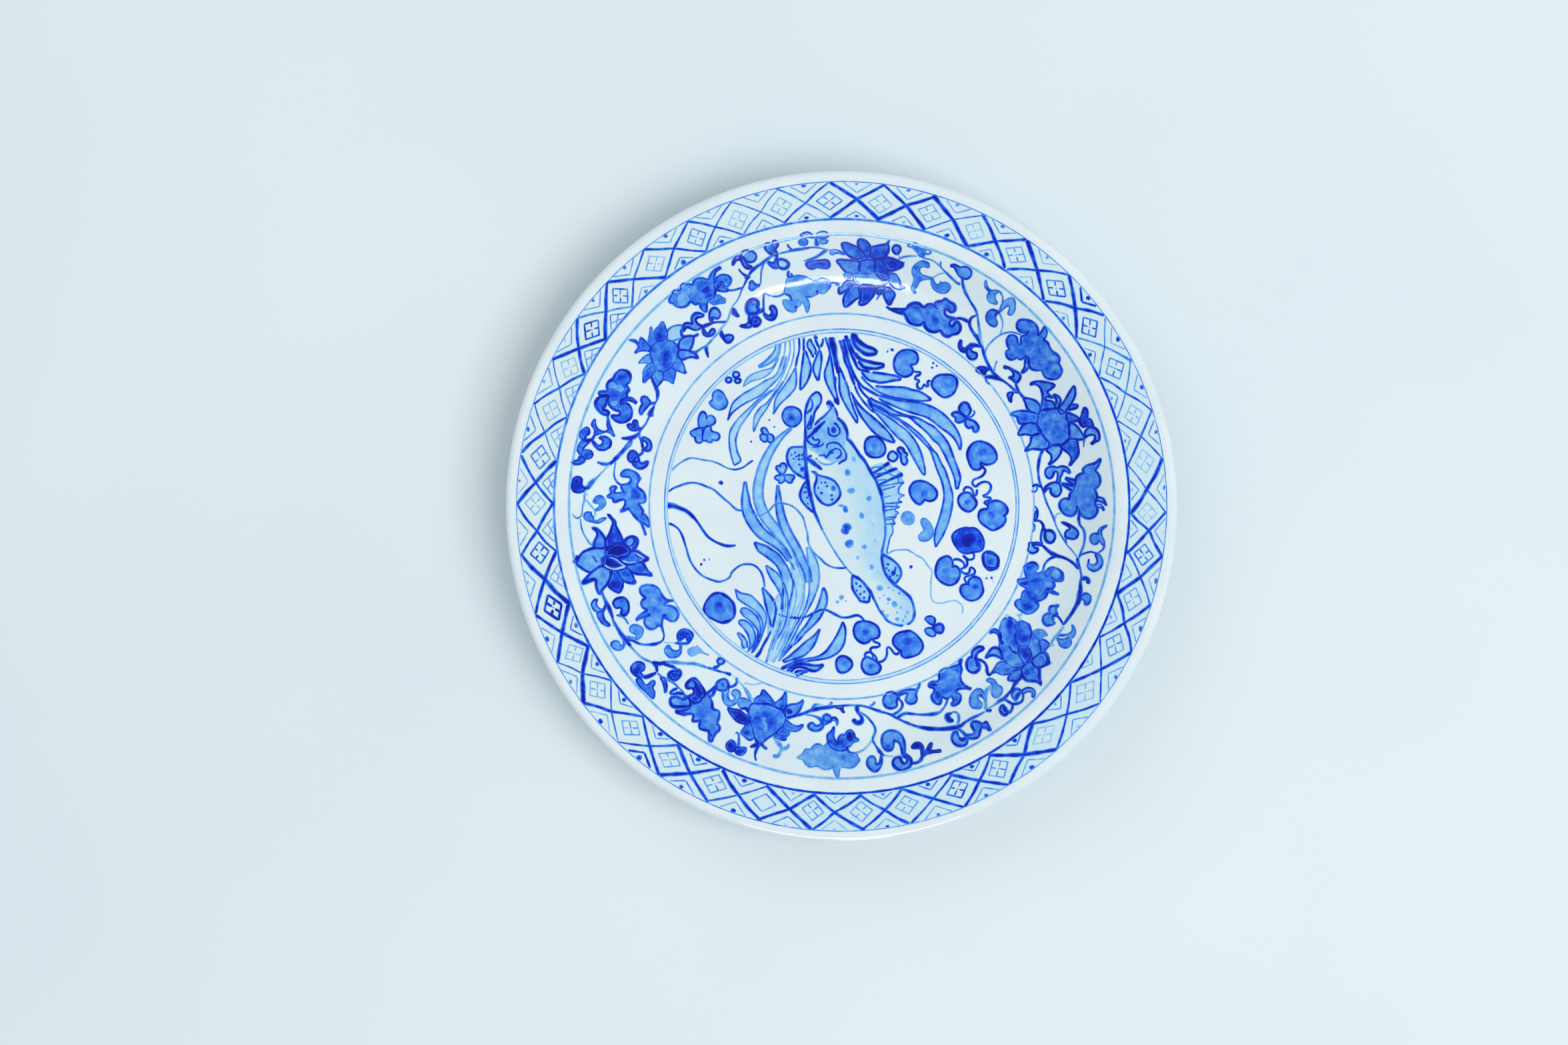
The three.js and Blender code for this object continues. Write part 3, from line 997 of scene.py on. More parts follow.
def fish_fins(wash, lines):
    """Four spotted fins: each an outline, its tone, and dots as x, y and radius."""
    fins = [
        (
            [
                (-13.2, 15.5), (-11.7, 15), (-10.3, 13.9), (-7, 13), (-4, 11.8), (-2.3, 10.2), (-1, 7.5),
                (-0.7, 5), (-2, 2.8), (-4, 1.2), (-6.2, 0.6), (-8.5, 1.5), (-10.5, 3.5), (-12, 6.3),
                (-12, 9), (-11.3, 11.5), (-11.2, 13.5), (-12, 15),
            ],
            0.42,
            [
                (-9, 10.6, 0.4), (-7.3, 10.7, 0.4), (-6.5, 9, 0.4), (-10.4, 8.3, 0.4), (-9, 6, 0.5),
                (-3.7, 8, 0.9), (-4.3, 3.1, 0.5), (-4.5, 5, 0.5),
            ],
        ),
        (
            [
                (-16.5, 25.7), (-20, 26.5), (-22.8, 26), (-24, 24), (-24.3, 21.5), (-23.5, 18.5),
                (-21.5, 15.8), (-19, 14), (-16.2, 13), (-16.2, 19),
            ],
            0.44,
            [
                (-19, 22.7, 0.5), (-19, 21, 0.5), (-17.7, 21, 0.4), (-20.8, 24, 0.4), (-22.3, 23, 0.4),
                (-20.2, 22.2, 0.4), (-21.4, 21.3, 0.4), (-18.8, 18.6, 0.5), (-17.5, 16.6, 0.9),
                (-17.7, 23, 0.4),
            ],
        ),
        (
            [
                (-15.7, 11), (-17.5, 8.5), (-18.5, 5.5), (-18, 3), (-16.3, 0.8), (-14.5, -1),
                (-12.2, -2.3), (-13.6, 4), (-14.8, 8.5),
            ],
            0.42,
            [(-16, 8.4, 0.4), (-16.5, 6.3, 0.4), (-15.7, 6.5, 0.3), (-15.4, 4, 0.4), (-15, 1.3, 0.4)],
        ),
        (
            [
                (5, -30.6), (4.6, -33), (4.8, -36), (6, -38.8), (7.6, -41), (8.2, -42), (10, -42.4),
                (12, -42.4), (12.4, -40.5), (12.7, -38.5), (10, -34.5), (7.5, -32), (5.5, -31),
            ],
            0.38,
            [
                (6.5, -34.3, 0.5), (8.3, -35.5, 0.5), (6.7, -37.5, 0.4), (8.3, -39, 0.5), (10, -38, 0.5),
                (10, -40.7, 0.5), (12.7, -38, 0.8),
            ],
        ),
        (
            [
                (18, -21.5), (20, -22.3), (22.5, -23.8), (25, -26), (26.3, -28.5), (26.2, -31),
                (25, -33), (23.5, -34), (19.8, -30.5), (18.3, -26),
            ],
            0.42,
            [
                (20.7, -25.8, 0.5), (20, -27.5, 0.4), (24, -27.4, 0.5), (21, -28.5, 0.4),
                (23, -29.7, 0.9), (21.5, -31.2, 0.5), (24.8, -30.8, 0.4), (23.7, -28.3, 0.4),
                (18.3, -21.8, 0.9),
            ],
        ),
    ]
    for outline, tone, dots in fins:
        wash.blot(outline, tone - 0.04, tone - 0.12, lift=0.03)
        lines.line(outline, 0.75, 0.87, True)
        lines.dots([(x, y, r, 0.9) for x, y, r in dots], 1.4)


def fish_spines(wash, lines):
    """The spiny fin along the back: pale skin between dark ribs."""
    edge = [
        (12.4, 17.2), (14.5, 18.6), (17.2, 19.4), (19.2, 19.2), (21.3, 19.5), (23, 17), (24.8, 17),
        (26.6, 15.2), (27.3, 14.4), (27, 12.4), (27.9, 10.9), (26, 9), (25.3, 7), (27.4, 5), (25.6, 3),
        (26.6, 1.8), (24.8, 0.6), (24, -1.5), (25, -3), (24.2, -4.7), (23.4, -7), (22.6, -9),
        (22.6, -12), (21.5, -14), (20.8, -17), (20.2, -20), (19.2, -21),
    ]
    root = [
        (12.2, 16.6), (13.6, 14.7), (14.8, 12.6), (16.2, 9.8), (17.5, 6), (18.4, 2), (18.9, -3),
        (19.4, -8), (19.4, -13), (18.8, -16.5), (18.2, -20.5),
    ]
    wash.wash(root, edge, (0.3, 0.24, 0.2, 0.24, 0.34), columns=9)
    lines.lines(
        [
            ([(13.6, 14.7), (16, 16), (19.5, 18.3), (21.3, 19.6)], (0.7, 1), 0.92),
            ([(14.5, 12.5), (17.5, 14), (21, 15.6), (24.8, 17)], (0.7, 1), 0.92),
            ([(16.2, 9.5), (19, 10.8), (22.5, 12.4), (26, 14), (27.3, 14.5)], (0.6, 0.8, 1.3), 0.92),
            [(19, 18), (19, 17), (20, 15.8), (21.5, 15)],
            [(21, 15), (22.3, 14), (23.5, 13.7), (25.5, 14)],
            [(27, 14.2), (25.5, 12.8), (25.2, 11.3), (26, 10.3), (28, 10.6)],
            [(12.6, 16.8), (15.8, 17.6), (19, 17.7)],
            [(14.5, 14.3), (19, 15)],
            [(15, 11.6), (20, 12)],
            [(17.2, 9), (20, 9.5), (27.9, 10.9)],
            [(18, 7.3), (24, 9)],
            [(18.5, 4), (22, 4.8)],
            [(18.7, 1.3), (23, 1.5), (27, 2)],
            [(18.8, 0), (25.5, 0)],
            [(19, -2), (24, -1)],
            [(19.3, -5), (24.3, -4.6)],
            [(19.4, -6), (23.3, -5.6)],
            [(19.4, -8), (23.7, -7.5)],
            [
                (27.9, 10.9), (26, 9), (25.3, 7), (25.8, 5.5), (28, 5), (26, 4), (25.4, 2.5), (27, 2),
                (24.5, 1.4), (24.6, 0.3), (25.8, -0.2), (24, -1), (24, -2), (25.4, -3), (24, -3.6),
                (24.3, -4.7), (22.7, -5.8), (23.7, -7.5), (22.5, -8.5), (22.8, -10), (22.6, -12),
                (21.5, -14), (20.8, -17), (20.2, -20), (20.3, -21.5),
            ],
        ],
        0.45, 0.72,
    )


def fish():
    wash = Painting("fish_washes")
    lines = Painting("fish_lines")
    fish_body(wash, lines)
    fish_spines(wash, lines)
    fish_head(wash, lines)
    fish_fins(wash, lines)
    fish_spots(wash)
    wash.piece()
    lines.piece()


# ---------------------------------------------------------------- duckweed and clovers

def pad(wash, lines, outline, tone, core=None, core_tone=None, line=(0.7, 0.95)):
    """A floating leaf: a pool of cobalt with a darker heart, and a line around it."""
    wash.blot(outline, tone, tone - 0.06)
    if core:
        x, y, size = core
        wash.dab(x, y, size, size * 0.9, core_tone or tone + 0.14, tone + 0.04)
    if line:
        lines.line(outline, line[0], line[1], True, tone * 0.78)


def duckweed_pads(wash, lines):
    """The floating leaves, with a notch where a point is given twice."""
    pads = [
        ([(-55.4, 51.8), (-53.2, 50.8), (-52, 49), (-50.9, 46.2), (-52.2, 43.9), (-54.8, 43.1),
          (-57, 44.2), (-58.8, 46.1), (-57.5, 47.6), (-57.3, 50.2)], 0.5, (-54.5, 48.2, 1.7), None,
         (0.6, 0.75)),
        ([(-22.5, 44.4), (-20, 43.7), (-18.3, 42), (-18.1, 38.5), (-20, 36.3), (-22, 35.6),
          (-24.5, 36.6), (-26.2, 39), (-26.2, 41.5), (-24.8, 43.7)], 0.6, (-22.2, 40, 1.8), None,
         (0.6, 0.88)),
        ([(13.5, 31.1), (16.5, 30.6), (18.8, 28), (19.4, 25), (18, 22.7), (15.5, 21.9),
          (12.8, 22.3), (10.8, 24.3), (10.3, 27.5), (11.3, 30)], 0.58, (15, 26.5, 1.8)),
        ([(22.5, 24.6), (24.6, 23.3), (24.9, 21.9), (23.2, 20.2), (21, 21), (20.8, 23)], 0.35),
        ([(24.9, 25.3), (26.1, 26.3), (27.5, 25.5), (28.1, 24), (29, 23.8), (29.2, 22.9),
          (28.6, 22), (29.2, 20.6), (28.8, 19.2), (27.9, 18.6), (26.8, 19.6), (26.4, 21.5),
          (26.2, 23.3)], 0.45),
        ([(34.5, 11.3), (37.5, 10.8), (40.5, 9), (42.3, 6.5), (42, 4), (40, 2.5), (37.5, 2.8),
          (37, 3.4), (37, 3.4), (36.3, 2.3), (34.7, 1), (32.3, 2.5), (30.7, 5), (30.4, 8),
          (32, 10.5)], 0.58, (37, 6, 1.6)),
        ([(36.8, -5.4), (39, -7), (40.5, -10), (40.3, -13), (38.5, -15), (35.3, -15.1),
          (34.4, -13.3), (35.3, -12), (36.7, -10.7), (36.4, -9.2), (35.5, -7.5), (35.6, -5.8)], 0.52,
         None, None, (0.5, 0.65)),
        ([(56.5, -9.7), (59.5, -10), (62, -12.5), (63.3, -16), (62.2, -19.3), (59, -20.2),
          (55.5, -20.8), (52.5, -19.5), (50, -16), (49.5, -13), (51.5, -10.8), (54, -9.8)],
         0.86, (56.3, -15, 3.4), 1.0),
        ([(64.5, -20.3), (67, -20.4), (69.3, -22.5), (69.8, -25), (68.8, -27.3), (66, -28.3),
          (64, -26.5), (63, -23.5), (63, -21.5)], 0.62, (66.3, -24.5, 1.4)),
        ([(61.5, 29), (64.5, 28.2), (67, 26.5), (68.7, 24), (69, 21.5), (67.8, 19.7), (65, 18.7),
          (62.8, 19.2), (61.8, 19.9), (61.8, 19.9), (62.2, 18), (61.8, 16.9), (60.3, 16.4),
          (58.3, 17), (56.8, 19.5), (56, 23), (56.8, 26), (58.8, 28.3)], 0.62, (62.5, 24.5, 2.3)),
        ([(54.5, 6), (57, 6), (58, 4.5), (59.6, 3), (60, 1), (58.8, -1), (56.8, -2.2),
          (54.5, -1.5), (52.5, 0.5), (51.9, 3), (52.8, 5)], 0.5, (56, 2, 1.5)),
        ([(68.7, 2.5), (71.5, 1.7), (73.3, 0), (73.9, -2), (72.8, -3.8), (72, -4.2), (72, -4.2),
          (73, -5), (72.9, -6.5), (71.5, -8.5), (69, -10), (67, -10.5), (64.5, -9), (62, -7),
          (61, -4.5), (61.7, -2), (63.5, -1.2), (65, -1.2), (65, -1.2), (65.2, 0.5), (65.5, 1.8)],
         0.6, (66.5, -4, 1.8)),
        ([(46, 58.7), (49, 58.5), (51.2, 56.5), (51.3, 54), (50, 50.8), (47.5, 49), (45, 48.9),
          (42.3, 51), (40.1, 54), (41, 56.8), (43.5, 58.5)], 0.6, (46, 54, 2)),
        ([(27.5, 69.6), (30.5, 69.7), (33, 68.5), (34, 66), (33.2, 63.8), (31, 63.2), (30.3, 63),
          (30.3, 63), (31.2, 62), (31.6, 60.3), (30.8, 58.7), (28.5, 57.9), (26, 58.5), (24, 60.5),
          (23.3, 63.5), (24, 66.5), (25.5, 68.5)], 0.6, (28, 64, 2)),
        ([(-54.5, -38.6), (-51.5, -39.7), (-48.8, -42.8), (-47.5, -46.5), (-48.3, -49.3),
          (-50.7, -51.3), (-53.5, -51.7), (-57, -50.3), (-60.5, -48), (-61.3, -45.5), (-60, -42),
          (-57.5, -39.3)], 0.62, (-54.6, -45, 2.9)),
        ([(10, -51.1), (13, -51.7), (15.8, -53.5), (16.8, -56), (16.2, -58.2), (14.2, -58.9),
          (13.2, -59), (13.2, -59), (12, -60.2), (10, -60.9), (7.5, -59.8), (5.7, -57.3),
          (5.5, -54.3), (6.7, -52), (8.5, -51.4)], 0.62, (11, -56, 2)),
        ([(12, -67.3), (14.5, -68.5), (16.5, -70), (17.3, -72), (16, -74.1), (13, -74.9),
          (10.5, -74), (9, -71.5), (9.3, -68.8), (10.8, -67.2)], 0.52, (13, -71.3, 1.6)),
        ([(0, -66.7), (2.5, -67.3), (4.3, -69), (4.6, -71), (3, -73), (0.5, -74), (-1.5, -73.2),
          (-2.4, -70.5), (-2, -68)], 0.6, (1.2, -70.3, 1.5)),
        ([(28, -55.8), (30.5, -55.6), (33.5, -57.5), (35.7, -60.5), (36, -63), (34.3, -65.5),
          (31.5, -66.8), (28.3, -67.3), (26.8, -66.3), (26.5, -64.8), (24.5, -63), (23, -61),
          (23.2, -58.5), (25.3, -56.5)], 0.66, (29, -60, 2.3)),
        ([(46.8, -22.2), (48.8, -23.5), (49.5, -25.8), (49, -27), (49, -27), (51, -26.7),
          (52.5, -28.5), (52.5, -31), (50.8, -34), (47.8, -35), (44.3, -33.5), (42.2, -31),
          (42, -27.5), (43.3, -24)], 0.58, (46.5, -28.5, 1.7)),
        ([(57.5, -32), (59.5, -31.3), (61.7, -32.5), (62.5, -35), (62.9, -37.5), (61.8, -40),
          (59.5, -41.6), (57, -41.8), (54.5, -40.3), (53, -37.8), (53.3, -35.5), (55, -34.7),
          (56.7, -35), (56.7, -35), (56.5, -33.5)], 0.62, (59.5, -35.5, 1.7)),
    ]
    for mark in pads:
        pad(wash, lines, *mark)
    pad(wash, lines, [
        (29, -1.9), (31.5, -2.7), (32.7, -5), (32, -7.5), (30, -8.4), (27.5, -7.7), (26.2, -5.2),
        (27, -3),
    ], 0.54, line=None)
    lines.line([(-54, -38.6), (-48.5, -43), (-48.3, -49.3), (-53.5, -51.7)], 0.9, 0.95)


def duckweed_strings(lines):
    """The thin lines that wander from one leaf to the next."""
    lines.lines(
        [
            ([(64.5, -20.3), (69.3, -22.5), (68.8, -27.3), (64, -26.5), (63, -21.5)], 1, 0.95),
            [(58.3, -20), (59, -22), (58.5, -23.3), (56.5, -23.7), (55, -22.7), (54, -21.7)],
            [(54.5, -22), (55.8, -24), (55.8, -26), (54.3, -27.6)],
            [
                (62.1, 18.9), (63, 17.5), (64, 16), (63, 14), (61, 12.8), (59.3, 12.2), (58.5, 11.5),
                (58.2, 10.2), (58.9, 9.3), (60, 9), (61.5, 10.3), (63.5, 11), (65.5, 10.6), (66.5, 9),
                (66, 7), (64.5, 5.4), (63, 4.8), (64, 4.2), (66, 4), (66.3, 3.2), (65, 2.5),
                (63.5, 1.8), (64.5, 1), (65, 0.3),
            ],
            [(54.6, 6.5), (54.5, 7.6), (55.5, 8.6), (57.5, 8.2), (58.5, 6.5), (58.7, 4.5)],
            [(60.3, 7.8), (60, 5.5), (59, 4.5)],
            [
                (31.3, 60.5), (33, 60), (35, 59.8), (34.8, 58.8), (33, 57.9), (32.7, 56.8), (34, 56.4),
                (34.6, 55.8), (33.7, 54.8), (33.8, 53.2), (35, 52.4), (36, 53), (36.7, 54.5),
                (37.5, 53.7), (38.5, 53.7), (38.3, 55.2), (38.5, 55.9), (39.7, 55.9),
            ],
            [
                (13.9, -59.2), (14.5, -60.2), (16.5, -61), (17, -62), (15.5, -62.7), (13.7, -62.8),
                (12.7, -64), (13.7, -65.5), (14.7, -66.5), (15.5, -68), (15.5, -69.5),
            ],
            [(10.6, -67.2), (10.4, -66), (11.5, -65), (13, -65.2), (13.9, -66.5), (13.8, -68)],
            [
                (16, -69.4), (18, -69), (19.6, -67.5), (20.2, -65.5), (20.2, -63.2), (21.3, -62.8),
                (22.5, -64.3), (23.7, -65.6), (25, -65.7), (25.5, -64.8),
            ],
            [(49.5, -24), (51, -23.5), (53, -24), (54.5, -25.5), (54.3, -27.3), (52.5, -28)],
            [
                (52.5, -28), (54, -29.5), (55.8, -30), (57, -29), (57.2, -27.5), (58, -27.2),
                (59.3, -28.5), (59, -30), (57, -30.8), (55.3, -31.3), (54.7, -32.3), (55.5, -33.8),
                (56.5, -34.8),
            ],
        ],
        0.68, 0.9,
    )


def duckweed():
    wash = Painting("duckweed_washes")
    lines = Painting("duckweed_lines")
    duckweed_pads(wash, lines)
    duckweed_strings(lines)
    wash.piece()
    lines.piece()


def clovers():
    """Small leaves of two to four hearts, small rings and loose dots."""
    wash = Painting("clover_washes")
    lines = Painting("clover_lines")
    hearts = [
        ([(-63, 35), (-63.8, 38.5), (-63, 41.3), (-61.6, 42.2), (-60.4, 40.8), (-60.3, 38.9),
          (-60.3, 38.9), (-59.3, 40.3), (-57.6, 40.3), (-56.4, 38.7), (-56.8, 37), (-58.5, 36.1)],
         0.5),
        ([(-63, 35), (-65.5, 34.3), (-67.4, 32.9), (-66.3, 31.3), (-65.3, 30.9), (-65.3, 30.9),
          (-65, 29.3), (-63.9, 28.4), (-62.2, 28.9), (-62, 32), (-62, 34)], 0.48),
        ([(-57, 33.2), (-55.3, 32.7), (-54.4, 31.3), (-55.2, 29.7), (-57, 29.6), (-57.9, 30.3),
          (-57.9, 30.3), (-57.6, 29.4), (-58.4, 28.6), (-60.5, 29.3), (-62, 29.8), (-61.6, 33.5),
          (-60, 36), (-58.2, 35.4), (-58.3, 34)], 0.48),
        ([(54.5, 46.3), (56, 45.8), (57, 44), (57.4, 42.6), (56, 40.2), (54.8, 40.3), (53.4, 41.5),
          (52.3, 43.5), (53, 45.2)], 0.55),
        ([(54.5, 40.2), (53, 41.5), (51, 42), (49.2, 41.2), (50, 40.2), (51, 39.7), (51, 39.7),
          (50.8, 38.2), (52, 37.5), (54, 38), (55.3, 39)], 0.58),
        ([(55.3, 39.3), (57, 38.8), (59.5, 37.5), (60.9, 35.5), (60.5, 33.8), (59.2, 33.4),
          (58.7, 34.5), (58.2, 35.6), (58.2, 35.6), (56.5, 35), (55.2, 36.5), (55.3, 38.5)], 0.55),
        ([(-26.5, 14.3), (-28.5, 16), (-29.2, 17.5), (-28, 18.2), (-27.2, 17.3), (-27.2, 17.3),
          (-27.3, 18.7), (-26, 19.3), (-24.7, 18.3), (-24.8, 16.5), (-25.6, 15)], 0.45),
        ([(-26, 14), (-28.5, 13.8), (-29.8, 12.8), (-28.8, 11.9), (-27.9, 11.6), (-27.9, 11.6),
          (-28, 10.8), (-27.2, 10.4), (-26, 11), (-25.4, 12)], 0.45),
        ([(-25, 14), (-23, 14.1), (-21.2, 13.6), (-21.2, 12.6), (-22, 12), (-22, 12),
          (-22.2, 10.8), (-23.5, 10.6), (-24.8, 11.5), (-25.7, 12.8)], 0.45),
        ([(-35.7, 34.4), (-34.2, 35.1), (-33, 33.5), (-32.5, 32.3), (-34.5, 32.2), (-35.4, 33.3)],
         0.45),
        ([(-36.1, 32), (-34.5, 32.1), (-33, 31), (-33.2, 29.5), (-34.3, 28.8), (-36, 30)], 0.45),
        ([(-32.7, 32), (-31.2, 32), (-30.2, 30.5), (-30.8, 28.8), (-32.2, 28.7), (-33.2, 29.8)],
         0.45),
        ([(40, -49), (41.5, -50), (41.5, -51.5), (40.8, -52.7), (39, -52), (37.3, -50.3),
          (38, -49.3)], 0.5),
        ([(42, -53), (44, -52.4), (45.2, -54), (44.7, -56), (43, -56.3), (41.5, -55.3), (41, -53.5)],
         0.62),
        ([(40, -54.2), (41.5, -56), (41.6, -57.5), (40, -57.8), (38, -56.7), (37.2, -55),
          (38.3, -54.2)], 0.5),
    ]
    for outline, tone in hearts:
        pad(wash, lines, outline, tone, line=(0.8, 0.92) if tone > 0.54 else (0.6, 0.86))
    rings = [(-47, 58.7, 1.4, 1.3), (-46.3, 56, 1.3, 1.0), (-50.3, 56.4, 1.3, 1.1)]
    for x, y, across, up in rings:
        outline = [(x + across * math.cos(k), y + up * math.sin(k)) for k in range(6)]
        pad(wash, lines, outline, 0.35)
    lines.line([(58.7, 43), (59.2, 41.7), (58, 40.2), (56, 39.5)], 0.55, 0.85)
    dots = [
        (20.4, 69, 0.4, 0.9), (22.5, 69.8, 0.6, 0.9), (20.7, 70.2, 0.3, 0.4), (40.8, 63.9, 0.45, 0.9),
        (42.4, 62.7, 0.4, 0.9), (40.3, 61.9, 0.45, 0.9), (-32.2, 38.5, 0.35, 0.9),
        (-30, 35.5, 0.35, 0.9), (-40.3, 28.9, 0.4, 0.9), (-53.8, 10.6, 0.8, 0.92),
        (-61.2, -23.8, 0.4, 0.9), (-58.9, -23.6, 0.35, 0.5), (-62.6, -25.8, 0.5, 0.9),
        (-0.1, -40.5, 0.9, 0.5), (-1.9, -42.5, 0.6, 0.5), (1.9, -42.1, 0.35, 0.4),
        (30.9, -26.9, 0.6, 0.9), (64.5, -32, 0.5, 0.6), (66.8, -31.8, 0.5, 0.85),
        (67.3, -33.4, 0.3, 0.4),
    ]
    lines.dots(dots, 1.35)
    wash.piece()
    lines.piece()


def tendrils():
    """Long loose stems with nothing on them but a dark end."""
    lines = Painting("tendrils")
    lines.lines([
        ([(-75.7, 15.9), (-74, 17.8), (-71, 20), (-68, 21.4), (-65.5, 21.5), (-62, 20.8), (-58, 20.2),
          (-55, 19.2), (-52, 17.6), (-49.5, 16.7), (-47, 16.5), (-44, 17.4), (-41.5, 19.2),
          (-39.4, 20.6)], 0.5, (0.56, 0.6, 0.62, 0.9)),
        ([(-77.2, 6.6), (-75, 8.1), (-72, 9.3), (-69, 10.3), (-66, 10.6), (-63, 10), (-60, 8.8),
          (-57, 7.5), (-54.5, 5.3), (-52, 3.1), (-50, 1.5), (-48.3, -0.2), (-46.5, -1.5),
          (-44.3, -1.8)], 0.6, (0.76, 0.7, 0.74)),
        ([(-78, 0.5), (-75, 0.3), (-72, -0.8), (-69, -2.2), (-66, -4.8), (-63.5, -8), (-61.5, -11),
          (-59.5, -13.5), (-57, -15.3), (-54, -16.7), (-51.5, -17.5), (-49, -17.6), (-48, -17.3)],
         (1.5, 1, 0.7, 0.7, 0.8), 0.92),
        ([(-77, -7.5), (-74.7, -8.5), (-72.6, -10.2), (-71, -13), (-70, -16), (-69, -19.3),
          (-68.3, -22), (-67, -25), (-65, -28), (-62.5, -30.5), (-60, -31.9), (-57, -33),
          (-54.5, -33.5), (-52, -32.8), (-49.8, -31.4), (-49, -29.5), (-47, -27.5), (-44.5, -26),
          (-42, -25.7), (-39.5, -26), (-37.5, -27.3), (-35.8, -29.5), (-34.8, -32.5), (-34.3, -36)],
         0.6, (0.9, 0.8, 0.68, 0.74, 0.88)),
        ([(-40.2, -2.7), (-38.5, -3.6), (-36.5, -4), (-34.5, -3.2), (-32.5, -2), (-30.5, 0.2),
          (-29, 1.4), (-27, 1.5), (-25, 1.2), (-23, 0.6), (-21, -0.5), (-19, -2.5), (-17.2, -5),
          (-16.2, -8.5), (-15.3, -12), (-14.8, -16), (-13.5, -19), (-11.5, -21.5), (-9.5, -23.2),
          (-7.5, -25.2), (-5, -26.7), (-2, -27.4), (1, -27.4), (2.3, -26.9)],
         0.55, (0.66, 0.66, 0.6, 0.62, 0.88)),
        ([(-28, -48), (-25.5, -49), (-22, -49.5), (-19, -49.7), (-15.5, -49), (-12.5, -47.5),
          (-10, -46.3), (-8, -45.9), (-5.5, -46.7), (-2.5, -48.3), (0, -49.4), (3, -49.4),
          (6, -48.6), (8, -48.8), (9.5, -50.2), (10.1, -51.3)], 0.7, 0.9),
        ([(20.3, -21.3), (22, -20.2), (24, -19.5), (27, -19.3), (29, -19.3), (31, -20.2),
          (33.5, -21.8), (35.5, -22.8), (37, -24.3), (38.5, -26.5), (39.8, -28), (40.3, -29.5),
          (39.9, -32), (39.7, -36), (39.8, -40), (40.5, -42), (42.5, -43), (45, -43), (48, -42.2),
          (50.5, -42), (52.5, -43), (53.8, -44.5), (53.9, -46.5), (53.6, -47.9)],
         0.45, (0.5, 0.45, 0.35, 0.4, 0.35)),
    ])
    lines.spots([(-48, -17.4, 0.9, 0.6, 0.95)])
    lines.piece()


# ---------------------------------------------------------------- waterweed

def frond(wash, lines, left, right, tones=(0.29, 0.22, 0.27), width=0.7, tone=0.95):
    """A weed leaf between two edges that are given from the same end."""
    wash.wash(left, right, tones, columns=5)
    lines.line(left, width, tone, beside=tones[0])
    lines.line(right, width, tone, beside=tones[-1])


def blade(wash, lines, path, width, fill=0.27, tone=0.93, line=0.6):
    """A weed leaf about a middle line, with its width along it."""
    middle = smooth_path(path, step=2.5)
    ahead = np.gradient(middle, axis=0)
    ahead /= np.linalg.norm(ahead, axis=1)[:, None]
    half = along_mark(width, len(middle)) / 2
    aside = np.column_stack([-ahead[:, 1], ahead[:, 0]]) * half[:, None]
    frond(wash, lines, middle + aside, middle - aside, (fill + 0.04, fill - 0.04, fill), line, tone)


def lower_blades(wash, lines):
    """The pale blades at the back of the clump, and the three that sway up the left side."""
    blade(wash, lines, [(-30, -58), (-27, -48), (-22, -38), (-20, -28)], (6, 11, 10, 5), 0.26, 0.4, 0.3)
    blade(wash, lines, [(-24, -62), (-21, -50), (-19, -38), (-21, -26)], (4, 6, 5, 3), 0.22, 0.4, 0.3)
    blade(wash, lines, [(-32, -69), (-29, -62), (-26, -54), (-25, -46)], (3, 5, 5, 3), 0.26, 0.45)
    blade(
        wash, lines,
        [(-43, 11.2), (-42.9, 5), (-42.2, -1), (-39.5, -7), (-35.5, -12), (-30.5, -15.5),
         (-26.5, -19), (-23, -24)],
        (0.5, 3, 4.6, 4.6, 4, 3, 2), 0.4, 0.8,
    )
    blade(
        wash, lines,
        [(-20, -28), (-24, -19), (-29, -11), (-34, -4.5), (-37, 3), (-36.8, 11), (-34.5, 19),
         (-31, 26), (-27, 31), (-22.2, 35.2)],
        (2, 3.5, 4.2, 4.2, 4, 3.6, 2.6, 0.5), 0.32, 0.6,
    )
    blade(
        wash, lines,
        [(-28.5, 9.7), (-28.3, 5), (-27.8, 0), (-26.8, -5), (-24.8, -10.5), (-22, -15.5),
         (-19.5, -20), (-17.5, -24.5), (-15.5, -29), (-14.7, -34)],
        (0.4, 2.8, 3.6, 3.6, 3.2, 2.5), 0.42, 0.75,
    )


def lower_stem(wash, lines):
    """The broad frond in the middle of the clump, with the pale strokes beside it."""
    frond(
        wash, lines,
        [(-15.7, -18.2), (-14, -19), (-12.5, -21.5), (-11, -24.5), (-10.2, -28), (-10, -32),
         (-10.8, -36.5), (-12.5, -41), (-14.5, -45), (-17, -49.5), (-19.5, -54), (-22.5, -60),
         (-25.5, -65), (-28, -69)],
        [(-15.7, -18.2), (-15.3, -21), (-15, -25), (-14.6, -30), (-14.4, -37), (-15.3, -42),
         (-17, -47), (-21, -54), (-24.5, -61), (-28.2, -69)],
        (0.3, 0.26, 0.3), 0.5, (0.6, 0.62, 0.85, 0.6),
    )
    pale = [
        [(-19, -26), (-17.3, -30), (-16.5, -35), (-17, -41), (-18.7, -46.5)],
        [(-22, -31), (-20.5, -36), (-20.5, -42), (-22.5, -49), (-25.5, -56), (-29, -64)],
        [(-24.5, -27), (-26, -33), (-25, -40), (-25.5, -48), (-28, -56), (-31, -64)],
        [(-18.7, -46.5), (-21.5, -53), (-25, -60), (-28.5, -67)],
    ]
    lines.lines(pale, 0.45, 0.5)


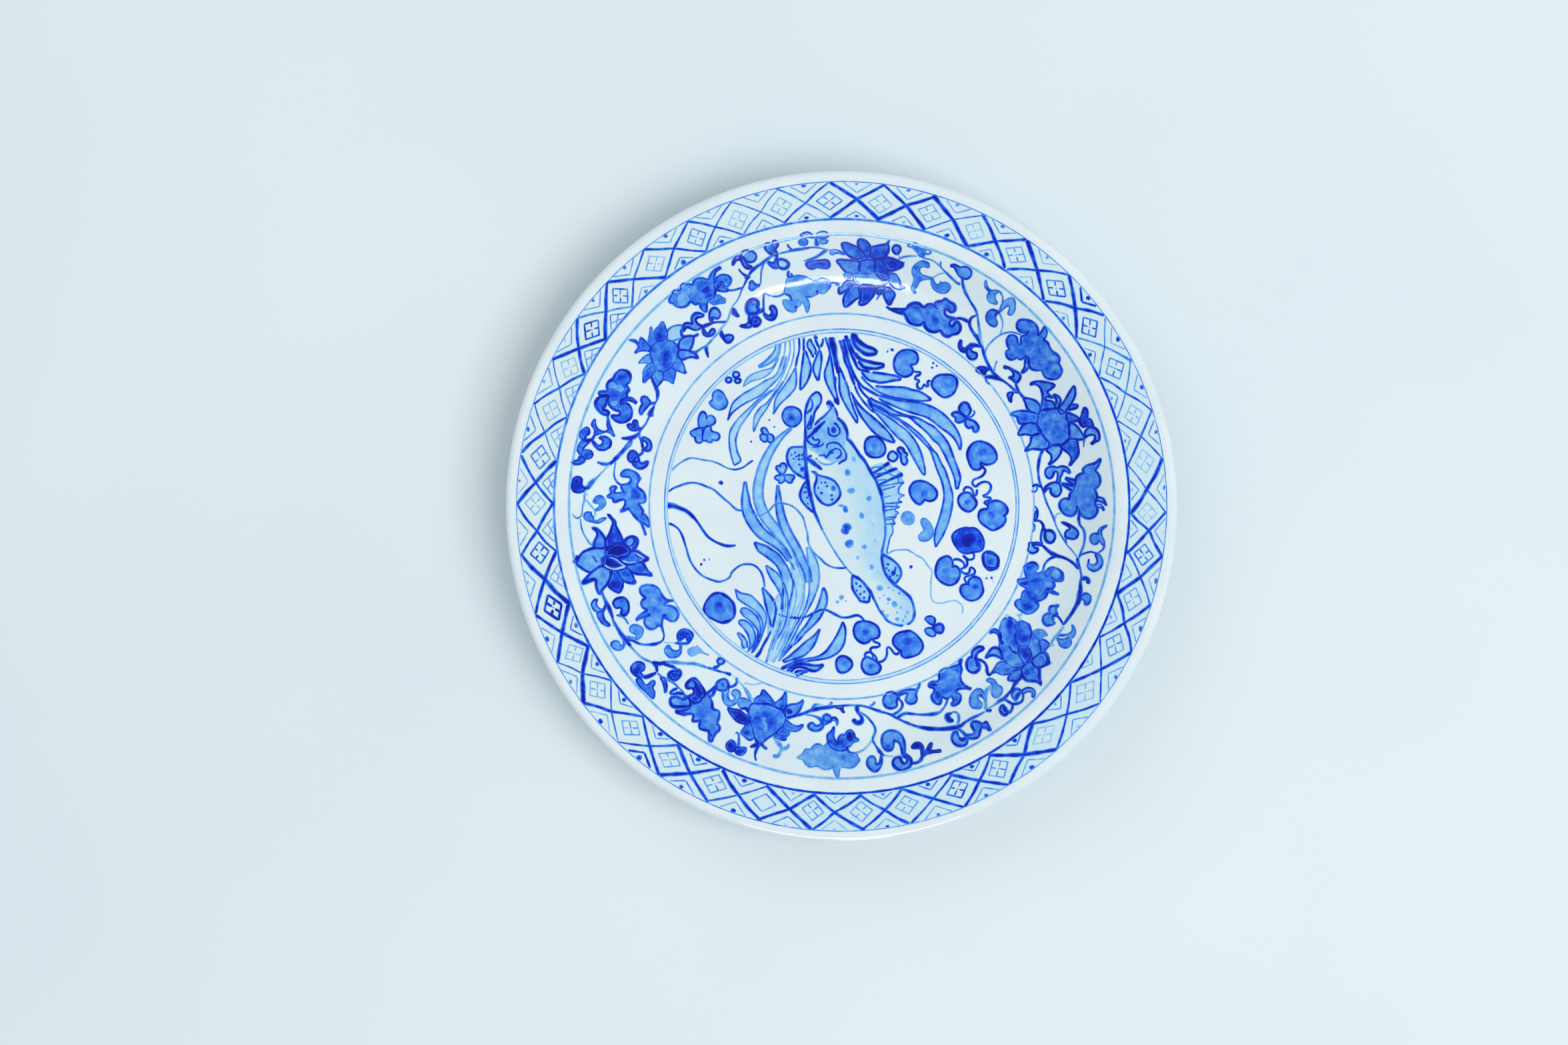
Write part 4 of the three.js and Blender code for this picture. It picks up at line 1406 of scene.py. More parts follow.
def lower_left_fronds(wash, lines):
    frond(
        wash, lines,
        [(-39, -15.9), (-37, -19.8), (-34, -22), (-31, -24.3), (-28.5, -27), (-26.8, -31), (-26, -36),
         (-26.3, -41), (-26.8, -46)],
        [(-39, -15.9), (-34, -17.5), (-31.5, -19), (-28.5, -21), (-26.5, -23.5), (-24, -27.5),
         (-22.5, -31), (-21.5, -34), (-22, -38), (-23, -42), (-24, -46)],
        (0.45, 0.4, 0.5), 0.6, 0.82,
    )
    frond(
        wash, lines,
        [(-33.8, -26.2), (-33, -29), (-31.2, -32.5), (-29.5, -35), (-27.5, -38.5), (-26.5, -42),
         (-26.3, -46), (-27.3, -50), (-28, -54), (-29.8, -58.5)],
        [(-33.8, -26.2), (-31, -28), (-28.5, -30), (-26, -34), (-24.3, -39), (-23.8, -44),
         (-24.6, -50), (-26.3, -55), (-29, -59)],
        (0.42, 0.34, 0.36), 0.55, 0.75,
    )
    frond(
        wash, lines,
        [(-35.3, -36), (-34.8, -39), (-34, -43), (-33, -47), (-32, -51), (-31.5, -53.5)],
        [(-35.3, -36), (-33, -38.5), (-31, -41), (-29.5, -44), (-29.3, -47), (-30, -50.5),
         (-30.8, -54)],
        (0.42, 0.36, 0.42), 0.65, 0.85,
    )
    frond(
        wash, lines,
        [(-47.4, -36.8), (-46, -38), (-44.5, -38.7), (-42, -39.2), (-40, -40), (-37, -43),
         (-34.5, -46.3), (-33.5, -49.5), (-34, -53), (-35.5, -57.5), (-37.5, -61.5), (-39, -64.5)],
        [(-47.4, -36.8), (-46.9, -39), (-46.2, -41), (-44, -42.8), (-40.5, -45), (-37.5, -47.5),
         (-35.5, -51), (-35.1, -54.5), (-36, -58.5), (-37.8, -62.5), (-39.5, -65)],
        (0.34, 0.28, 0.34), 0.5, 0.7,
    )
    frond(
        wash, lines,
        [(-45, -46), (-44, -45.3), (-42, -45.5), (-39.8, -47), (-37.5, -49.5), (-36.3, -52.5),
         (-36.2, -56), (-37.2, -59.5), (-38.5, -62.5), (-40, -65.3)],
        [(-45, -46), (-45, -46.6), (-43.7, -48.7), (-41, -50.8), (-39, -53), (-37.4, -55.5),
         (-37.8, -59.8), (-39, -62.8), (-40.2, -65.4)],
        (0.45, 0.4, 0.5), 0.5, 0.8,
    )
    frond(
        wash, lines,
        [(-46, -51.4), (-45, -50.7), (-43, -50.9), (-41, -52.3), (-39.4, -54.5), (-38.5, -57.5),
         (-38.7, -60), (-40, -62.7), (-42, -64.7)],
        [(-46, -51.4), (-45.5, -52.3), (-43.7, -54.2), (-41.8, -57), (-41, -60), (-40.8, -62),
         (-41.8, -64.5)],
        (0.4, 0.36, 0.42), 0.5, 0.8,
    )
    frond(
        wash, lines,
        [(-46.5, -56.2), (-45, -56.8), (-43.3, -58.5), (-42.2, -60.5), (-41.9, -63)],
        [(-46.5, -56.2), (-45.7, -58), (-44.5, -60), (-44.3, -62), (-43.2, -63.4)],
        (0.4, 0.36, 0.42), 0.5, 0.8,
    )


def lower_right_fronds(wash, lines):
    frond(
        wash, lines,
        [(-8.1, -36), (-9, -39), (-10, -42.5), (-11.2, -45.5), (-13.5, -49), (-16, -53),
         (-19.5, -57.5), (-21.5, -61), (-24, -64), (-27, -67.5)],
        [(-8.1, -36), (-7, -38.3), (-6.5, -41), (-6.9, -44), (-8.3, -47), (-10, -50), (-13, -53.3),
         (-16.5, -56.5), (-19.5, -60), (-23, -63), (-27, -67.5)],
        (0.42, 0.36, 0.42), 0.6, 0.82,
    )
    frond(
        wash, lines,
        [(-9.6, -54.5), (-12, -57.3), (-15.5, -60), (-19, -63), (-23, -66.5), (-26.5, -69)],
        [(-9.6, -54.5), (-10.5, -57), (-12, -61), (-14.5, -64.5), (-18, -67), (-22, -68.3),
         (-26, -69.5)],
        (0.5, 0.45, 0.52), 0.6, 0.84,
    )
    frond(
        wash, lines,
        [(0.5, -51.3), (-0.5, -54), (-2.5, -58), (-5, -62), (-7.5, -65), (-11, -67), (-16, -68),
         (-21, -69.3), (-25, -71), (-27, -72.3)],
        [(0.5, -51.3), (1.5, -54), (1.7, -57), (1, -61), (-0.7, -64), (-3, -66), (-6, -67.4),
         (-9, -68), (-14, -68.7), (-20, -70), (-27, -72.6)],
        (0.45, 0.38, 0.44), 0.6, (0.95, 0.85, 0.85),
    )
    frond(
        wash, lines,
        [(-8, -70.4), (-10, -70.9), (-13, -70.8), (-16, -70.3), (-19, -70.2), (-22, -71.3),
         (-24.3, -73.6)],
        [(-8, -70.4), (-9.5, -72), (-11.5, -73.2), (-14, -73), (-16.5, -71.9), (-19, -71.5),
         (-21, -72), (-22.8, -73.7)],
        (0.5, 0.45, 0.5), 0.8, 0.94,
    )
    frond(
        wash, lines,
        [(-15, -73.6), (-17, -73.3), (-19.5, -73.3), (-21, -74.2)],
        [(-15, -73.6), (-17, -74), (-19, -75.2), (-20.5, -75)],
        (0.5, 0.5), 0.6, 0.92,
    )


def weeds_below():
    """The clump that grows from the foot of the picture and sways up its left side."""
    wash = Painting("lower_weed_washes")
    lines = Painting("lower_weed_lines")
    lower_blades(wash, lines)
    lower_stem(wash, lines)
    lower_left_fronds(wash, lines)
    lower_right_fronds(wash, lines)
    lines.line(
        [(-31.5, -55.5), (-33, -58.5), (-35, -62), (-36.5, -65), (-38.3, -67.3)], (0.6, 0.9), 0.92
    )
    lines.line([(-29.8, -58.5), (-31.8, -63), (-33, -67.5), (-34, -70)], 0.6, 0.75)
    lines.spots([(-26.3, -72, 0.8, 0.8, 0.95)])
    wash.piece()
    lines.piece()


def weeds_above_left(wash, lines):
    """The pale leaves that fall to the left from the top of the picture."""
    blade(
        wash, lines,
        [(-28.5, 72.5), (-28.9, 69), (-30.8, 66.3), (-33.5, 64), (-37.2, 62.2)],
        (1.4, 2.4, 2, 0.4), 0.3, 0.6,
    )
    frond(
        wash, lines,
        [(-29, 66), (-30.8, 62), (-36, 60.4), (-40.5, 58.5), (-42.8, 56), (-43.9, 53.3)],
        [(-28, 66), (-30.8, 61), (-33.5, 58.2), (-37, 56.7), (-40.5, 55.7), (-43.9, 53.3)],
        (0.28, 0.24), 0.4, 0.6,
    )
    frond(
        wash, lines,
        [(-26, 67), (-29, 59), (-34, 56), (-36, 54.7), (-40, 52.3), (-44, 50), (-48, 46.6),
         (-49.5, 43.5), (-50.3, 40), (-50.8, 38.3)],
        [(-24.5, 67), (-27, 59), (-33, 52.4), (-36, 49.6), (-40, 47.5), (-43.5, 45.7), (-46, 44),
         (-49, 41.5), (-50.8, 38.3)],
        (0.3, 0.24, 0.3), 0.5, (0.55, 0.7, 0.9),
    )
    frond(
        wash, lines,
        [(-31, 52), (-36, 48.5), (-41, 44), (-45, 40.2), (-48, 36.5), (-49.8, 33), (-50, 28),
         (-49.3, 23), (-48, 18.5)],
        [(-30.5, 52), (-38, 45.5), (-42.5, 39.5), (-45, 36), (-46.3, 33), (-47.2, 29.5),
         (-46.5, 24.5), (-45, 20.5), (-48, 18.3)],
        (0.3, 0.24, 0.32), 0.5, (0.6, 0.65, 0.9),
    )
    frond(
        wash, lines,
        [(-26, 56), (-33, 46.5), (-36, 44.2), (-38.7, 40.5), (-39.2, 36), (-39.2, 33.2)],
        [(-25.5, 56), (-31, 48), (-33.5, 43.5), (-36.3, 39.5), (-38, 36), (-39.2, 33.2)],
        (0.3, 0.26), 0.45, 0.7,
    )
    frond(
        wash, lines,
        [(-20.5, 62), (-24, 56), (-28, 50.5), (-29.7, 47), (-30.1, 43), (-30.6, 41)],
        [(-20.5, 62), (-20.3, 54), (-22.5, 50.5), (-26, 47), (-28, 45), (-30.6, 41)],
        (0.32, 0.26, 0.32), 0.5, 0.75,
    )
    lines.lines(
        [
            ([(-19, 75.3), (-18.9, 70), (-20, 65), (-20.5, 62)], 0.6, 0.85),
            [(-25, 73.5), (-25.4, 69), (-26.5, 64), (-29, 59)],
            [(-23.2, 74), (-23, 69), (-24.5, 63), (-27.5, 56), (-31, 51)],
            [(-21.3, 74.6), (-21.2, 69), (-22.5, 63), (-25.5, 56)],
            [(-27, 73), (-27.5, 69), (-29, 65)],
        ],
        0.45, 0.5,
    )


def weeds_above_middle(wash, lines):
    """Slim dark leaves that hang around the fish's head."""
    fronds = [
        ([(-16.8, 69), (-17.2, 66), (-17.8, 61.5), (-18.3, 57.5), (-18.5, 51.8)],
         [(-16.2, 69.5), (-14.8, 66), (-13.8, 62.5), (-14, 59.5), (-15.2, 56), (-17, 53.3),
          (-18.5, 51.8)]),
        ([(-13.9, 74.8), (-15.2, 73), (-15.1, 71), (-13.8, 68.8), (-12.5, 66.3)],
         [(-13.9, 74.8), (-13.4, 73.2), (-12, 70.8), (-11.5, 69.3), (-11.8, 67.6)]),
        ([(-9.7, 70), (-11.3, 66.5), (-12.4, 63.5), (-12.7, 61.3), (-12, 58.8), (-10.8, 56.5),
          (-10.3, 56)],
         [(-9.4, 69.5), (-9, 66.5), (-9.2, 63), (-9.8, 59.5), (-10.3, 56)]),
        ([(-5.2, 68.5), (-5.6, 66), (-6.5, 63), (-7.5, 60), (-7.3, 57), (-6.5, 54.5), (-5, 51.5),
          (-3.8, 49.3), (-2.8, 47.8)],
         [(-5, 67.5), (-4.4, 64), (-3.7, 59.5), (-3.2, 56), (-2.7, 52.5), (-2, 49), (-1.3, 46)]),
        ([(-1.3, 59.5), (-1, 56), (-1, 53), (-0.5, 50), (0.8, 47), (2.5, 44), (4.5, 40.7),
          (6.9, 37)],
         [(-1.5, 63), (-0.3, 60.5), (1, 57.5), (2, 55), (2.8, 53), (3.5, 49), (4.7, 45.5),
          (5.9, 42), (7, 39.5), (6.9, 37)]),
    ]
    for left, right in fronds:
        frond(wash, lines, left, right, (0.38, 0.3, 0.36), 0.6, 0.88)
    lines.lines(
        [
            [(-16.8, 75.3), (-16.9, 72), (-16.8, 69)],
            [(-11.8, 74.5), (-10.8, 72.3), (-9.7, 70)],
            [(-8.3, 75), (-8.5, 73), (-9.3, 71)],
            [(-7.3, 75.5), (-6.5, 73), (-5.7, 70.5), (-5, 67.5)],
            ([(-3.2, 58), (-3, 54.5)], 1.1, 0.95),
            ([(-3.2, 48.5), (-1.2, 45.2)], (0.8, 1.2, 0.5), 0.95),
            ([(-4.6, 75.5), (-4.4, 73.5), (-3.6, 70.5), (-3.1, 67.5), (-2.5, 64.5), (-1.8, 61.5),
              (-1.3, 59)], (2, 1.5, 1), 0.97),
            ([(-0.9, 74.2), (0, 71), (1, 68), (1.5, 65), (3, 61.5), (4.5, 57.5), (5.8, 54)], 0.8),
            ([(0.9, 74.6), (1.2, 72), (1.8, 69), (2.7, 65.8), (4, 62), (5.5, 58.5), (7.3, 55.7),
              (9.5, 53.3), (12, 51.8), (14, 50.6), (16.6, 49.2)], (1.4, 0.8, 0.8), 0.92),
            ([(7.2, 55.2), (7.9, 53.2), (9.6, 50.5), (12.3, 47.9)], 0.65, 0.92),
            ([(12, 48.2), (12.6, 46.4), (13.6, 43.8)], (0.9, 1.5, 0.8), 0.96),
            ([(1.9, 76.3), (2.3, 74), (3.2, 71), (4.3, 68), (5.8, 64.7), (7, 62), (8.6, 60.8),
              (10.5, 60.4), (12.5, 60)], (1, 0.7), 0.92),
            ([(3, 74.8), (3.7, 72), (5, 69.3), (6, 67.5)], 0.9, 0.92),
            ([(5.8, 54), (6.7, 51.5), (8.2, 48.8), (10.5, 45.8), (13, 43), (14.5, 42)], 0.6, 0.85),
            [(8.8, 58), (10.5, 55.8), (12.5, 54), (14.5, 52.2)],
        ],
        0.65, 0.88,
    )
    lines.spots([(-11.6, 75.3, 1.1, 1.1, 0.95), (2, 55, 0.8, 0.8, 0.95)])


def weeds_above_right(wash, lines):
    """The long leaves that sweep out over the fish's back."""
    fronds = [
        ([(5.4, 77.2), (5.2, 75), (5.5, 72.8), (6.8, 70.8), (9, 69), (11, 67.9), (13.5, 67.7),
          (15.8, 68.3)],
         [(5.9, 76.8), (6.7, 74.5), (8.5, 72.8), (11, 71.3), (13.8, 70.4), (15.3, 69.3),
          (15.8, 68.3)], 0.4, (1.3, 0.9), 0.97),
        ([(6, 68.5), (7, 66.8), (9, 65.4), (12, 64.6), (15, 63.8), (18, 63.5), (19.2, 62.9)],
         [(7.5, 65), (9, 62.8), (10.5, 61.8), (13, 61.5), (16, 61.6), (19.2, 62.7)],
         0.32, (1.1, 0.8), 0.95),
        ([(13.7, 59.8), (17, 59.3), (20, 58.9), (23, 58.4), (25.2, 57.8), (26.6, 56.6)],
         [(8.9, 60), (10.5, 57.8), (12.5, 56.2), (15, 55.7), (17, 55.2), (20, 55.5), (23, 56.2),
          (26.6, 56.5)], 0.4, 0.7, 0.9),
        ([(15, 53.7), (18, 53.3), (21, 53.2), (24, 53.2), (28, 52.9), (31, 52), (34, 51.4),
          (36.5, 50.2), (38.5, 48.8), (40, 47.5)],
         [(14.5, 52.2), (17, 50.8), (20, 49.4), (23, 48.6), (26, 48), (28, 47.7), (31, 47.3),
          (35, 47), (38, 47.2), (40, 47.6)], 0.42, 0.65, 0.88),
        ([(16.5, 49.5), (20, 48.6), (25, 47.3), (28, 46.9), (33, 46.5), (38, 45.2), (42, 43.5),
          (45.5, 41), (48.5, 38), (51, 34.5), (52.7, 31), (53.2, 27.5), (52.8, 25)],
         [(16.5, 48.5), (18, 47.2), (22, 45.4), (26, 43.7), (30, 42.2), (34, 41), (38, 39.7),
          (41, 37.8), (44, 35.2), (47, 33.2), (49.5, 31), (51.3, 28.5), (52.8, 25)],
         0.42, 0.6, 0.85),
        ([(12.5, 48.5), (15, 47), (19, 45.5), (23, 43), (26, 41.6), (30, 40.3), (34, 39.3),
          (38, 37.2), (41, 35.5), (43, 33.5), (45.5, 31), (47.5, 28), (48.7, 25), (50, 21.5),
          (51.5, 17.5), (52.8, 13), (52.3, 10), (51.6, 7.6)],
         [(13.5, 45.5), (18, 42.7), (23, 41), (30, 39.8), (33, 37.3), (36, 34.8), (39, 32),
          (41, 29.5), (43, 28), (44.5, 25.5), (46.2, 22.5), (48, 18.5), (49.5, 15), (50.5, 12),
          (50.9, 8.5), (51.6, 7.6)], 0.42, 0.6, 0.85),
        ([(13.8, 45.6), (17.5, 44), (21.1, 41.7), (23.6, 40.3), (26, 38.7), (29, 36.8), (32, 34.5),
          (35, 32), (38.5, 28), (40.5, 25.2), (42.3, 23.5),
          (43.5, 21), (44.5, 18.8), (46, 16.5), (47.2, 13), (48.3, 9.5), (49.2, 6), (49.4, 3),
          (48.8, -2), (47.5, -7), (45.5, -12), (43.3, -15.8), (41.8, -18.2)],
         [(13.8, 45.1), (17.5, 43.3), (21.1, 41), (23.6, 39.6), (27, 37.3), (34, 31), (36.9, 28),
          (39.5, 25), (41, 21), (42.5, 16.5), (44.5, 11.5), (45.5, 7), (45.5, 3), (44.5, -2),
          (43, -7), (41.8, -10.5), (41.4, -14), (41.8, -18.2)],
         0.4, 0.55, 0.82),
        ([(13.4, 43.6), (15.8, 41.1), (18.2, 38.4), (20.5, 35.6), (24.4, 31.4), (28.2, 28),
          (31.5, 22.5), (34, 18), (35.8, 15), (37.1, 14)],
         [(13.6, 43.9), (17.1, 42), (22, 39.1), (25.5, 36.5), (28.5, 34.2), (31.5, 31), (33.5, 28),
          (35.3, 24), (36.3, 20.5), (37, 17), (37.1, 14)], 0.38, 0.55, 0.82),
        ([(4, 51), (5.5, 48.5), (7.5, 45.5), (10, 43), (13, 40.5), (17, 37), (20, 34), (22.3, 31),
          (23.7, 28.4)],
         [(5, 49), (6.5, 44.5), (8.5, 40.5), (11, 37), (13.5, 34), (16, 31.7), (18.5, 30.2),
          (21.5, 29), (23.7, 28.4)], 0.4, 0.65, 0.9),
    ]
    for left, right, fill, width, tone in fronds:
        frond(wash, lines, left, right, (fill + 0.05, fill - 0.04, fill), width, tone)
    lines.spots([(37.1, 14.4, 0.5, 0.8, 0.92)])


def weeds_above():
    wash = Painting("upper_weed_washes")
    lines = Painting("upper_weed_lines")
    weeds_above_left(wash, lines)
    weeds_above_middle(wash, lines)
    weeds_above_right(wash, lines)
    wash.piece()
    lines.piece()


def medallion():
    rings = Painting("medallion_ring")
    wheel_fill(rings, *DOUBLE_RING_HAZE, (0.1,))
    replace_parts(rings.piece(), "cobalt_medallion")
    weeds_below()
    weeds_above()
    duckweed()
    clovers()
    tendrils()
    fish()


# ---------------------------------------------------------------- the lotus scroll

def spread_apart(tone):
    """Petals' tones a little further from each other, the darkest moved the most."""
    return tone * 1.16 - 0.05


def pools(wash, marks, paling=0.1, across=1, up=1):
    """Pools of cobalt, given as x, y, size and tone, that are paler at their edges."""
    for x, y, size, tone in marks:
        wash.dab(x, y, size * across, size * up, tone, tone - paling)


def long_pools(wash, marks, paling=0.1):
    """Pools given as x, y, size across, size up and tone."""
    for x, y, across, up, tone in marks:
        wash.dab(x, y, across, up, tone, tone - paling)


def petals(wash, lines, shapes, line=(0.74, 0.97)):
    """Filled and outlined shapes, each with its tone and, if it is unusual, its line."""
    for outline, tone, *own in shapes:
        width, dark = own[0] if own else line
        full = spread_apart(tone)
        wash.blot(outline, full + 0.03, full)
        lines.line(outline, width, dark, True, full * 0.75)


def scroll_east(wash, lines):
    """From the lotus at 22 degrees down past the leaf at 3 degrees."""
    petals(wash, lines, [
        ([(115.3, 21.2), (113.5, 19.6), (112, 18.9), (110, 18.5), (108.5, 17.6), (107.6, 16.3),
          (107.7, 15), (106, 14.3), (104.8, 13.3), (104.3, 11.6), (103.8, 9.2), (103.2, 7), (102, 6),
          (101.6, 4.6), (101.3, 3.2), (100, 3.5), (98.5, 3.1), (97.3, 1.8), (97.2, 0), (98, -1.8),
          (99.2, -3.3), (100.8, -4), (102.5, -4), (104, -3.2), (104.6, -1.5), (104.8, 0.6),
          (104.8, 0.6), (105.3, -0.8), (106, -2), (106.8, -3.5), (107.8, -4.6), (109.5, -5.2),
          (111.5, -5), (113, -4), (113.9, -2.2), (113.8, -0.6), (113, 0.5), (113, 2.5), (113.8, 4),
          (113.5, 5.5), (113, 7), (112.5, 7.6), (113.6, 8.3), (114.6, 9.5), (115.1, 11),
          (114.9, 13), (114, 14.8), (113.2, 15.6), (113, 16.3), (113.7, 17.3), (114.6, 19)],
         0.54, (0.8, 0.9)),
        ([(90, 6), (90.5, 8), (91.7, 9.4), (93.5, 10.4), (95.5, 10.7), (97, 10), (97.7, 8),
          (97.5, 6.2), (96.5, 4.8), (95.2, 4.5), (93.8, 5.4), (93, 7), (93.4, 8), (91.7, 8)], 0.46),
        ([(95.7, 10.5), (96.2, 12.5), (96.3, 14.5), (95.8, 15.7), (94.6, 15.2), (94.2, 14),
          (93.5, 13), (92.4, 12.6), (91.3, 13.3), (90.7, 15), (91.2, 16.7), (92.7, 17.6),
          (94.5, 17.7), (96, 17.3), (98, 17.9), (100, 17.5), (101.2, 16.3), (101.7, 14.8),
          (100, 15.8), (98.6, 15.9), (98.2, 14.5), (97.3, 12.7), (97.2, 11)], 0.46, (0.7, 0.93)),
        ([(91.2, -10.8), (93.3, -10.9), (94.7, -12.3), (94.9, -14), (94, -15.7), (92.6, -16.1),
          (91.2, -15.3), (90.5, -13.5), (90.6, -11.8)], 0.4, (0.9, 0.97)),
        ([(89.4, -17.2), (87.5, -16.2), (85.5, -16.3), (83.7, -16.2), (83.6, -17.8),
          (83.2, -19.6), (84.6, -20.7), (86.2, -20.5), (87.4, -19.4), (87.3, -18.6),
          (86.3, -18.6), (85.5, -17.8), (85, -16.9)], 0.46),
        ([(98, -7), (100.3, -7.6), (102.5, -8.9), (104.3, -10.2), (105.3, -11.8), (104.8, -13.6),
          (103.3, -14.4), (101, -14), (99.8, -13.5), (99.7, -11.9), (100.5, -10.7),
          (101.8, -10.1), (101.2, -8.8), (99.5, -7.7)], 0.52),
        ([(118.2, -8.4), (116.5, -9), (115.2, -9.8), (114.2, -11.5), (114.2, -12.6), (113, -12),
          (111.5, -12.5), (110.7, -14), (111.2, -15.7), (112.5, -16.8), (114, -16.3),
          (114.7, -15), (115.9, -16.5), (116.9, -17.5), (116.9, -15.5), (115.9, -13.2),
          (115.6, -11), (116.4, -9.8)], 0.5, (0.6, 0.82)),
        ([(113.3, -20.8), (115.2, -22), (116.1, -24), (115.8, -26.3), (114.3, -28),
          (112.3, -28.7), (110.3, -27.8), (109.6, -26.5), (110, -25.5), (111, -26),
          (112.3, -26.2), (113.7, -25.3), (114, -23.7), (113.3, -22)], 0.46, (0.65, 0.82)),
    ])
    wash.dab(103.5, 3.5, 2.2, 1.8, 0.68, 0.56)
    wash.dab(107, -1, 2.4, 1.6, 0.68, 0.56)
    wash.dab(109.5, 12, 2.6, 2.4, 0.6, 0.54)
    lines.lines(
        [
            ([(104, 11.6), (101.8, 12.2), (99.7, 12.7), (101.5, 11), (103.8, 9.1)], 0.9, 0.95),
            ([(103.8, 9), (100.8, 9.8), (98, 10.3), (100.5, 8.4), (103.1, 6.8)], 0.9, 0.95),
            ([(113.3, 4.3), (115, 4), (116.6, 3.4), (117.3, 1.8), (117.9, 0.2)], (0.7, 0.9), 0.94),
            ([(112.9, 2.2), (114, 2.5), (115.5, 2.3), (116.9, 1.4)], 0.8, 0.93),
            [(113, 0.7), (115, 1), (116.3, 0), (117, -2)],
            [(113.5, 0), (115, -0.3), (116.2, -1), (116.9, -2.1)],
            ([(104.9, 0.6), (105.9, -3), (105.6, -5.5), (106.2, -8.3), (107.6, -10), (108.3, -13),
              (107.9, -17), (106.8, -20), (105.5, -23.2)], (0.9, 0.6), (0.9, 0.75)),
            ([(89.6, 25.2), (88.6, 23), (88, 20.5), (87.5, 17), (87.8, 13), (88.5, 10), (89.7, 7),
              (90.5, 4), (91.7, 0.8), (93, -2), (94.5, -5.5), (95.5, -8.5), (97, -11.5),
              (98.5, -14), (100.3, -17), (103, -20), (105, -22.8)],
             (1, 0.7, 0.6, 0.6, 0.5, 0.45), (0.92, 0.85, 0.75, 0.7, 0.6)),
            ([(95.2, -6), (95.3, -4.2), (96.2, -3.2), (98.3, -3.2)], 0.4, 0.45),
            [(99.8, -13.5), (99.9, -15.5), (100.3, -17)],
            [(115.9, -16.8), (117, -17.5), (116.2, -19.3), (114.2, -20.7)],
            [(105.8, -23), (106.6, -21.7), (108.5, -20.8), (111, -20.2), (113.3, -20.8)],
            [(110.2, -23.3), (109.8, -25.8)],
            ([(89, 8.6), (87, 9.6), (85.5, 9.3), (84.7, 9.1)], 0.8, 0.93),
            [(87, 9.2), (87, 7.6), (86.3, 6.7), (85.2, 6.5), (84.7, 7.2)],
            ([(85.7, 0.3), (87.1, -1.2), (87.3, -3.3), (87, -5), (86.3, -5.8), (85.6, -6.8)],
             0.6, 0.93),
            ([(86.9, -1.5), (86.1, -4), (85.5, -6.2)], 0.6, 0.93),
            ([(85.5, -6.2), (88.3, -6.5), (89.6, -8), (89.9, -9.5), (89.3, -11), (88.8, -13),
              (88.8, -15), (89.4, -17)], 0.75, 0.95),
            [(85.5, -7.5), (85.9, -9.3), (85.7, -10.5), (84.7, -11.3)],
            ([(89.6, -10), (91, -10.8)], 1, 0.97),
            ([(89.4, -17.2), (91, -18.8), (93.5, -20.8), (96, -22), (98, -22.5), (100.5, -23.5),
              (102.7, -24.9), (104.3, -26.3), (105.6, -28)], (0.8, 1.1, 0.8, 0.8), 0.96),
            ([(96, -22.2), (93.5, -22.9), (91.5, -24.3), (90.2, -26.3), (89.8, -28.6)], 0.7, 0.8),
            ([(105, -22.8), (105.4, -25.5), (106.3, -28.2), (107, -32)], (0.9, 0.6), (0.95, 0.6)),
        ],
        0.55, 0.85,
    )


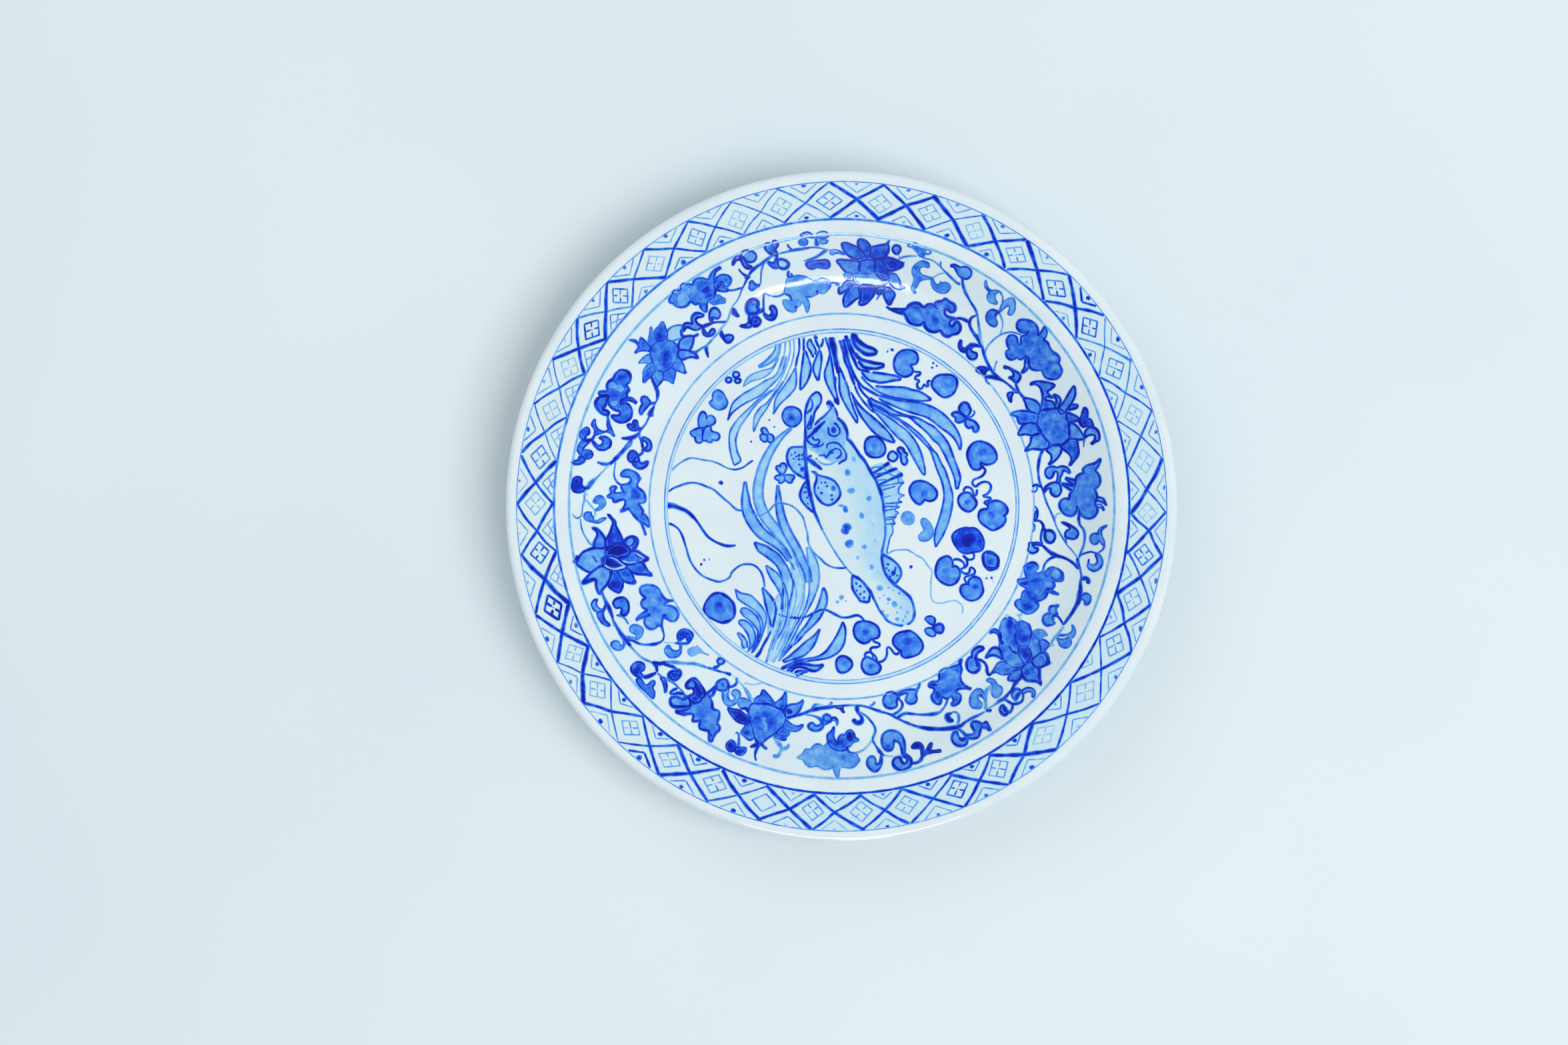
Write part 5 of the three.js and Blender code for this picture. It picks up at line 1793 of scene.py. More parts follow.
def scroll_first_lotus(wash, lines):
    """The lotus at 22 degrees."""
    petals(wash, lines, [
        ([(81.2, 48.2), (82, 46), (82.5, 44.3), (84, 42.5), (87.6, 41.2), (88.5, 43.5),
          (87.8, 45.6), (86.5, 46.9), (84.5, 47.8)], 0.5),
        ([(75.4, 41), (77, 42), (80, 42.5), (84, 42.1), (87.4, 40.9), (87, 37.2), (84, 37.3),
          (79.7, 36.9), (78.7, 38.3), (78, 40.2)], 0.62, (0.8, 0.93)),
        ([(78.9, 32), (79.8, 34.8), (81.5, 36.6), (84, 37.3), (86.6, 36.8), (88.6, 34.2),
          (89, 32.8), (85.2, 31.7), (82, 32.3)], 0.54),
        ([(81.9, 24.8), (84, 28), (84.6, 31), (86, 32), (88.9, 32.6), (91, 30.3), (92.5, 28.4),
          (91.7, 26), (89, 25.4), (85, 25.7)], 0.5),
        ([(91.3, 25.2), (93, 26.5), (95, 27.6), (97.6, 27.4), (97.9, 25), (96.8, 22.5), (95, 20.5),
          (92.2, 18.6), (93.4, 20.5), (93.3, 23)], 0.44),
        ([(97.6, 26.6), (98.5, 27.6), (101.2, 30), (104.6, 29.7), (105.2, 26.8), (105.3, 23.2),
          (103.8, 20.8), (101.6, 18.3), (102.5, 21), (101.6, 23.2), (99.8, 24.8)], 0.66),
        ([(108, 30.2), (107.2, 32.2), (106.2, 34), (104.2, 36.2), (101.8, 37.2), (101.3, 34),
          (101.5, 30.8), (104.5, 30)], 0.5),
        ([(106.2, 38.4), (104.8, 39.9), (102.8, 40.9), (100.2, 41.6), (100.4, 38.5), (102, 37.6),
          (104, 38.2)], 0.62, (0.8, 0.95)),
        ([(88.8, 43), (89.2, 45.6), (89.6, 49), (89.2, 51.5), (88.3, 53.3), (86.2, 54.7),
          (84, 54.4), (86, 55.5), (88.2, 55.7), (91, 55.3), (94.8, 54.2), (93.4, 52.6), (91.7, 51.4),
          (92.3, 49.8), (94.2, 48.4), (91.5, 49), (90.6, 47.5), (93, 47), (94.6, 46), (95, 44.2),
          (94, 43.4)], 0.6),
        ([(96.5, 43.4), (96.9, 45.5), (97.6, 47.4), (96.8, 48.8), (95.5, 49.6), (94.4, 49.7),
          (95.5, 48.2), (95.7, 46.4), (94.8, 44.4)], 0.5),
        ([(96.4, 43.4), (98.4, 45.8), (100.4, 48.8), (102, 51.6), (103.6, 53.7), (104, 51),
          (103.6, 48.6), (102, 45.4), (99.4, 42), (98, 41.2)], 0.52),
        ([(101.6, 45), (103, 45.4), (105, 45.2), (104.8, 44.2), (102.5, 43.4), (101.4, 43.2)], 0.7),
        ([(106.3, 38.2), (107, 40.4), (107.8, 43), (108.4, 43.9), (109.4, 42.2), (109.5, 39.4),
          (110.8, 38.6), (111.6, 36.8), (111.7, 35.4), (109.4, 36), (107.6, 35.6), (106.4, 36.8)],
         0.74, (0.8, 0.95)),
        ([(108.2, 30.6), (108.6, 33.4), (110, 34.9), (112.2, 35.2), (114, 33.8), (114.8, 31.6),
          (114.6, 29.6), (112.8, 28.8), (111, 27.7), (112.6, 29.6), (112.8, 31.6), (110.6, 32),
          (109, 31.2)], 0.48),
    ])
    heart = [
        (88.8, 43), (91, 43.6), (94, 43.5), (96.6, 43.8), (98.6, 42.6), (100.2, 41.2), (100.6, 38.4),
        (101.3, 35), (101.6, 31.6), (100.6, 29), (98.6, 27.5), (95.8, 27.2), (93, 28), (90.6, 30.4),
        (88.2, 33.6), (87, 36.4), (87.4, 40),
    ]
    petals(wash, lines, [(heart, 0.6, (0.85, 0.9))])
    for x, y, size in [(96, 35, 3), (97, 30.5, 2.2), (90.5, 37, 1.8), (94, 32.5, 2), (99.8, 38.5, 1.4)]:
        wash.dab(x, y, size, size * 0.8, 0.76, 0.58)
    wash.dab(95.5, 40, 2.2, 1.8, 0.46, 0.56)


def scroll_first_leaf(wash, lines):
    """The leaf at 40 degrees and the stems around it."""
    petals(wash, lines, [
        ([(78.1, 80.5), (78.6, 82.3), (80.2, 83.1), (83, 83), (85.5, 81.8), (87, 79.8), (87.5, 77.5),
          (87.2, 76.2), (88.5, 77), (89.7, 78.7), (90.8, 80.4), (91.3, 78), (90.9, 75.8), (90, 74.3),
          (91.7, 73), (92.5, 71), (93.7, 69.3), (96, 67.5), (97.1, 65.6), (96.6, 64.2), (97.3, 62.5),
          (98, 60.7), (97.3, 58.5), (95.7, 57), (93.5, 56.8), (91.2, 57.5), (89.8, 59.3),
          (89.3, 60.8), (87.5, 60.8), (85.7, 61), (84, 61.9), (83.7, 64), (83, 66.4), (82, 67.3),
          (80.5, 66), (79, 65.8), (78.2, 66.6), (77, 65.8), (75, 65.6), (73.7, 67), (73.4, 69),
          (74.9, 70), (74, 71.5), (73.7, 74), (74.7, 75.9), (76.5, 76.2), (77.9, 75.4),
          (78.2, 73.8), (78.8, 72.2), (80.1, 72), (79.9, 74), (80.2, 75.8), (81.7, 76.2),
          (83, 77.3), (83.6, 78.5), (82.3, 77.7), (80.5, 77.6), (79, 78.5)], 0.6, (0.75, 0.88)),
        ([(80.2, 59.6), (81.5, 62), (81.8, 64.5), (82.3, 67), (83.2, 66.2), (83.6, 63.2),
          (82.2, 60.8)], 0.5),
    ])
    for x, y, size, tone in [
        (90, 66, 2.8, 0.76), (92, 61.5, 2.2, 0.74), (86.5, 66.5, 2.4, 0.7), (95, 62, 2.2, 0.46),
        (94, 66, 1.8, 0.48), (81, 80.5, 2, 0.66), (76, 73.5, 1.4, 0.7),
    ]:
        wash.dab(x, y, size, size * 0.85, tone, 0.58)
    petals(wash, lines, [
        ([(79.3, 58.9), (79.5, 57.5), (78.5, 55.7), (77.5, 55.2), (75.8, 56.8), (74.4, 57.5),
          (76, 57.7), (76.7, 58.6), (76, 60.2), (74.4, 61.6), (71.9, 62.2), (74.4, 61.9),
          (76.8, 60.6)], 0.56),
        ([(74, 49.3), (74.3, 50.5), (76.5, 50.9), (75.9, 49.9), (75.4, 48.4), (75.4, 46.6),
          (74.5, 48)], 0.5),
        ([(60.2, 60.6), (61, 61.7), (63, 62), (65.7, 61.1), (64.2, 60.6), (63.6, 59),
          (62.4, 59.2)], 0.86, (0.8, 0.95)),
    ])
    lines.lines(
        [
            ([(60, 77), (61.5, 74), (62.5, 71.5), (63.4, 68), (64.4, 65.2), (66, 61.9),
              (67.8, 59.3), (69.6, 57.8), (71.7, 56.2), (74.4, 54.2), (77, 51.9), (79.2, 50.7),
              (80.5, 49.1), (82, 48)], (0.7, 0.8, 1, 0.7, 0.7, 0.9), (0.85, 0.88, 0.92, 0.85, 0.9)),
            ([(63.5, 57.4), (65.5, 57.8), (67.5, 57.7), (70, 56.9), (72.5, 55.8)],
             (1.1, 1.2, 0.7), 0.95),
            [(65, 57.6), (64.2, 56.4), (65, 55.2), (66.2, 54.3)],
            ([(67.8, 59.6), (68.2, 62), (68.6, 63.5), (69.3, 65)], 0.5, 0.65),
            ([(62.4, 71), (60, 71.6), (56.8, 72)], (0.6, 1), 0.94),
            ([(64, 66.8), (64, 69), (64.6, 70.6), (66, 72.6), (68.2, 74.8), (70.4, 76.3), (72.8, 77.3),
              (75.5, 77.7), (78, 77.2), (80, 76.4)], 0.5, (0.55, 0.6, 0.75)),
            ([(70.3, 76.2), (71.2, 78.3), (71.8, 81), (71.4, 84)], 0.45, 0.55),
            [(80.3, 59.4), (79.3, 58.9)],
            ([(77.5, 55.2), (78, 53.2), (79, 51.2)], 0.8, 0.92),
            ([(76.5, 50.9), (78.8, 50.8)], 0.7, 0.9),
            ([(71.9, 62.3), (74, 61.8)], 1, 0.95),
            ([(92, 50.2), (93, 49.2), (94.2, 48.6)], 0.4, 0.8),
            ([(108.2, 30.4), (107.9, 28.6), (107.9, 26.3)], (0.8, 0.3), 0.7),
            ([(83.3, 65.6), (83.4, 63.6), (84.2, 62)], 1, 0.93),
        ],
        0.6, 0.85,
    )


def scroll_north_east(wash, lines):
    """The cloud-shaped leaf at 66 degrees and the curls around it."""
    petals(wash, lines, [
        ([(28.8, 88), (30, 89.6), (32, 90.5), (34.5, 90.2), (36.6, 88.6), (38.3, 89.9), (40.5, 89.9),
          (41.8, 88.8), (41.9, 90.5), (43.4, 91.2), (45, 91.4), (46.2, 92.5), (48, 91.2),
          (49.8, 90.1), (50.4, 88.6), (50, 87.2), (48.7, 86.7), (47.2, 87.9), (46, 87.5),
          (45.9, 86), (46.8, 84.8), (48.6, 84), (50.5, 83.8), (48.6, 83), (48, 81.6), (48.6, 80.4),
          (50, 80.5), (50.4, 81.8), (51.3, 82.3), (52.6, 80.8), (52.7, 78.8), (51.5, 77.2),
          (49, 76.7), (47.5, 75.9), (45.6, 76.5), (44, 78.4), (41.5, 77.8), (39, 78.4), (37.3, 80.2),
          (36.6, 82.2), (35, 81), (32.5, 81.1), (30.2, 82.2), (28.8, 84.4), (27.8, 86),
          (26, 86.2)], 0.58, (0.95, 0.93)),
        ([(53.6, 102), (52.2, 103), (51.2, 104.8), (50.2, 106.7), (48.5, 107.3), (50, 107.8),
          (51.5, 107.3), (53, 106.6), (55.5, 106.8), (57.3, 105.6), (57.8, 103.8), (56.8, 102),
          (55.2, 101.4)], 0.5, (0.65, 0.88)),
        ([(64.2, 100.8), (63.8, 98.6), (64.8, 96.9), (65.8, 95.6), (65, 94), (65.2, 92),
          (66.5, 90.9), (69.2, 90.4), (68.3, 92.6), (68.4, 94.6), (69.7, 95.6), (68.8, 96.3),
          (66.6, 96.2), (65, 97.8)], 0.48, (0.55, 0.72)),
        ([(70.6, 88), (71.7, 90.7), (73.6, 92.2), (75.4, 92.9), (76.7, 92.4), (77.2, 90.5),
          (77.2, 87.8), (76.3, 86), (75.2, 85.4), (74.2, 86), (74.9, 88.2), (74.4, 89.5),
          (72.8, 88.8), (71.4, 87.5), (70.4, 86.6)], 0.44, (0.5, 0.7)),
        ([(70.2, 86.4), (68.9, 87.2), (67.2, 87.6), (65.5, 86.7), (64.5, 84.8), (64.8, 82.7),
          (66.2, 81.1), (68, 80.4), (69, 81.2), (69, 82.5), (68.4, 84), (69, 85.6), (68.4, 86),
          ], 0.62, (0.65, 0.84)),
        ([(32, 96.4), (33.6, 98.4), (34.6, 100.2), (36.8, 101.2), (40.5, 101.6), (38, 102.4),
          (35.6, 103.4), (34.6, 105), (35.2, 106.6), (37, 107), (38.8, 106.6), (38.6, 108.4),
          (36.4, 109.3), (34.2, 108.8), (32, 106.6), (31.5, 104.4), (32.3, 102.4), (32.1, 100),
          (31, 97.2)], 0.58, (0.5, 0.74)),
        ([(40.5, 102), (40, 100), (40.8, 97.4), (43, 95.6), (46, 95.2), (47.8, 96.4), (48.4, 98),
          (46.8, 99.6), (44.6, 99.6), (42.4, 98.8), (41, 100.2)], 0.56, (0.5, 0.72)),
        ([(29.3, 116.2), (31, 117.2), (33, 117.2), (34.6, 115.6), (37, 114.6), (39, 114.3),
          (39.8, 113.2), (38.5, 112.5), (37, 112.7), (36.7, 111.3), (34.6, 111.8), (33.6, 113.4),
          (31.8, 115.2)], 0.6, (0.5, 0.74)),
        ([(56.8, 70.6), (54.9, 70.2), (53.2, 71.4), (53.3, 74.2), (52.4, 72.6), (52.5, 70.8),
          (53.7, 69.3), (55.4, 69.2)], 0.66, (0.8, 0.95)),
        ([(57.2, 70.8), (57.6, 69.4), (59, 68.6), (60, 68.3), (60, 66.6), (58.6, 65.6),
          (56.8, 66.2), (55.8, 68), (55.9, 69.8)], 0.52),
    ])
    for x, y, size, tone in [
        (41.5, 83, 3, 0.76), (38.5, 86.3, 1.8, 0.7), (46.5, 79.5, 2.4, 0.7), (45, 83, 2, 0.68),
        (31.5, 86.5, 2, 0.66), (33.5, 85, 2.4, 0.5), (67, 84, 1.6, 0.76), (36.3, 112.6, 1.1, 0.85),
        (34.5, 101.6, 1.6, 0.74),
    ]:
        wash.dab(x, y, size, size * 0.8, tone, 0.58)
    lines.lines(
        [
            ([(19.8, 89.2), (21.5, 88.1), (24, 87.9), (26.5, 87.8), (28.8, 88.2)], 0.8, 0.94),
            ([(20.5, 88.4), (23.5, 87), (26, 86.2), (27.8, 86.1)], 0.8, 0.93),
            ([(30.4, 88.2), (31.6, 86)], 0.4, 0.66),
            ([(36.6, 88.6), (36.7, 86.2), (37.8, 83.8)], 0.45, 0.66),
            ([(41.9, 88.8), (42.7, 87.8)], 0.9, 0.94),
            ([(44.3, 90), (44.5, 87), (46, 83), (47, 79)], 0.4, 0.66),
            ([(50.5, 83.8), (53, 83.8), (55.2, 83), (56.5, 82.2)], (0.8, 0.8, 1), 0.93),
            ([(60.4, 85.3), (58, 84.2), (56.9, 82), (57.5, 79.5), (59, 77), (60.5, 74.8),
              (61.8, 72.2), (62.6, 71)], (0.6, 0.9, 0.9, 0.8), 0.92),
            ([(62.8, 71.6), (61.9, 75), (61.3, 79), (60.9, 82), (60.4, 85.5), (59.4, 88.2),
              (57.8, 90.6), (56.2, 93.4), (54.9, 96), (54.1, 98.6), (53.7, 102)],
             (0.8, 0.8, 0.6, 0.7, 0.8, 0.8), (0.35, 0.5, 0.85, 0.8, 0.85, 0.85)),
            ([(62.4, 71), (60.5, 71.8), (58.5, 71.8), (56.5, 71), (55.2, 70.6)],
             (0.6, 0.9, 1.6, 0.8), 0.95),
            ([(53, 99), (51.2, 99.8), (49, 101.8), (46.8, 104), (44.6, 106.2), (44, 107.6),
              (44.2, 109.3)], (0.9, 0.7, 0.6, 0.5), 0.72),
            ([(44.6, 106.2), (42.5, 108.2), (40.2, 109.8), (38, 110.4), (35.8, 110.8)], 0.5, 0.6),
            ([(40.4, 101.8), (42, 102.8), (44, 103.8), (46, 104)], 0.4, 0.45),
            ([(24.8, 110), (27, 111), (30, 111.6), (33.4, 111.6)], 0.55, 0.6),
            ([(25.2, 112.2), (25.8, 111.2)], 0.4, 0.6),
            ([(71.5, 94), (70.6, 95.6), (69, 96)], 0.6, 0.75),
            ([(70.4, 86.6), (71.5, 90), (71.8, 93), (71.2, 94.8)], 0.5, 0.72),
            ([(70.2, 86.4), (71.2, 84), (71.8, 81)], 0.5, 0.6),
            ([(68, 85.8), (68.6, 84.6)], 1.2, 0.92),
            ([(32, 96.4), (33, 94.8)], 0.9, 0.62),
            ([(44.2, 100.6), (43.8, 99.4)], 0.6, 0.7),
        ],
        0.6, 0.85,
    )
    petals(wash, lines, [
        ([(22.8, 114.3), (23.4, 116), (25.2, 116.2), (26.2, 115), (25.6, 113.2), (24.2, 112.6)], 0.5),
    ])


def scroll_north(wash, lines):
    """The many-petalled lotus at 83 degrees and the pale leaf at 99 degrees."""
    petals(wash, lines, [
        ([(0.3, 117.2), (0.6, 115.4), (1.6, 113.4), (3.6, 111.6), (6.2, 110.4), (9, 110.6),
          (10.4, 112.2), (9.6, 113.8), (7, 115.4), (4, 116.6), (1.8, 117.4)], 0.62),
        ([(8, 119), (7.4, 117.2), (8.2, 114.8), (9.8, 112.6), (11.2, 110.8), (12.6, 111.6),
          (13, 114), (12.4, 116.4), (10.6, 118.2)], 0.68),
        ([(13.4, 115.4), (12.8, 113.2), (13.4, 111.2), (15.6, 110.6), (18, 111), (20, 112.2),
          (20.8, 114.4), (20.6, 116.8), (18.6, 116.6), (16, 116)], 0.68),
        ([(17.2, 110.4), (20, 110.6), (23, 110.2), (25.6, 109), (27.2, 107.8), (25.4, 106.4),
          (23, 105.4), (20.8, 105.6), (19.4, 107.4)], 0.82, (0.9, 0.95)),
        ([(-2, 109.6), (-0.6, 107.4), (1.4, 105.2), (4, 104.2), (7.6, 104.4), (8.2, 106.6),
          (8.2, 108.8), (5, 109.6), (1.4, 109.8)], 0.5),
        ([(8.2, 108.8), (7.8, 106), (8.4, 104.4), (12, 104.2), (14.6, 104.6), (15.2, 107),
          (14.2, 109.6), (11, 109.8)], 0.62),
        ([(14.8, 107.6), (15.2, 104.2), (17.4, 102), (20.2, 101.4), (20.6, 103.8), (19.8, 107),
          (18, 109.8), (15.6, 110)], 0.74),
        ([(0, 97.6), (1.4, 99.6), (3.6, 100.8), (5.6, 100.4), (5.4, 98.8), (3.4, 97.6), (1.6, 96.2),
          (-1, 94.8), (-1.2, 97.4)], 0.52),
        ([(5.6, 98.4), (3.4, 96.8), (1.6, 94.4), (0.8, 91.6), (1.6, 89), (3.8, 90.4), (6, 92.2),
          (8.2, 93.6), (8.6, 96), (7.6, 98.4)], 0.6),
        ([(8.4, 98.2), (7.9, 95.6), (8.6, 93), (8, 90.2), (10.6, 90.4), (12.8, 92.4), (14.4, 95),
          (14.8, 97.4), (12.6, 98.4)], 0.72),
        ([(16.2, 97.2), (15.9, 95.4), (16.6, 94.4), (18.2, 95.4), (19.4, 97.2), (17.8, 98)], 0.68),
        ([(19.4, 97), (18.8, 94.4), (19.6, 92.2), (21.2, 90), (22.6, 92.2), (23.6, 94.4),
          (22.4, 96.2), (21, 97.4)], 0.64),
        ([(20.6, 103.4), (21.4, 100.4), (22.4, 98), (25, 96.6), (28.4, 97.2), (26.6, 98.4),
          (25.6, 101), (23.8, 103.6)], 0.5, (0.6, 0.75)),
        ([(5.4, 104), (6.2, 100.6), (9, 98.6), (13, 98.4), (17.6, 98.4), (20.4, 99.6),
          (20.2, 102), (17, 103.6), (12, 104.2)], 0.5, (0.4, 0.66)),
        ([(1.2, 103.6), (2, 101.8), (4.4, 101.2), (5, 103.2), (3, 104.2)], 0.55, (0.5, 0.75)),
        ([(-1.6, 112.8), (-4.4, 112), (-5.2, 113.8), (-3.2, 114.3), (-0.6, 113.7), (1.4, 112.2)],
         0.45, (0.45, 0.75)),
    ])
    pools(wash, [
        (11, 93.4, 2, 0.88), (3, 92, 1.6, 0.74), (5, 95.6, 1.6, 0.72), (24, 107.4, 1.9, 0.95),
        (11, 114.6, 1.5, 0.8), (17.2, 107, 2, 0.84), (3.4, 114.8, 1.6, 0.78), (18.6, 114, 1.8, 0.78),
        (12, 106.6, 1.8, 0.72), (3.4, 107, 1.6, 0.62), (18.6, 101.8, 1.8, 0.72), (21, 94, 1.2, 0.74),
        (11.4, 111.2, 1.3, 0.9), (15, 109.8, 1.2, 0.9),
    ], paling=0.08, up=0.85)
    petals(wash, lines, [
        ([(-4.9, 99), (-6.2, 96.6), (-8, 95), (-10.6, 95.2), (-12, 94.2), (-14, 93.4),
          (-16.2, 93.8), (-15, 92), (-14.4, 89.6), (-15.4, 86.4), (-16.2, 89), (-17.4, 91.4),
          (-18.6, 89.6), (-20, 88.8), (-20.4, 87.2), (-22, 86.7), (-24.4, 87.8), (-25.8, 90),
          (-26, 91.9), (-24.4, 92), (-22.8, 91.4), (-23.2, 93.6), (-25.2, 94.8), (-25.2, 98),
          (-24, 101.6), (-20, 102.8), (-16, 102.4), (-12, 101), (-9, 102), (-6.6, 101.4)],
         0.46, (0.5, 0.66)),
        ([(-5.6, 108.6), (-6, 106.6), (-8.6, 106.4), (-11, 106.7), (-13.4, 106), (-15, 106.8),
          (-15.6, 108.4), (-13, 109.2), (-9, 109.6), (-6.8, 109.6)], 0.66),
        ([(-6, 120.6), (-8.2, 119.6), (-10.6, 119.8), (-11, 121.4), (-8.6, 122.3), (-6.8, 122)],
         0.55, (0.6, 0.82)),
        ([(-6.2, 118.4), (-7.6, 117), (-9.4, 117.4), (-9.6, 118.8), (-7.8, 119)], 0.5, (0.5, 0.75)),
        ([(-18.4, 120.4), (-17, 121.7), (-15, 122), (-13.4, 121), (-12.4, 120), (-14.4, 120.2),
          (-16.4, 120.2)], 0.6, (0.7, 0.86)),
        ([(-19.2, 118), (-17, 119.4), (-15.2, 118.2), (-16, 116.6), (-18, 116.4)], 0.5, (0.5, 0.7)),
    ])
    lines.lines(
        [
            ([(20.4, 116.6), (20.8, 118), (21.8, 118.8)], (0.8, 0.5), 0.85),
            ([(25.6, 107.6), (28.2, 109)], (0.9, 0.3), 0.85),
            ([(17.2, 94.6), (16.2, 93.2), (15.5, 92)], 0.5, 0.62),
            ([(8.6, 90.4), (7.4, 89.6)], (0.8, 0.4), 0.75),
            ([(21.2, 90.2), (21.6, 89.6)], 0.8, 0.9),
            ([(-1, 98.8), (-3, 99.4), (-4.9, 99.6)], (1.2, 0.7), 0.85),
            ([(-23.6, 105.2), (-23.9, 103.6), (-23.6, 102.2), (-22, 102.6), (-22.8, 104)],
             0.7, 0.88),
            ([(-25.2, 94.8), (-23.4, 94.2), (-22.4, 92.6), (-22.4, 91.4)], (0.7, 1.2), 0.8),
            ([(-20.5, 88), (-20.4, 89.4)], 1.2, 0.8),
            ([(-11, 94.2), (-11, 96.4)], (0.6, 1.2), 0.78),
            ([(-18.6, 93.6), (-17, 91.6), (-16, 88.4)], 0.4, 0.6),
            ([(-31, 93.6), (-28.6, 93.6), (-26.8, 94.2), (-25.6, 95.2), (-25, 97.8)], 0.6, 0.72),
            ([(-28.2, 112.6), (-25, 113.4), (-21.6, 114.2), (-17.5, 114.8), (-13.4, 115.3),
              (-10, 115.2), (-7, 114.4), (-5, 114.2)], (0.5, 0.8, 0.8, 0.6, 0.4), (0.5, 0.8, 0.8, 0.6)),
            ([(-24.2, 117), (-23.4, 115.4), (-22.2, 114.4)], 0.7, 0.88),
            ([(-6.6, 114.4), (-8.6, 113), (-10.6, 111.6), (-13, 110.4), (-17, 109.2)],
             (0.9, 0.9, 0.5), (0.85, 0.85, 0.5)),
            ([(-27.8, 118.3), (-25, 118.8), (-22.6, 119.2), (-19.5, 120)], 0.5, 0.6),
            ([(-11.6, 120), (-11.2, 118.2), (-11, 116)], (0.8, 1.4), 0.85),
        ],
        0.6, 0.85,
    )


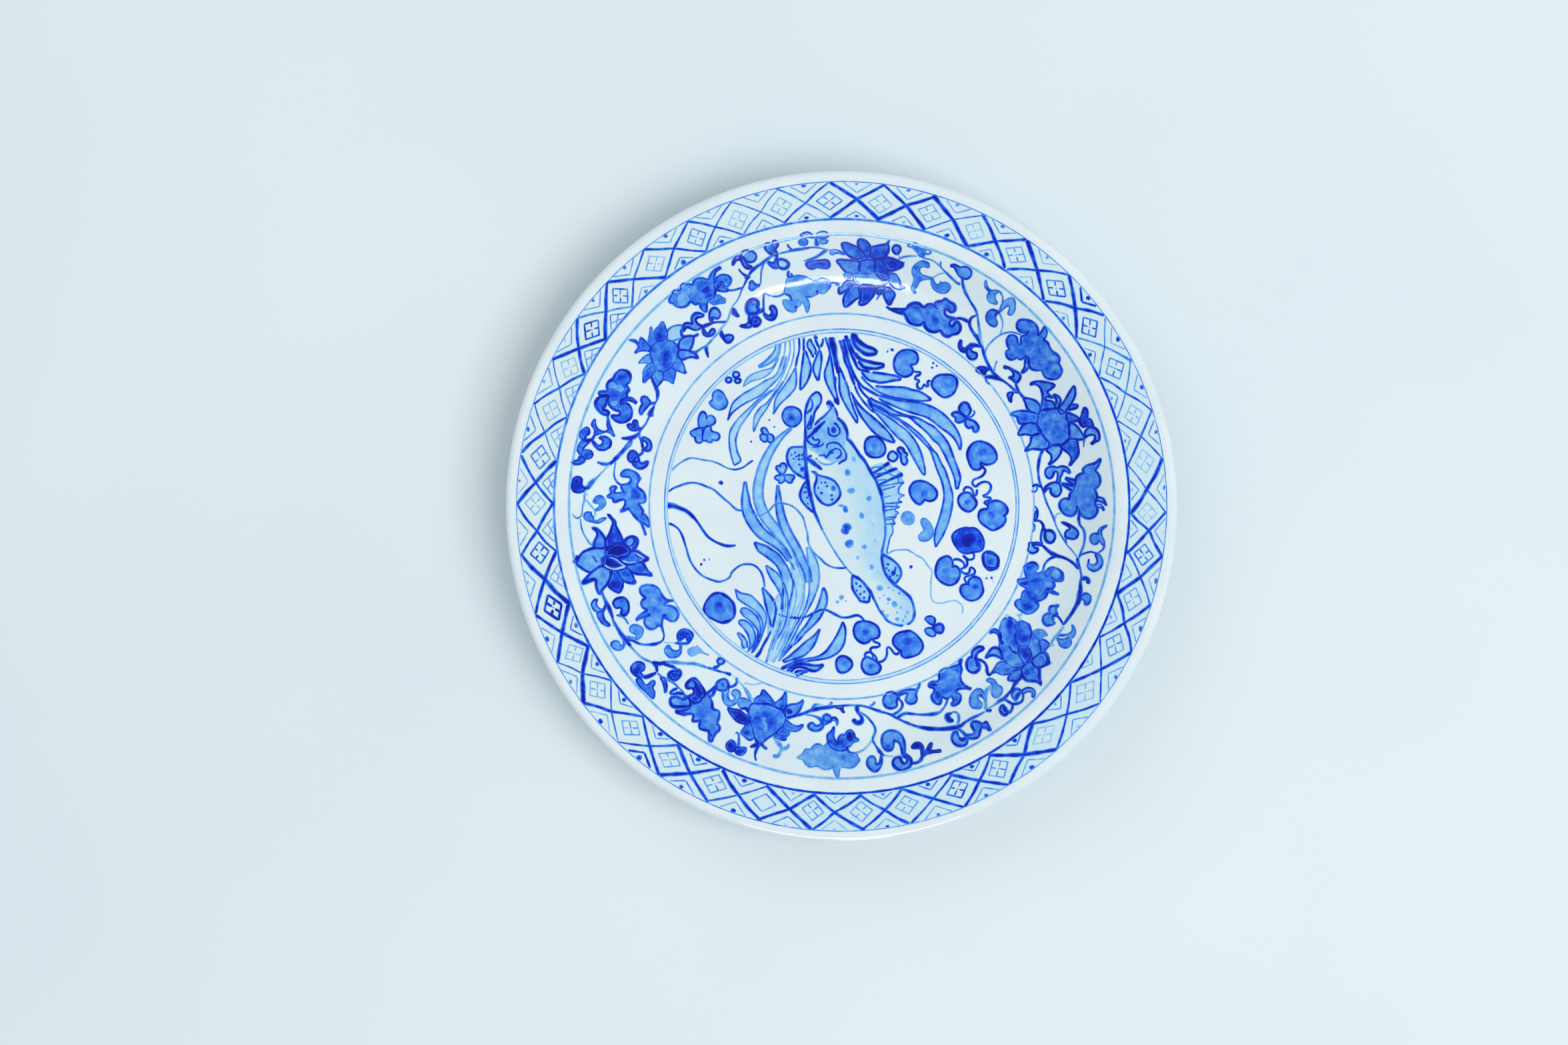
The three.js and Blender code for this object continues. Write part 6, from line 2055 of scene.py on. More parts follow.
def scroll_north_west(wash, lines):
    """The leaf at 123 degrees with the curls on both sides of it."""
    petals(wash, lines, [
        ([(-76.7, 91.2), (-76.4, 93), (-75.4, 95), (-74, 96.3), (-72, 96.6), (-71.6, 98.2),
          (-70.2, 99.2), (-68, 99), (-66.2, 98.9), (-65.8, 100.4), (-64.2, 101.6), (-62, 101.7),
          (-59.6, 101), (-58.6, 102.6), (-57.6, 104.4), (-56, 105.8), (-53.8, 106.6),
          (-55.8, 105), (-56.8, 103), (-57, 101.2), (-56.4, 100.4), (-57, 99), (-56.4, 97.2),
          (-56.4, 95), (-57, 93), (-59.4, 92.2), (-60.2, 89.8), (-60.5, 86.8), (-62.6, 88.4),
          (-63.2, 90.6), (-65.4, 90.2), (-67.2, 91.4), (-69, 89.6), (-71.4, 88.8), (-73.6, 89.4),
          (-75, 90.6)], 0.56, (0.75, 0.84)),
        ([(-50.4, 96.4), (-52.4, 97.6), (-53.8, 98.6), (-54.2, 100), (-53.2, 100.2),
          (-52.4, 98.4), (-51, 98), (-49.6, 99.8), (-49.4, 101.4), (-50.6, 102.8), (-52.8, 103.2),
          (-54.8, 102.6), (-56.4, 101), (-57, 99), (-56.2, 97.2), (-54.4, 96.2), (-52.4, 95.9)],
         0.58, (0.7, 0.88)),
        ([(-62, 80.2), (-64.4, 78.8), (-66.2, 79), (-68, 79.8), (-69.6, 79.7), (-70.4, 78.2),
          (-70.6, 80.4), (-69.6, 81.6), (-67.8, 81.7), (-66.4, 81.2), (-66.8, 83.6), (-66.2, 85.2),
          (-64.6, 86.2), (-62.4, 85.8), (-61.4, 85.2), (-62.4, 84.6), (-64.2, 84.2), (-65.2, 83.2),
          (-64.4, 81.6), (-63, 80.6)], 0.54),
        ([(-61.8, 79.4), (-61.6, 77.2), (-60, 76), (-57.8, 76.4), (-56.6, 78), (-57, 79),
          (-58.2, 78.6), (-59, 77.2), (-60.2, 77.2), (-61, 78.2)], 0.5),
        ([(-58, 82.2), (-58.9, 84), (-58.8, 86.4), (-57.6, 88.2), (-56, 88.3), (-54.6, 87),
          (-54.2, 85), (-55.4, 83.8), (-57.2, 84.2)], 0.46),
        ([(-54.2, 78.8), (-54, 76.6), (-52.6, 74.8), (-51.2, 73.2), (-49.6, 73.4), (-48.4, 75),
          (-48.8, 76.2), (-50.6, 76.4), (-52.4, 75.8), (-53.2, 77)], 0.56),
        ([(-48.6, 107.6), (-48.2, 109.6), (-47.4, 111.4), (-45.6, 111.9), (-45, 110.4),
          (-43.4, 110.6), (-42.8, 109), (-41.8, 107.6), (-40, 106.6), (-42, 106.2), (-43.8, 107.6),
          (-45, 109.8), (-47, 109.8)], 0.58),
        ([(-45, 112), (-43.6, 113.6), (-41.4, 114), (-39.6, 113.6), (-38.2, 112), (-38.6, 110),
          (-40.4, 109), (-42.4, 109.4), (-43.4, 110.8)], 0.48),
        ([(-28.8, 112.4), (-30.6, 112), (-32.4, 113), (-34, 115), (-33.8, 116.8), (-32.2, 117.2),
          (-31, 117), (-30.4, 118.2), (-29, 118), (-28.6, 116.4), (-29.6, 114.6)], 0.56),
        ([(-32.8, 109), (-31.8, 107.6), (-30.4, 106.4), (-28.6, 106.4), (-28.4, 108), (-28.8, 110),
          (-30.6, 108.4)], 0.66, (0.7, 0.9)),
        ([(-28.6, 109), (-27.6, 110.2), (-25.4, 109.8), (-23.8, 108.4), (-24.2, 106.6),
          (-26, 106), (-28, 106.8)], 0.2, (0.9, 0.88)),
        ([(-41, 97.2), (-40.8, 98.6), (-40.8, 100), (-39.8, 100.4), (-39.2, 99.6), (-38, 98.6),
          (-36.4, 98.8), (-38.2, 97.6), (-39.8, 96.6)], 0.6, (0.7, 0.9)),
        ([(-36.8, 87.4), (-37.6, 88.6), (-37.4, 90.6), (-38.4, 91.8), (-40, 91.8), (-41.6, 90.6),
          (-42.3, 88.6), (-41.8, 86.6), (-40.4, 85.8), (-38.4, 86)], 0.6, (1.2, 0.96)),
        ([(-39.8, 81), (-40.2, 82.6), (-39.6, 84.2), (-38, 84.4), (-36.4, 83.2), (-36.4, 81.8),
          (-38, 80.6)], 0.66, (0.9, 0.95)),
        ([(-45.2, 80.4), (-43, 80.8), (-41.6, 81.8), (-40.8, 83), (-40, 81), (-41.6, 79.9)], 0.58),
        ([(-34.6, 86), (-33.8, 84.2), (-32, 83.3), (-30.2, 83.6), (-29, 85.6), (-29.2, 87.8),
          (-30.4, 89.2), (-31.6, 89), (-31.8, 88), (-31, 87), (-31.4, 85.6), (-32.8, 84.8),
          ], 0.66),
        ([(-58.8, 92), (-57, 92), (-55.8, 92.4), (-55, 94.2), (-53.2, 93), (-51.9, 92.4),
          (-52.2, 90.8), (-54.2, 90.6), (-57, 90.2), (-58.4, 90.8)], 0.68, (0.5, 0.75)),
    ])
    pools(wash, [
        (-60.5, 96.5, 2, 0.93), (-62.5, 98.6, 2.6, 0.76), (-59.6, 93.8, 2, 0.78), (-61.8, 90.4, 1.4, 0.7),
        (-70.5, 92, 3, 0.48), (-69.5, 96, 2.2, 0.5), (-55, 98.4, 1.3, 0.82), (-51.5, 101.2, 1.6, 0.68),
        (-42.5, 109.3, 0.9, 0.9), (-38.4, 82.4, 1, 0.94), (-39.2, 88.6, 1.3, 0.5), (-31, 85, 1.4, 0.8),
        (-54.5, 92.2, 1.3, 0.8),
    ], up=0.85)
    lines.lines(
        [
            ([(-28.6, 113), (-31, 111.6), (-33.4, 110), (-35.8, 108.2), (-38, 106.8), (-40, 105),
              (-41.6, 102.6), (-42.6, 100.6), (-43.6, 98.4), (-44.6, 96.4), (-45.6, 93.6),
              (-47, 91.2), (-48.6, 89.2), (-49.6, 87), (-50.2, 84.6), (-51.4, 82.2), (-53.6, 79.4),
              (-55, 77.4), (-57.4, 74.8), (-60, 71.9), (-62.6, 70.4), (-65, 68.8), (-67.4, 68.6)],
             (0.5, 0.9, 0.9, 0.5, 0.4, 0.5, 0.7, 0.7, 0.6, 1), (0.5, 0.88, 0.9, 0.5, 0.35, 0.6, 0.85)),
            ([(-46, 106), (-44.6, 104.2), (-43, 103), (-42, 102.4)], (0.5, 0.9), 0.9),
            ([(-42.2, 103), (-41.8, 101.2)], 1.6, 0.94),
            ([(-40, 106.6), (-39, 106.4), (-37.6, 107.2)], 0.6, 0.85),
            ([(-33.6, 110), (-35, 107.6), (-35.8, 104.6), (-36, 101), (-36.2, 98.8)], 0.5, 0.7),
            ([(-30.6, 111.8), (-29, 112.4), (-28.8, 110.4)], 0.7, 0.9),
            ([(-29.4, 111), (-28.6, 109.2)], 1.3, 0.92),
            ([(-50.6, 96.4), (-48.4, 96.4), (-46.4, 96.9), (-44.4, 97.6)], (0.7, 0.5), 0.8),
            ([(-34.6, 95.2), (-34.8, 92.6), (-34.8, 89.6), (-34.7, 86.6), (-34.2, 84.8)], 0.6, 0.86),
            ([(-34.6, 95.2), (-33, 94.2), (-31, 93.6)], 0.6, 0.72),
            ([(-34.8, 88.4), (-36, 86.8), (-37, 86.6)], (1, 0.8), 0.95),
            ([(-41.2, 86), (-41, 83.6), (-40.4, 81)], (0.8, 1.3), 0.95),
            ([(-48.9, 88.4), (-47.9, 86.6), (-46.6, 85.2), (-45.4, 84.8)], (1.3, 1.5, 0.9), 0.97),
            ([(-51.2, 82.2), (-54, 82.2), (-57, 82), (-59.6, 81), (-62, 80)], (0.7, 0.7, 1.1), 0.92),
            ([(-61.6, 80.4), (-61.7, 78.6)], 0.9, 0.92),
            ([(-58, 82), (-57.8, 84.2), (-56.2, 83.8)], 1, 0.9),
            ([(-60.6, 71.8), (-60.2, 69.4), (-59.4, 66.2)], (1.6, 1, 0.4), 0.92),
            ([(-64.6, 68.6), (-64.9, 67.4), (-64, 66)], (0.9, 0.4), 0.85),
            ([(-63.6, 77), (-65.4, 76), (-67.6, 75.7), (-69.8, 75.6)], (0.8, 0.6), 0.9),
            ([(-70.2, 78.6), (-71.4, 78.8), (-71.4, 77), (-70.6, 75.4)], 0.9, 0.93),
        ],
        0.6, 0.85,
    )


def scroll_west_lotus(wash, lines):
    """The round-hearted lotus at 139 degrees."""
    petals(wash, lines, [
        ([(-77.8, 77.6), (-76.4, 79.6), (-74, 80.6), (-71.2, 80.6), (-71.4, 78), (-71, 75.4),
          (-73.2, 74.4), (-75.6, 73.9), (-77.6, 74.6)], 0.26, (0.55, 0.7)),
        ([(-72.6, 72.6), (-71.4, 74.6), (-70, 75.6), (-66.4, 75.9), (-66.2, 73.4), (-67.6, 70),
          (-70, 69.8), (-72.4, 70.2)], 0.52),
        ([(-72.8, 69.4), (-70, 69.8), (-68, 69.4), (-66, 68.4), (-64, 66.2), (-66.2, 66.6),
          (-68.6, 66.4), (-70.8, 65.6), (-72.6, 66.4)], 0.54),
        ([(-72.8, 66.2), (-71.6, 65), (-70.4, 62.8), (-69.9, 60.6), (-69.4, 59.5), (-71.6, 60),
          (-74, 61), (-75.6, 62.2), (-74.4, 64.4)], 0.54, (0.6, 0.82)),
        ([(-79.4, 59.8), (-77, 61), (-74.4, 61), (-74.2, 58.6), (-74.8, 56.4), (-75.2, 54.8),
          (-77, 56), (-79.6, 57)], 0.56, (0.5, 0.8)),
        ([(-84.8, 58.8), (-83.8, 56), (-82.6, 53.6), (-81, 54.8), (-79.6, 56.8), (-79.4, 59.6),
          (-81.6, 60.4), (-83.6, 60.2)], 0.56, (0.6, 0.86)),
        ([(-84.2, 62.4), (-86, 61.4), (-88, 59), (-88.4, 56.4), (-88, 55.2), (-86.6, 56.8),
          (-84.6, 58.4), (-83, 60.4)], 0.7, (0.6, 0.8)),
        ([(-83.6, 64.4), (-85.8, 63.4), (-87.8, 61.4), (-88.6, 58.8), (-86.4, 60.4), (-84.2, 61.8)],
         0.46, (0.5, 0.72)),
        ([(-85.4, 67.6), (-87.4, 67), (-89.2, 65.4), (-90.4, 63.9), (-88, 64.2), (-85.6, 63.6),
          (-84, 64.8)], 0.44, (0.5, 0.72)),
        ([(-85.8, 69.4), (-87.8, 69.6), (-90, 69.4), (-92.2, 68.3), (-91, 70), (-90.4, 71.2),
          (-91.6, 73), (-94.6, 74.2), (-92, 74), (-90.2, 72.6), (-89.6, 75.2), (-88, 74),
          (-86.4, 72.2), (-84.8, 70.8)], 0.58, (0.6, 0.86)),
        ([(-85, 71), (-86.2, 73.4), (-85.6, 76.4), (-85, 80), (-84, 77.6), (-83.2, 75.2),
          (-82.6, 73.4), (-83.4, 71.8)], 0.56, (0.45, 0.7)),
        ([(-82, 74), (-83.2, 76), (-83, 78.6), (-81.2, 80.6), (-79.8, 82.2), (-78.6, 79.8),
          (-77.8, 77.4), (-78.2, 75), (-80, 73.6)], 0.74, (0.55, 0.82)),
    ])
    heart = [
        (-79, 74.2), (-76.4, 73.8), (-74.2, 72.6), (-73, 70.4), (-73.2, 67.6), (-74.2, 64.8),
        (-75.6, 62.4), (-77.6, 60.8), (-79.8, 60.2), (-82, 61.2), (-83.6, 63.4), (-84.9, 66.4),
        (-85.2, 69), (-84.2, 71.6), (-82, 73.6),
    ]
    petals(wash, lines, [(heart, 0.58, (0.6, 0.82))])
    pools(wash, [
        (-78.4, 66, 4.2, 0.82), (-80.5, 70, 2.4, 0.7), (-77.4, 70.4, 2.2, 0.7), (-81.4, 66, 2, 0.74),
        (-80.4, 78.4, 1.8, 0.86), (-86.4, 58.8, 1.6, 0.82), (-70.4, 67.6, 1.4, 0.7),
    ], paling=0.12, across=0.85)


def scroll_west_leaf(wash, lines):
    """The leaf at 154 degrees and the stems around it."""
    petals(wash, lines, [
        ([(-96, 54.2), (-94.6, 55.6), (-94.2, 58), (-95, 59.8), (-96.8, 60.6), (-98.8, 60.6),
          (-100.6, 59), (-101.8, 57), (-103.8, 55.6), (-104.6, 53.8), (-104.2, 51.6), (-106, 51.2),
          (-108, 51), (-107.6, 49.6), (-105.4, 49.6), (-104, 49.4), (-104, 46.6), (-102.8, 44.4),
          (-101, 43.2), (-99, 42.6), (-98.6, 41.2), (-100, 40.4), (-102.4, 40.4), (-100.6, 38.4),
          (-98.4, 37.5), (-96, 38), (-94.2, 39.6), (-93.6, 41.8), (-94, 44), (-95.4, 45.6),
          (-97.2, 46), (-98.2, 45.4), (-98.6, 47), (-96, 48.6), (-95.8, 50.6), (-94.8, 52)],
         0.64, (0.8, 0.93)),
        ([(-104.4, 49), (-104.8, 47), (-105.4, 45), (-106.4, 43.4), (-104.2, 42.2), (-103.9, 41.2),
          (-105.6, 41), (-107.4, 42), (-109, 44), (-109.6, 46.2), (-108.4, 48.2), (-106.4, 49)],
         0.6, (0.9, 0.93)),
        ([(-98.6, 47.6), (-96.4, 48.2), (-94, 48.4), (-92.4, 47.4), (-91.4, 46), (-92.8, 46.8),
          (-95, 47.4), (-97.2, 47)], 0.7, (0.7, 0.93)),
    ])
    pools(wash, [
        (-97.8, 57.4, 2.4, 0.78), (-100, 49.6, 2.6, 0.84), (-99, 52.6, 2, 0.56), (-102, 54, 1.6, 0.52),
        (-101.4, 46, 1.4, 0.5), (-97, 42, 1.6, 0.76), (-97, 50.4, 1.6, 0.76),
    ], paling=0.12, up=0.85)
    petals(wash, lines, [
        ([(-85.2, 46.2), (-86.2, 47.8), (-87.2, 48.8), (-88.8, 48.6), (-89.2, 47.2), (-88.6, 45.8),
          (-89.4, 44.6), (-90, 42.8), (-89.4, 41), (-88.2, 42.8), (-86.6, 44.6)], 0.6, (0.7, 0.9)),
        ([(-90, 34.6), (-91.6, 34), (-93.6, 34.2), (-94.8, 35.2), (-95.2, 36.4), (-93.2, 36.6),
          (-92.6, 38.2), (-91.2, 38), (-91, 36.4), (-90.8, 35.4)], 0.84, (0.7, 0.93)),
        ([(-88.6, 30.6), (-87.4, 30.6), (-85.6, 29.4), (-84.8, 27.4), (-85.2, 25.4), (-86.6, 24.8),
          (-88, 25.6), (-86.8, 26.6), (-86.6, 28), (-87.6, 29.2), (-88.8, 29.4)], 0.56, (0.7, 0.92)),
        ([(-111.2, 36.2), (-110.6, 38.2), (-109.8, 38.8), (-109.8, 36.6), (-108.8, 34.6),
          (-107, 33.6), (-104, 33.2), (-102.8, 32.6), (-101.2, 31.2), (-102, 33.2), (-103.2, 36),
          (-104, 39.4), (-104.4, 36.6), (-104, 34.2), (-106.2, 33), (-108.4, 32.4), (-110, 32),
          (-110, 34.2)], 0.7, (0.55, 0.88)),
        ([(-111, 29.2), (-109.8, 27), (-108, 25.4), (-105.6, 25.4), (-103.4, 26.8), (-102.9, 28.8),
          (-104, 30.4), (-106, 31), (-107.8, 30.6), (-106.4, 29.6), (-106.6, 27.8), (-108.2, 27),
          (-109.6, 27.8)], 0.58, (0.75, 0.9)),
        ([(-115, 29.6), (-116.4, 31), (-116.8, 32.6), (-115.4, 34), (-113.6, 35.2), (-112.6, 34.2),
          (-112.6, 32.6), (-114, 31.6), (-114.4, 30.4)], 0.64, (0.65, 0.86)),
        ([(-115.4, 29.4), (-116.8, 27.6), (-117.7, 25.4), (-117, 23.8), (-115.8, 22.8),
          (-115.4, 24.6), (-114.8, 26.6), (-113.4, 28.4)], 0.62, (0.6, 0.86)),
        ([(-116, 23.4), (-114.8, 24.8), (-113, 25), (-111.4, 24.2), (-111.2, 22.6), (-112.6, 21.4),
          (-114.6, 21.6)], 0.7, (0.6, 0.86)),
    ])
    lines.lines(
        [
            ([(-84.8, 58.2), (-83.6, 55), (-82.6, 52.8), (-82, 50.8), (-82.2, 48), (-83, 46.2),
              (-84.4, 43.4), (-85.8, 40), (-87.2, 37), (-88.8, 35), (-90, 33.4), (-90, 31),
              (-89, 28.4), (-88.6, 26)],
             (0.8, 1.2, 0.6, 0.6, 0.6, 0.7, 0.8), (0.92, 0.92, 0.7, 0.85, 0.7, 0.8, 0.92)),
            ([(-83, 46.4), (-84.8, 45.9), (-86, 46.4)], 0.7, 0.88),
            ([(-83.4, 44.8), (-84.8, 42.4), (-85.4, 40)], (0.6, 1.7), 0.92),
            ([(-88.8, 35), (-90.2, 34.6)], 0.9, 0.92),
            ([(-90, 32.8), (-92.4, 31), (-95, 30.4), (-98.2, 30.4)], (0.8, 1.4, 0.6), 0.93),
            ([(-93.4, 30.4), (-96, 27), (-98.6, 23.8), (-101.8, 21)], (0.5, 0.8, 0.6), 0.82),
            ([(-88.6, 26), (-88.8, 24), (-90.6, 22.6)], 0.9, 0.93),
            ([(-110, 32), (-111.4, 29.8), (-114.2, 29.4)], (0.7, 1), 0.93),
            ([(-111.4, 29.8), (-110.2, 27.8)], 1, 0.93),
            ([(-112, 29.2), (-114.4, 27), (-115.8, 25)], 0.7, 0.88),
            ([(-104.1, 41.2), (-104.2, 38), (-103.4, 35)], 0.7, 0.9),
        ],
        0.6, 0.85,
    )


def scroll_west(wash, lines):
    """The leaf at 179 degrees with its stems and curls."""
    petals(wash, lines, [
        ([(-97.8, 9.6), (-96, 9.8), (-94.4, 10.6), (-93.8, 12), (-94.6, 13.2), (-96.6, 13.4),
          (-98, 13.6), (-98.2, 14.6), (-96.8, 16), (-95, 16.2), (-92.6, 15.4), (-90.8, 14),
          (-90.2, 12), (-91.2, 10), (-90.8, 8.4), (-88.6, 6.6), (-87.6, 4.4), (-87.6, 2.4),
          (-89, 1.6), (-90.8, 1.4), (-89.8, 0), (-88.6, -2), (-88.8, -3.4), (-87.4, -4),
          (-86, -6.4), (-85.6, -8), (-86, -9), (-87.2, -8), (-89, -7), (-90.6, -6),
          (-92.4, -4.2), (-94, -2), (-95.2, -0.8), (-96.6, -1.6), (-98.6, -2.2), (-97.4, -1),
          (-96.4, 1), (-96.6, 3), (-98.6, 3), (-100.6, 2.2), (-101.8, 2.4), (-101.6, 3.6),
          (-104.4, 4.4), (-102.6, 6), (-103, 8), (-101.8, 8.8), (-100.4, 8.6), (-101.2, 7.4),
          (-101.2, 6), (-98.6, 6), (-97.4, 6.6), (-98, 8.4)], 0.52, (0.75, 0.86)),
        ([(-116.5, 22.4), (-117.2, 20.8), (-118.4, 20.2), (-119.8, 20), (-119.8, 19.2), (-117, 19),
          (-115, 20), (-114.6, 21.6)], 0.6, (0.8, 0.88)),
        ([(-114, 8.2), (-115.6, 8.8), (-116.2, 10.5), (-116, 12), (-117.2, 13), (-119, 12.6),
          (-119.8, 11), (-120, 8.6), (-119.2, 7), (-117.6, 6.4), (-115.6, 6.8)], 0.76, (0.8, 0.93)),
        ([(-110.6, 2), (-110, 3.6), (-108.8, 4.6), (-107, 4.6), (-105.6, 3), (-105.2, 1.2),
          (-106.4, -0.4), (-108, -1.4), (-110, -1.8), (-108.2, -0.4), (-107.8, 1), (-109, 1.6)],
         0.56, (0.5, 0.72)),
        ([(-105, -5.2), (-107, -5.4), (-109, -6.4), (-110.8, -6.2), (-110.6, -5), (-111.6, -3.8),
          (-111.6, -2.8), (-113.4, -2.6), (-114.6, -3.6), (-114.6, -5), (-113.4, -6.2),
          (-111, -6.8), (-108.6, -7.2), (-106.6, -6.4)], 0.54, (0.55, 0.78)),
        ([(-90.8, 22.6), (-92, 24.2), (-93.6, 24.6), (-94.8, 23), (-94.9, 21), (-93.4, 19.8),
          (-92.4, 21), (-91.4, 22.4)], 0.72, (0.8, 0.93)),
        ([(-93, 19.6), (-92.2, 18), (-90.4, 17), (-88.6, 17.2), (-87, 18.4), (-86.4, 20),
          (-87.8, 19.6), (-89, 18.8), (-90.4, 20)], 0.66, (0.75, 0.92)),
    ])
    pools(wash, [
        (-92, 5.4, 2.4, 0.82), (-96.4, 6, 1.4, 0.68), (-97, 14.6, 1.6, 0.72), (-90.4, 12.6, 1.3, 0.8),
        (-88.6, -5.4, 1.6, 0.7), (-117.4, 9, 1.6, 0.88), (-92.6, 20, 1.1, 0.95), (-109.6, 2.4, 1, 0.8),
    ], paling=0.12)
    lines.lines(
        [
            ([(-93.4, 30.2), (-94, 27.6), (-97, 25), (-98.6, 23.4), (-100.4, 21.4), (-102, 20),
              (-103.6, 19), (-106, 18.9), (-109, 19.8)],
             (0.5, 0.6, 1.1, 0.9, 1, 0.9, 0.7), (0.75, 0.7, 0.88, 0.8, 0.93)),
            ([(-103.4, 18.8), (-107, 15), (-110, 12), (-111.6, 10.6), (-113, 8.6), (-115, 8)],
             (0.4, 0.4, 0.6, 1.3, 1.2), (0.45, 0.45, 0.7, 0.93)),
            ([(-114, 7.6), (-114.6, 5), (-114.6, 3), (-115.4, 0), (-115.6, -2), (-116, -4),
              (-117.6, -5.2), (-119, -4.6), (-120, -3.2)], (0.4, 0.7, 0.4, 0.5, 0.4),
             (0.4, 0.6, 0.45, 0.7, 0.4)),
            ([(-116.4, -5.4), (-116, -9), (-115, -12), (-113, -15.4), (-111, -17.6)], (0.4, 0.6), 0.56),
            ([(-114, 3), (-112, 0.6), (-110, -1.8), (-109.9, -4.4)], 0.5, 0.42),
            ([(-113.8, 5.3), (-113.2, 5.4)], 0.7, 0.6),
            ([(-100.6, 20), (-101.2, 17), (-101.4, 14), (-100.8, 12), (-99.8, 10.6), (-98.2, 9.6),
              (-96.4, 9.6)], (0.4, 0.5, 0.8), (0.6, 0.7, 0.9)),
            ([(-90.6, -6), (-89, -8), (-88, -10.6), (-87.2, -13)], (0.6, 0.9), 0.84),
            ([(-90.6, 22.6), (-90.4, 20.8), (-89.6, 19.2), (-87, 19.4)], 0.9, 0.92),
        ],
        0.6, 0.85,
    )


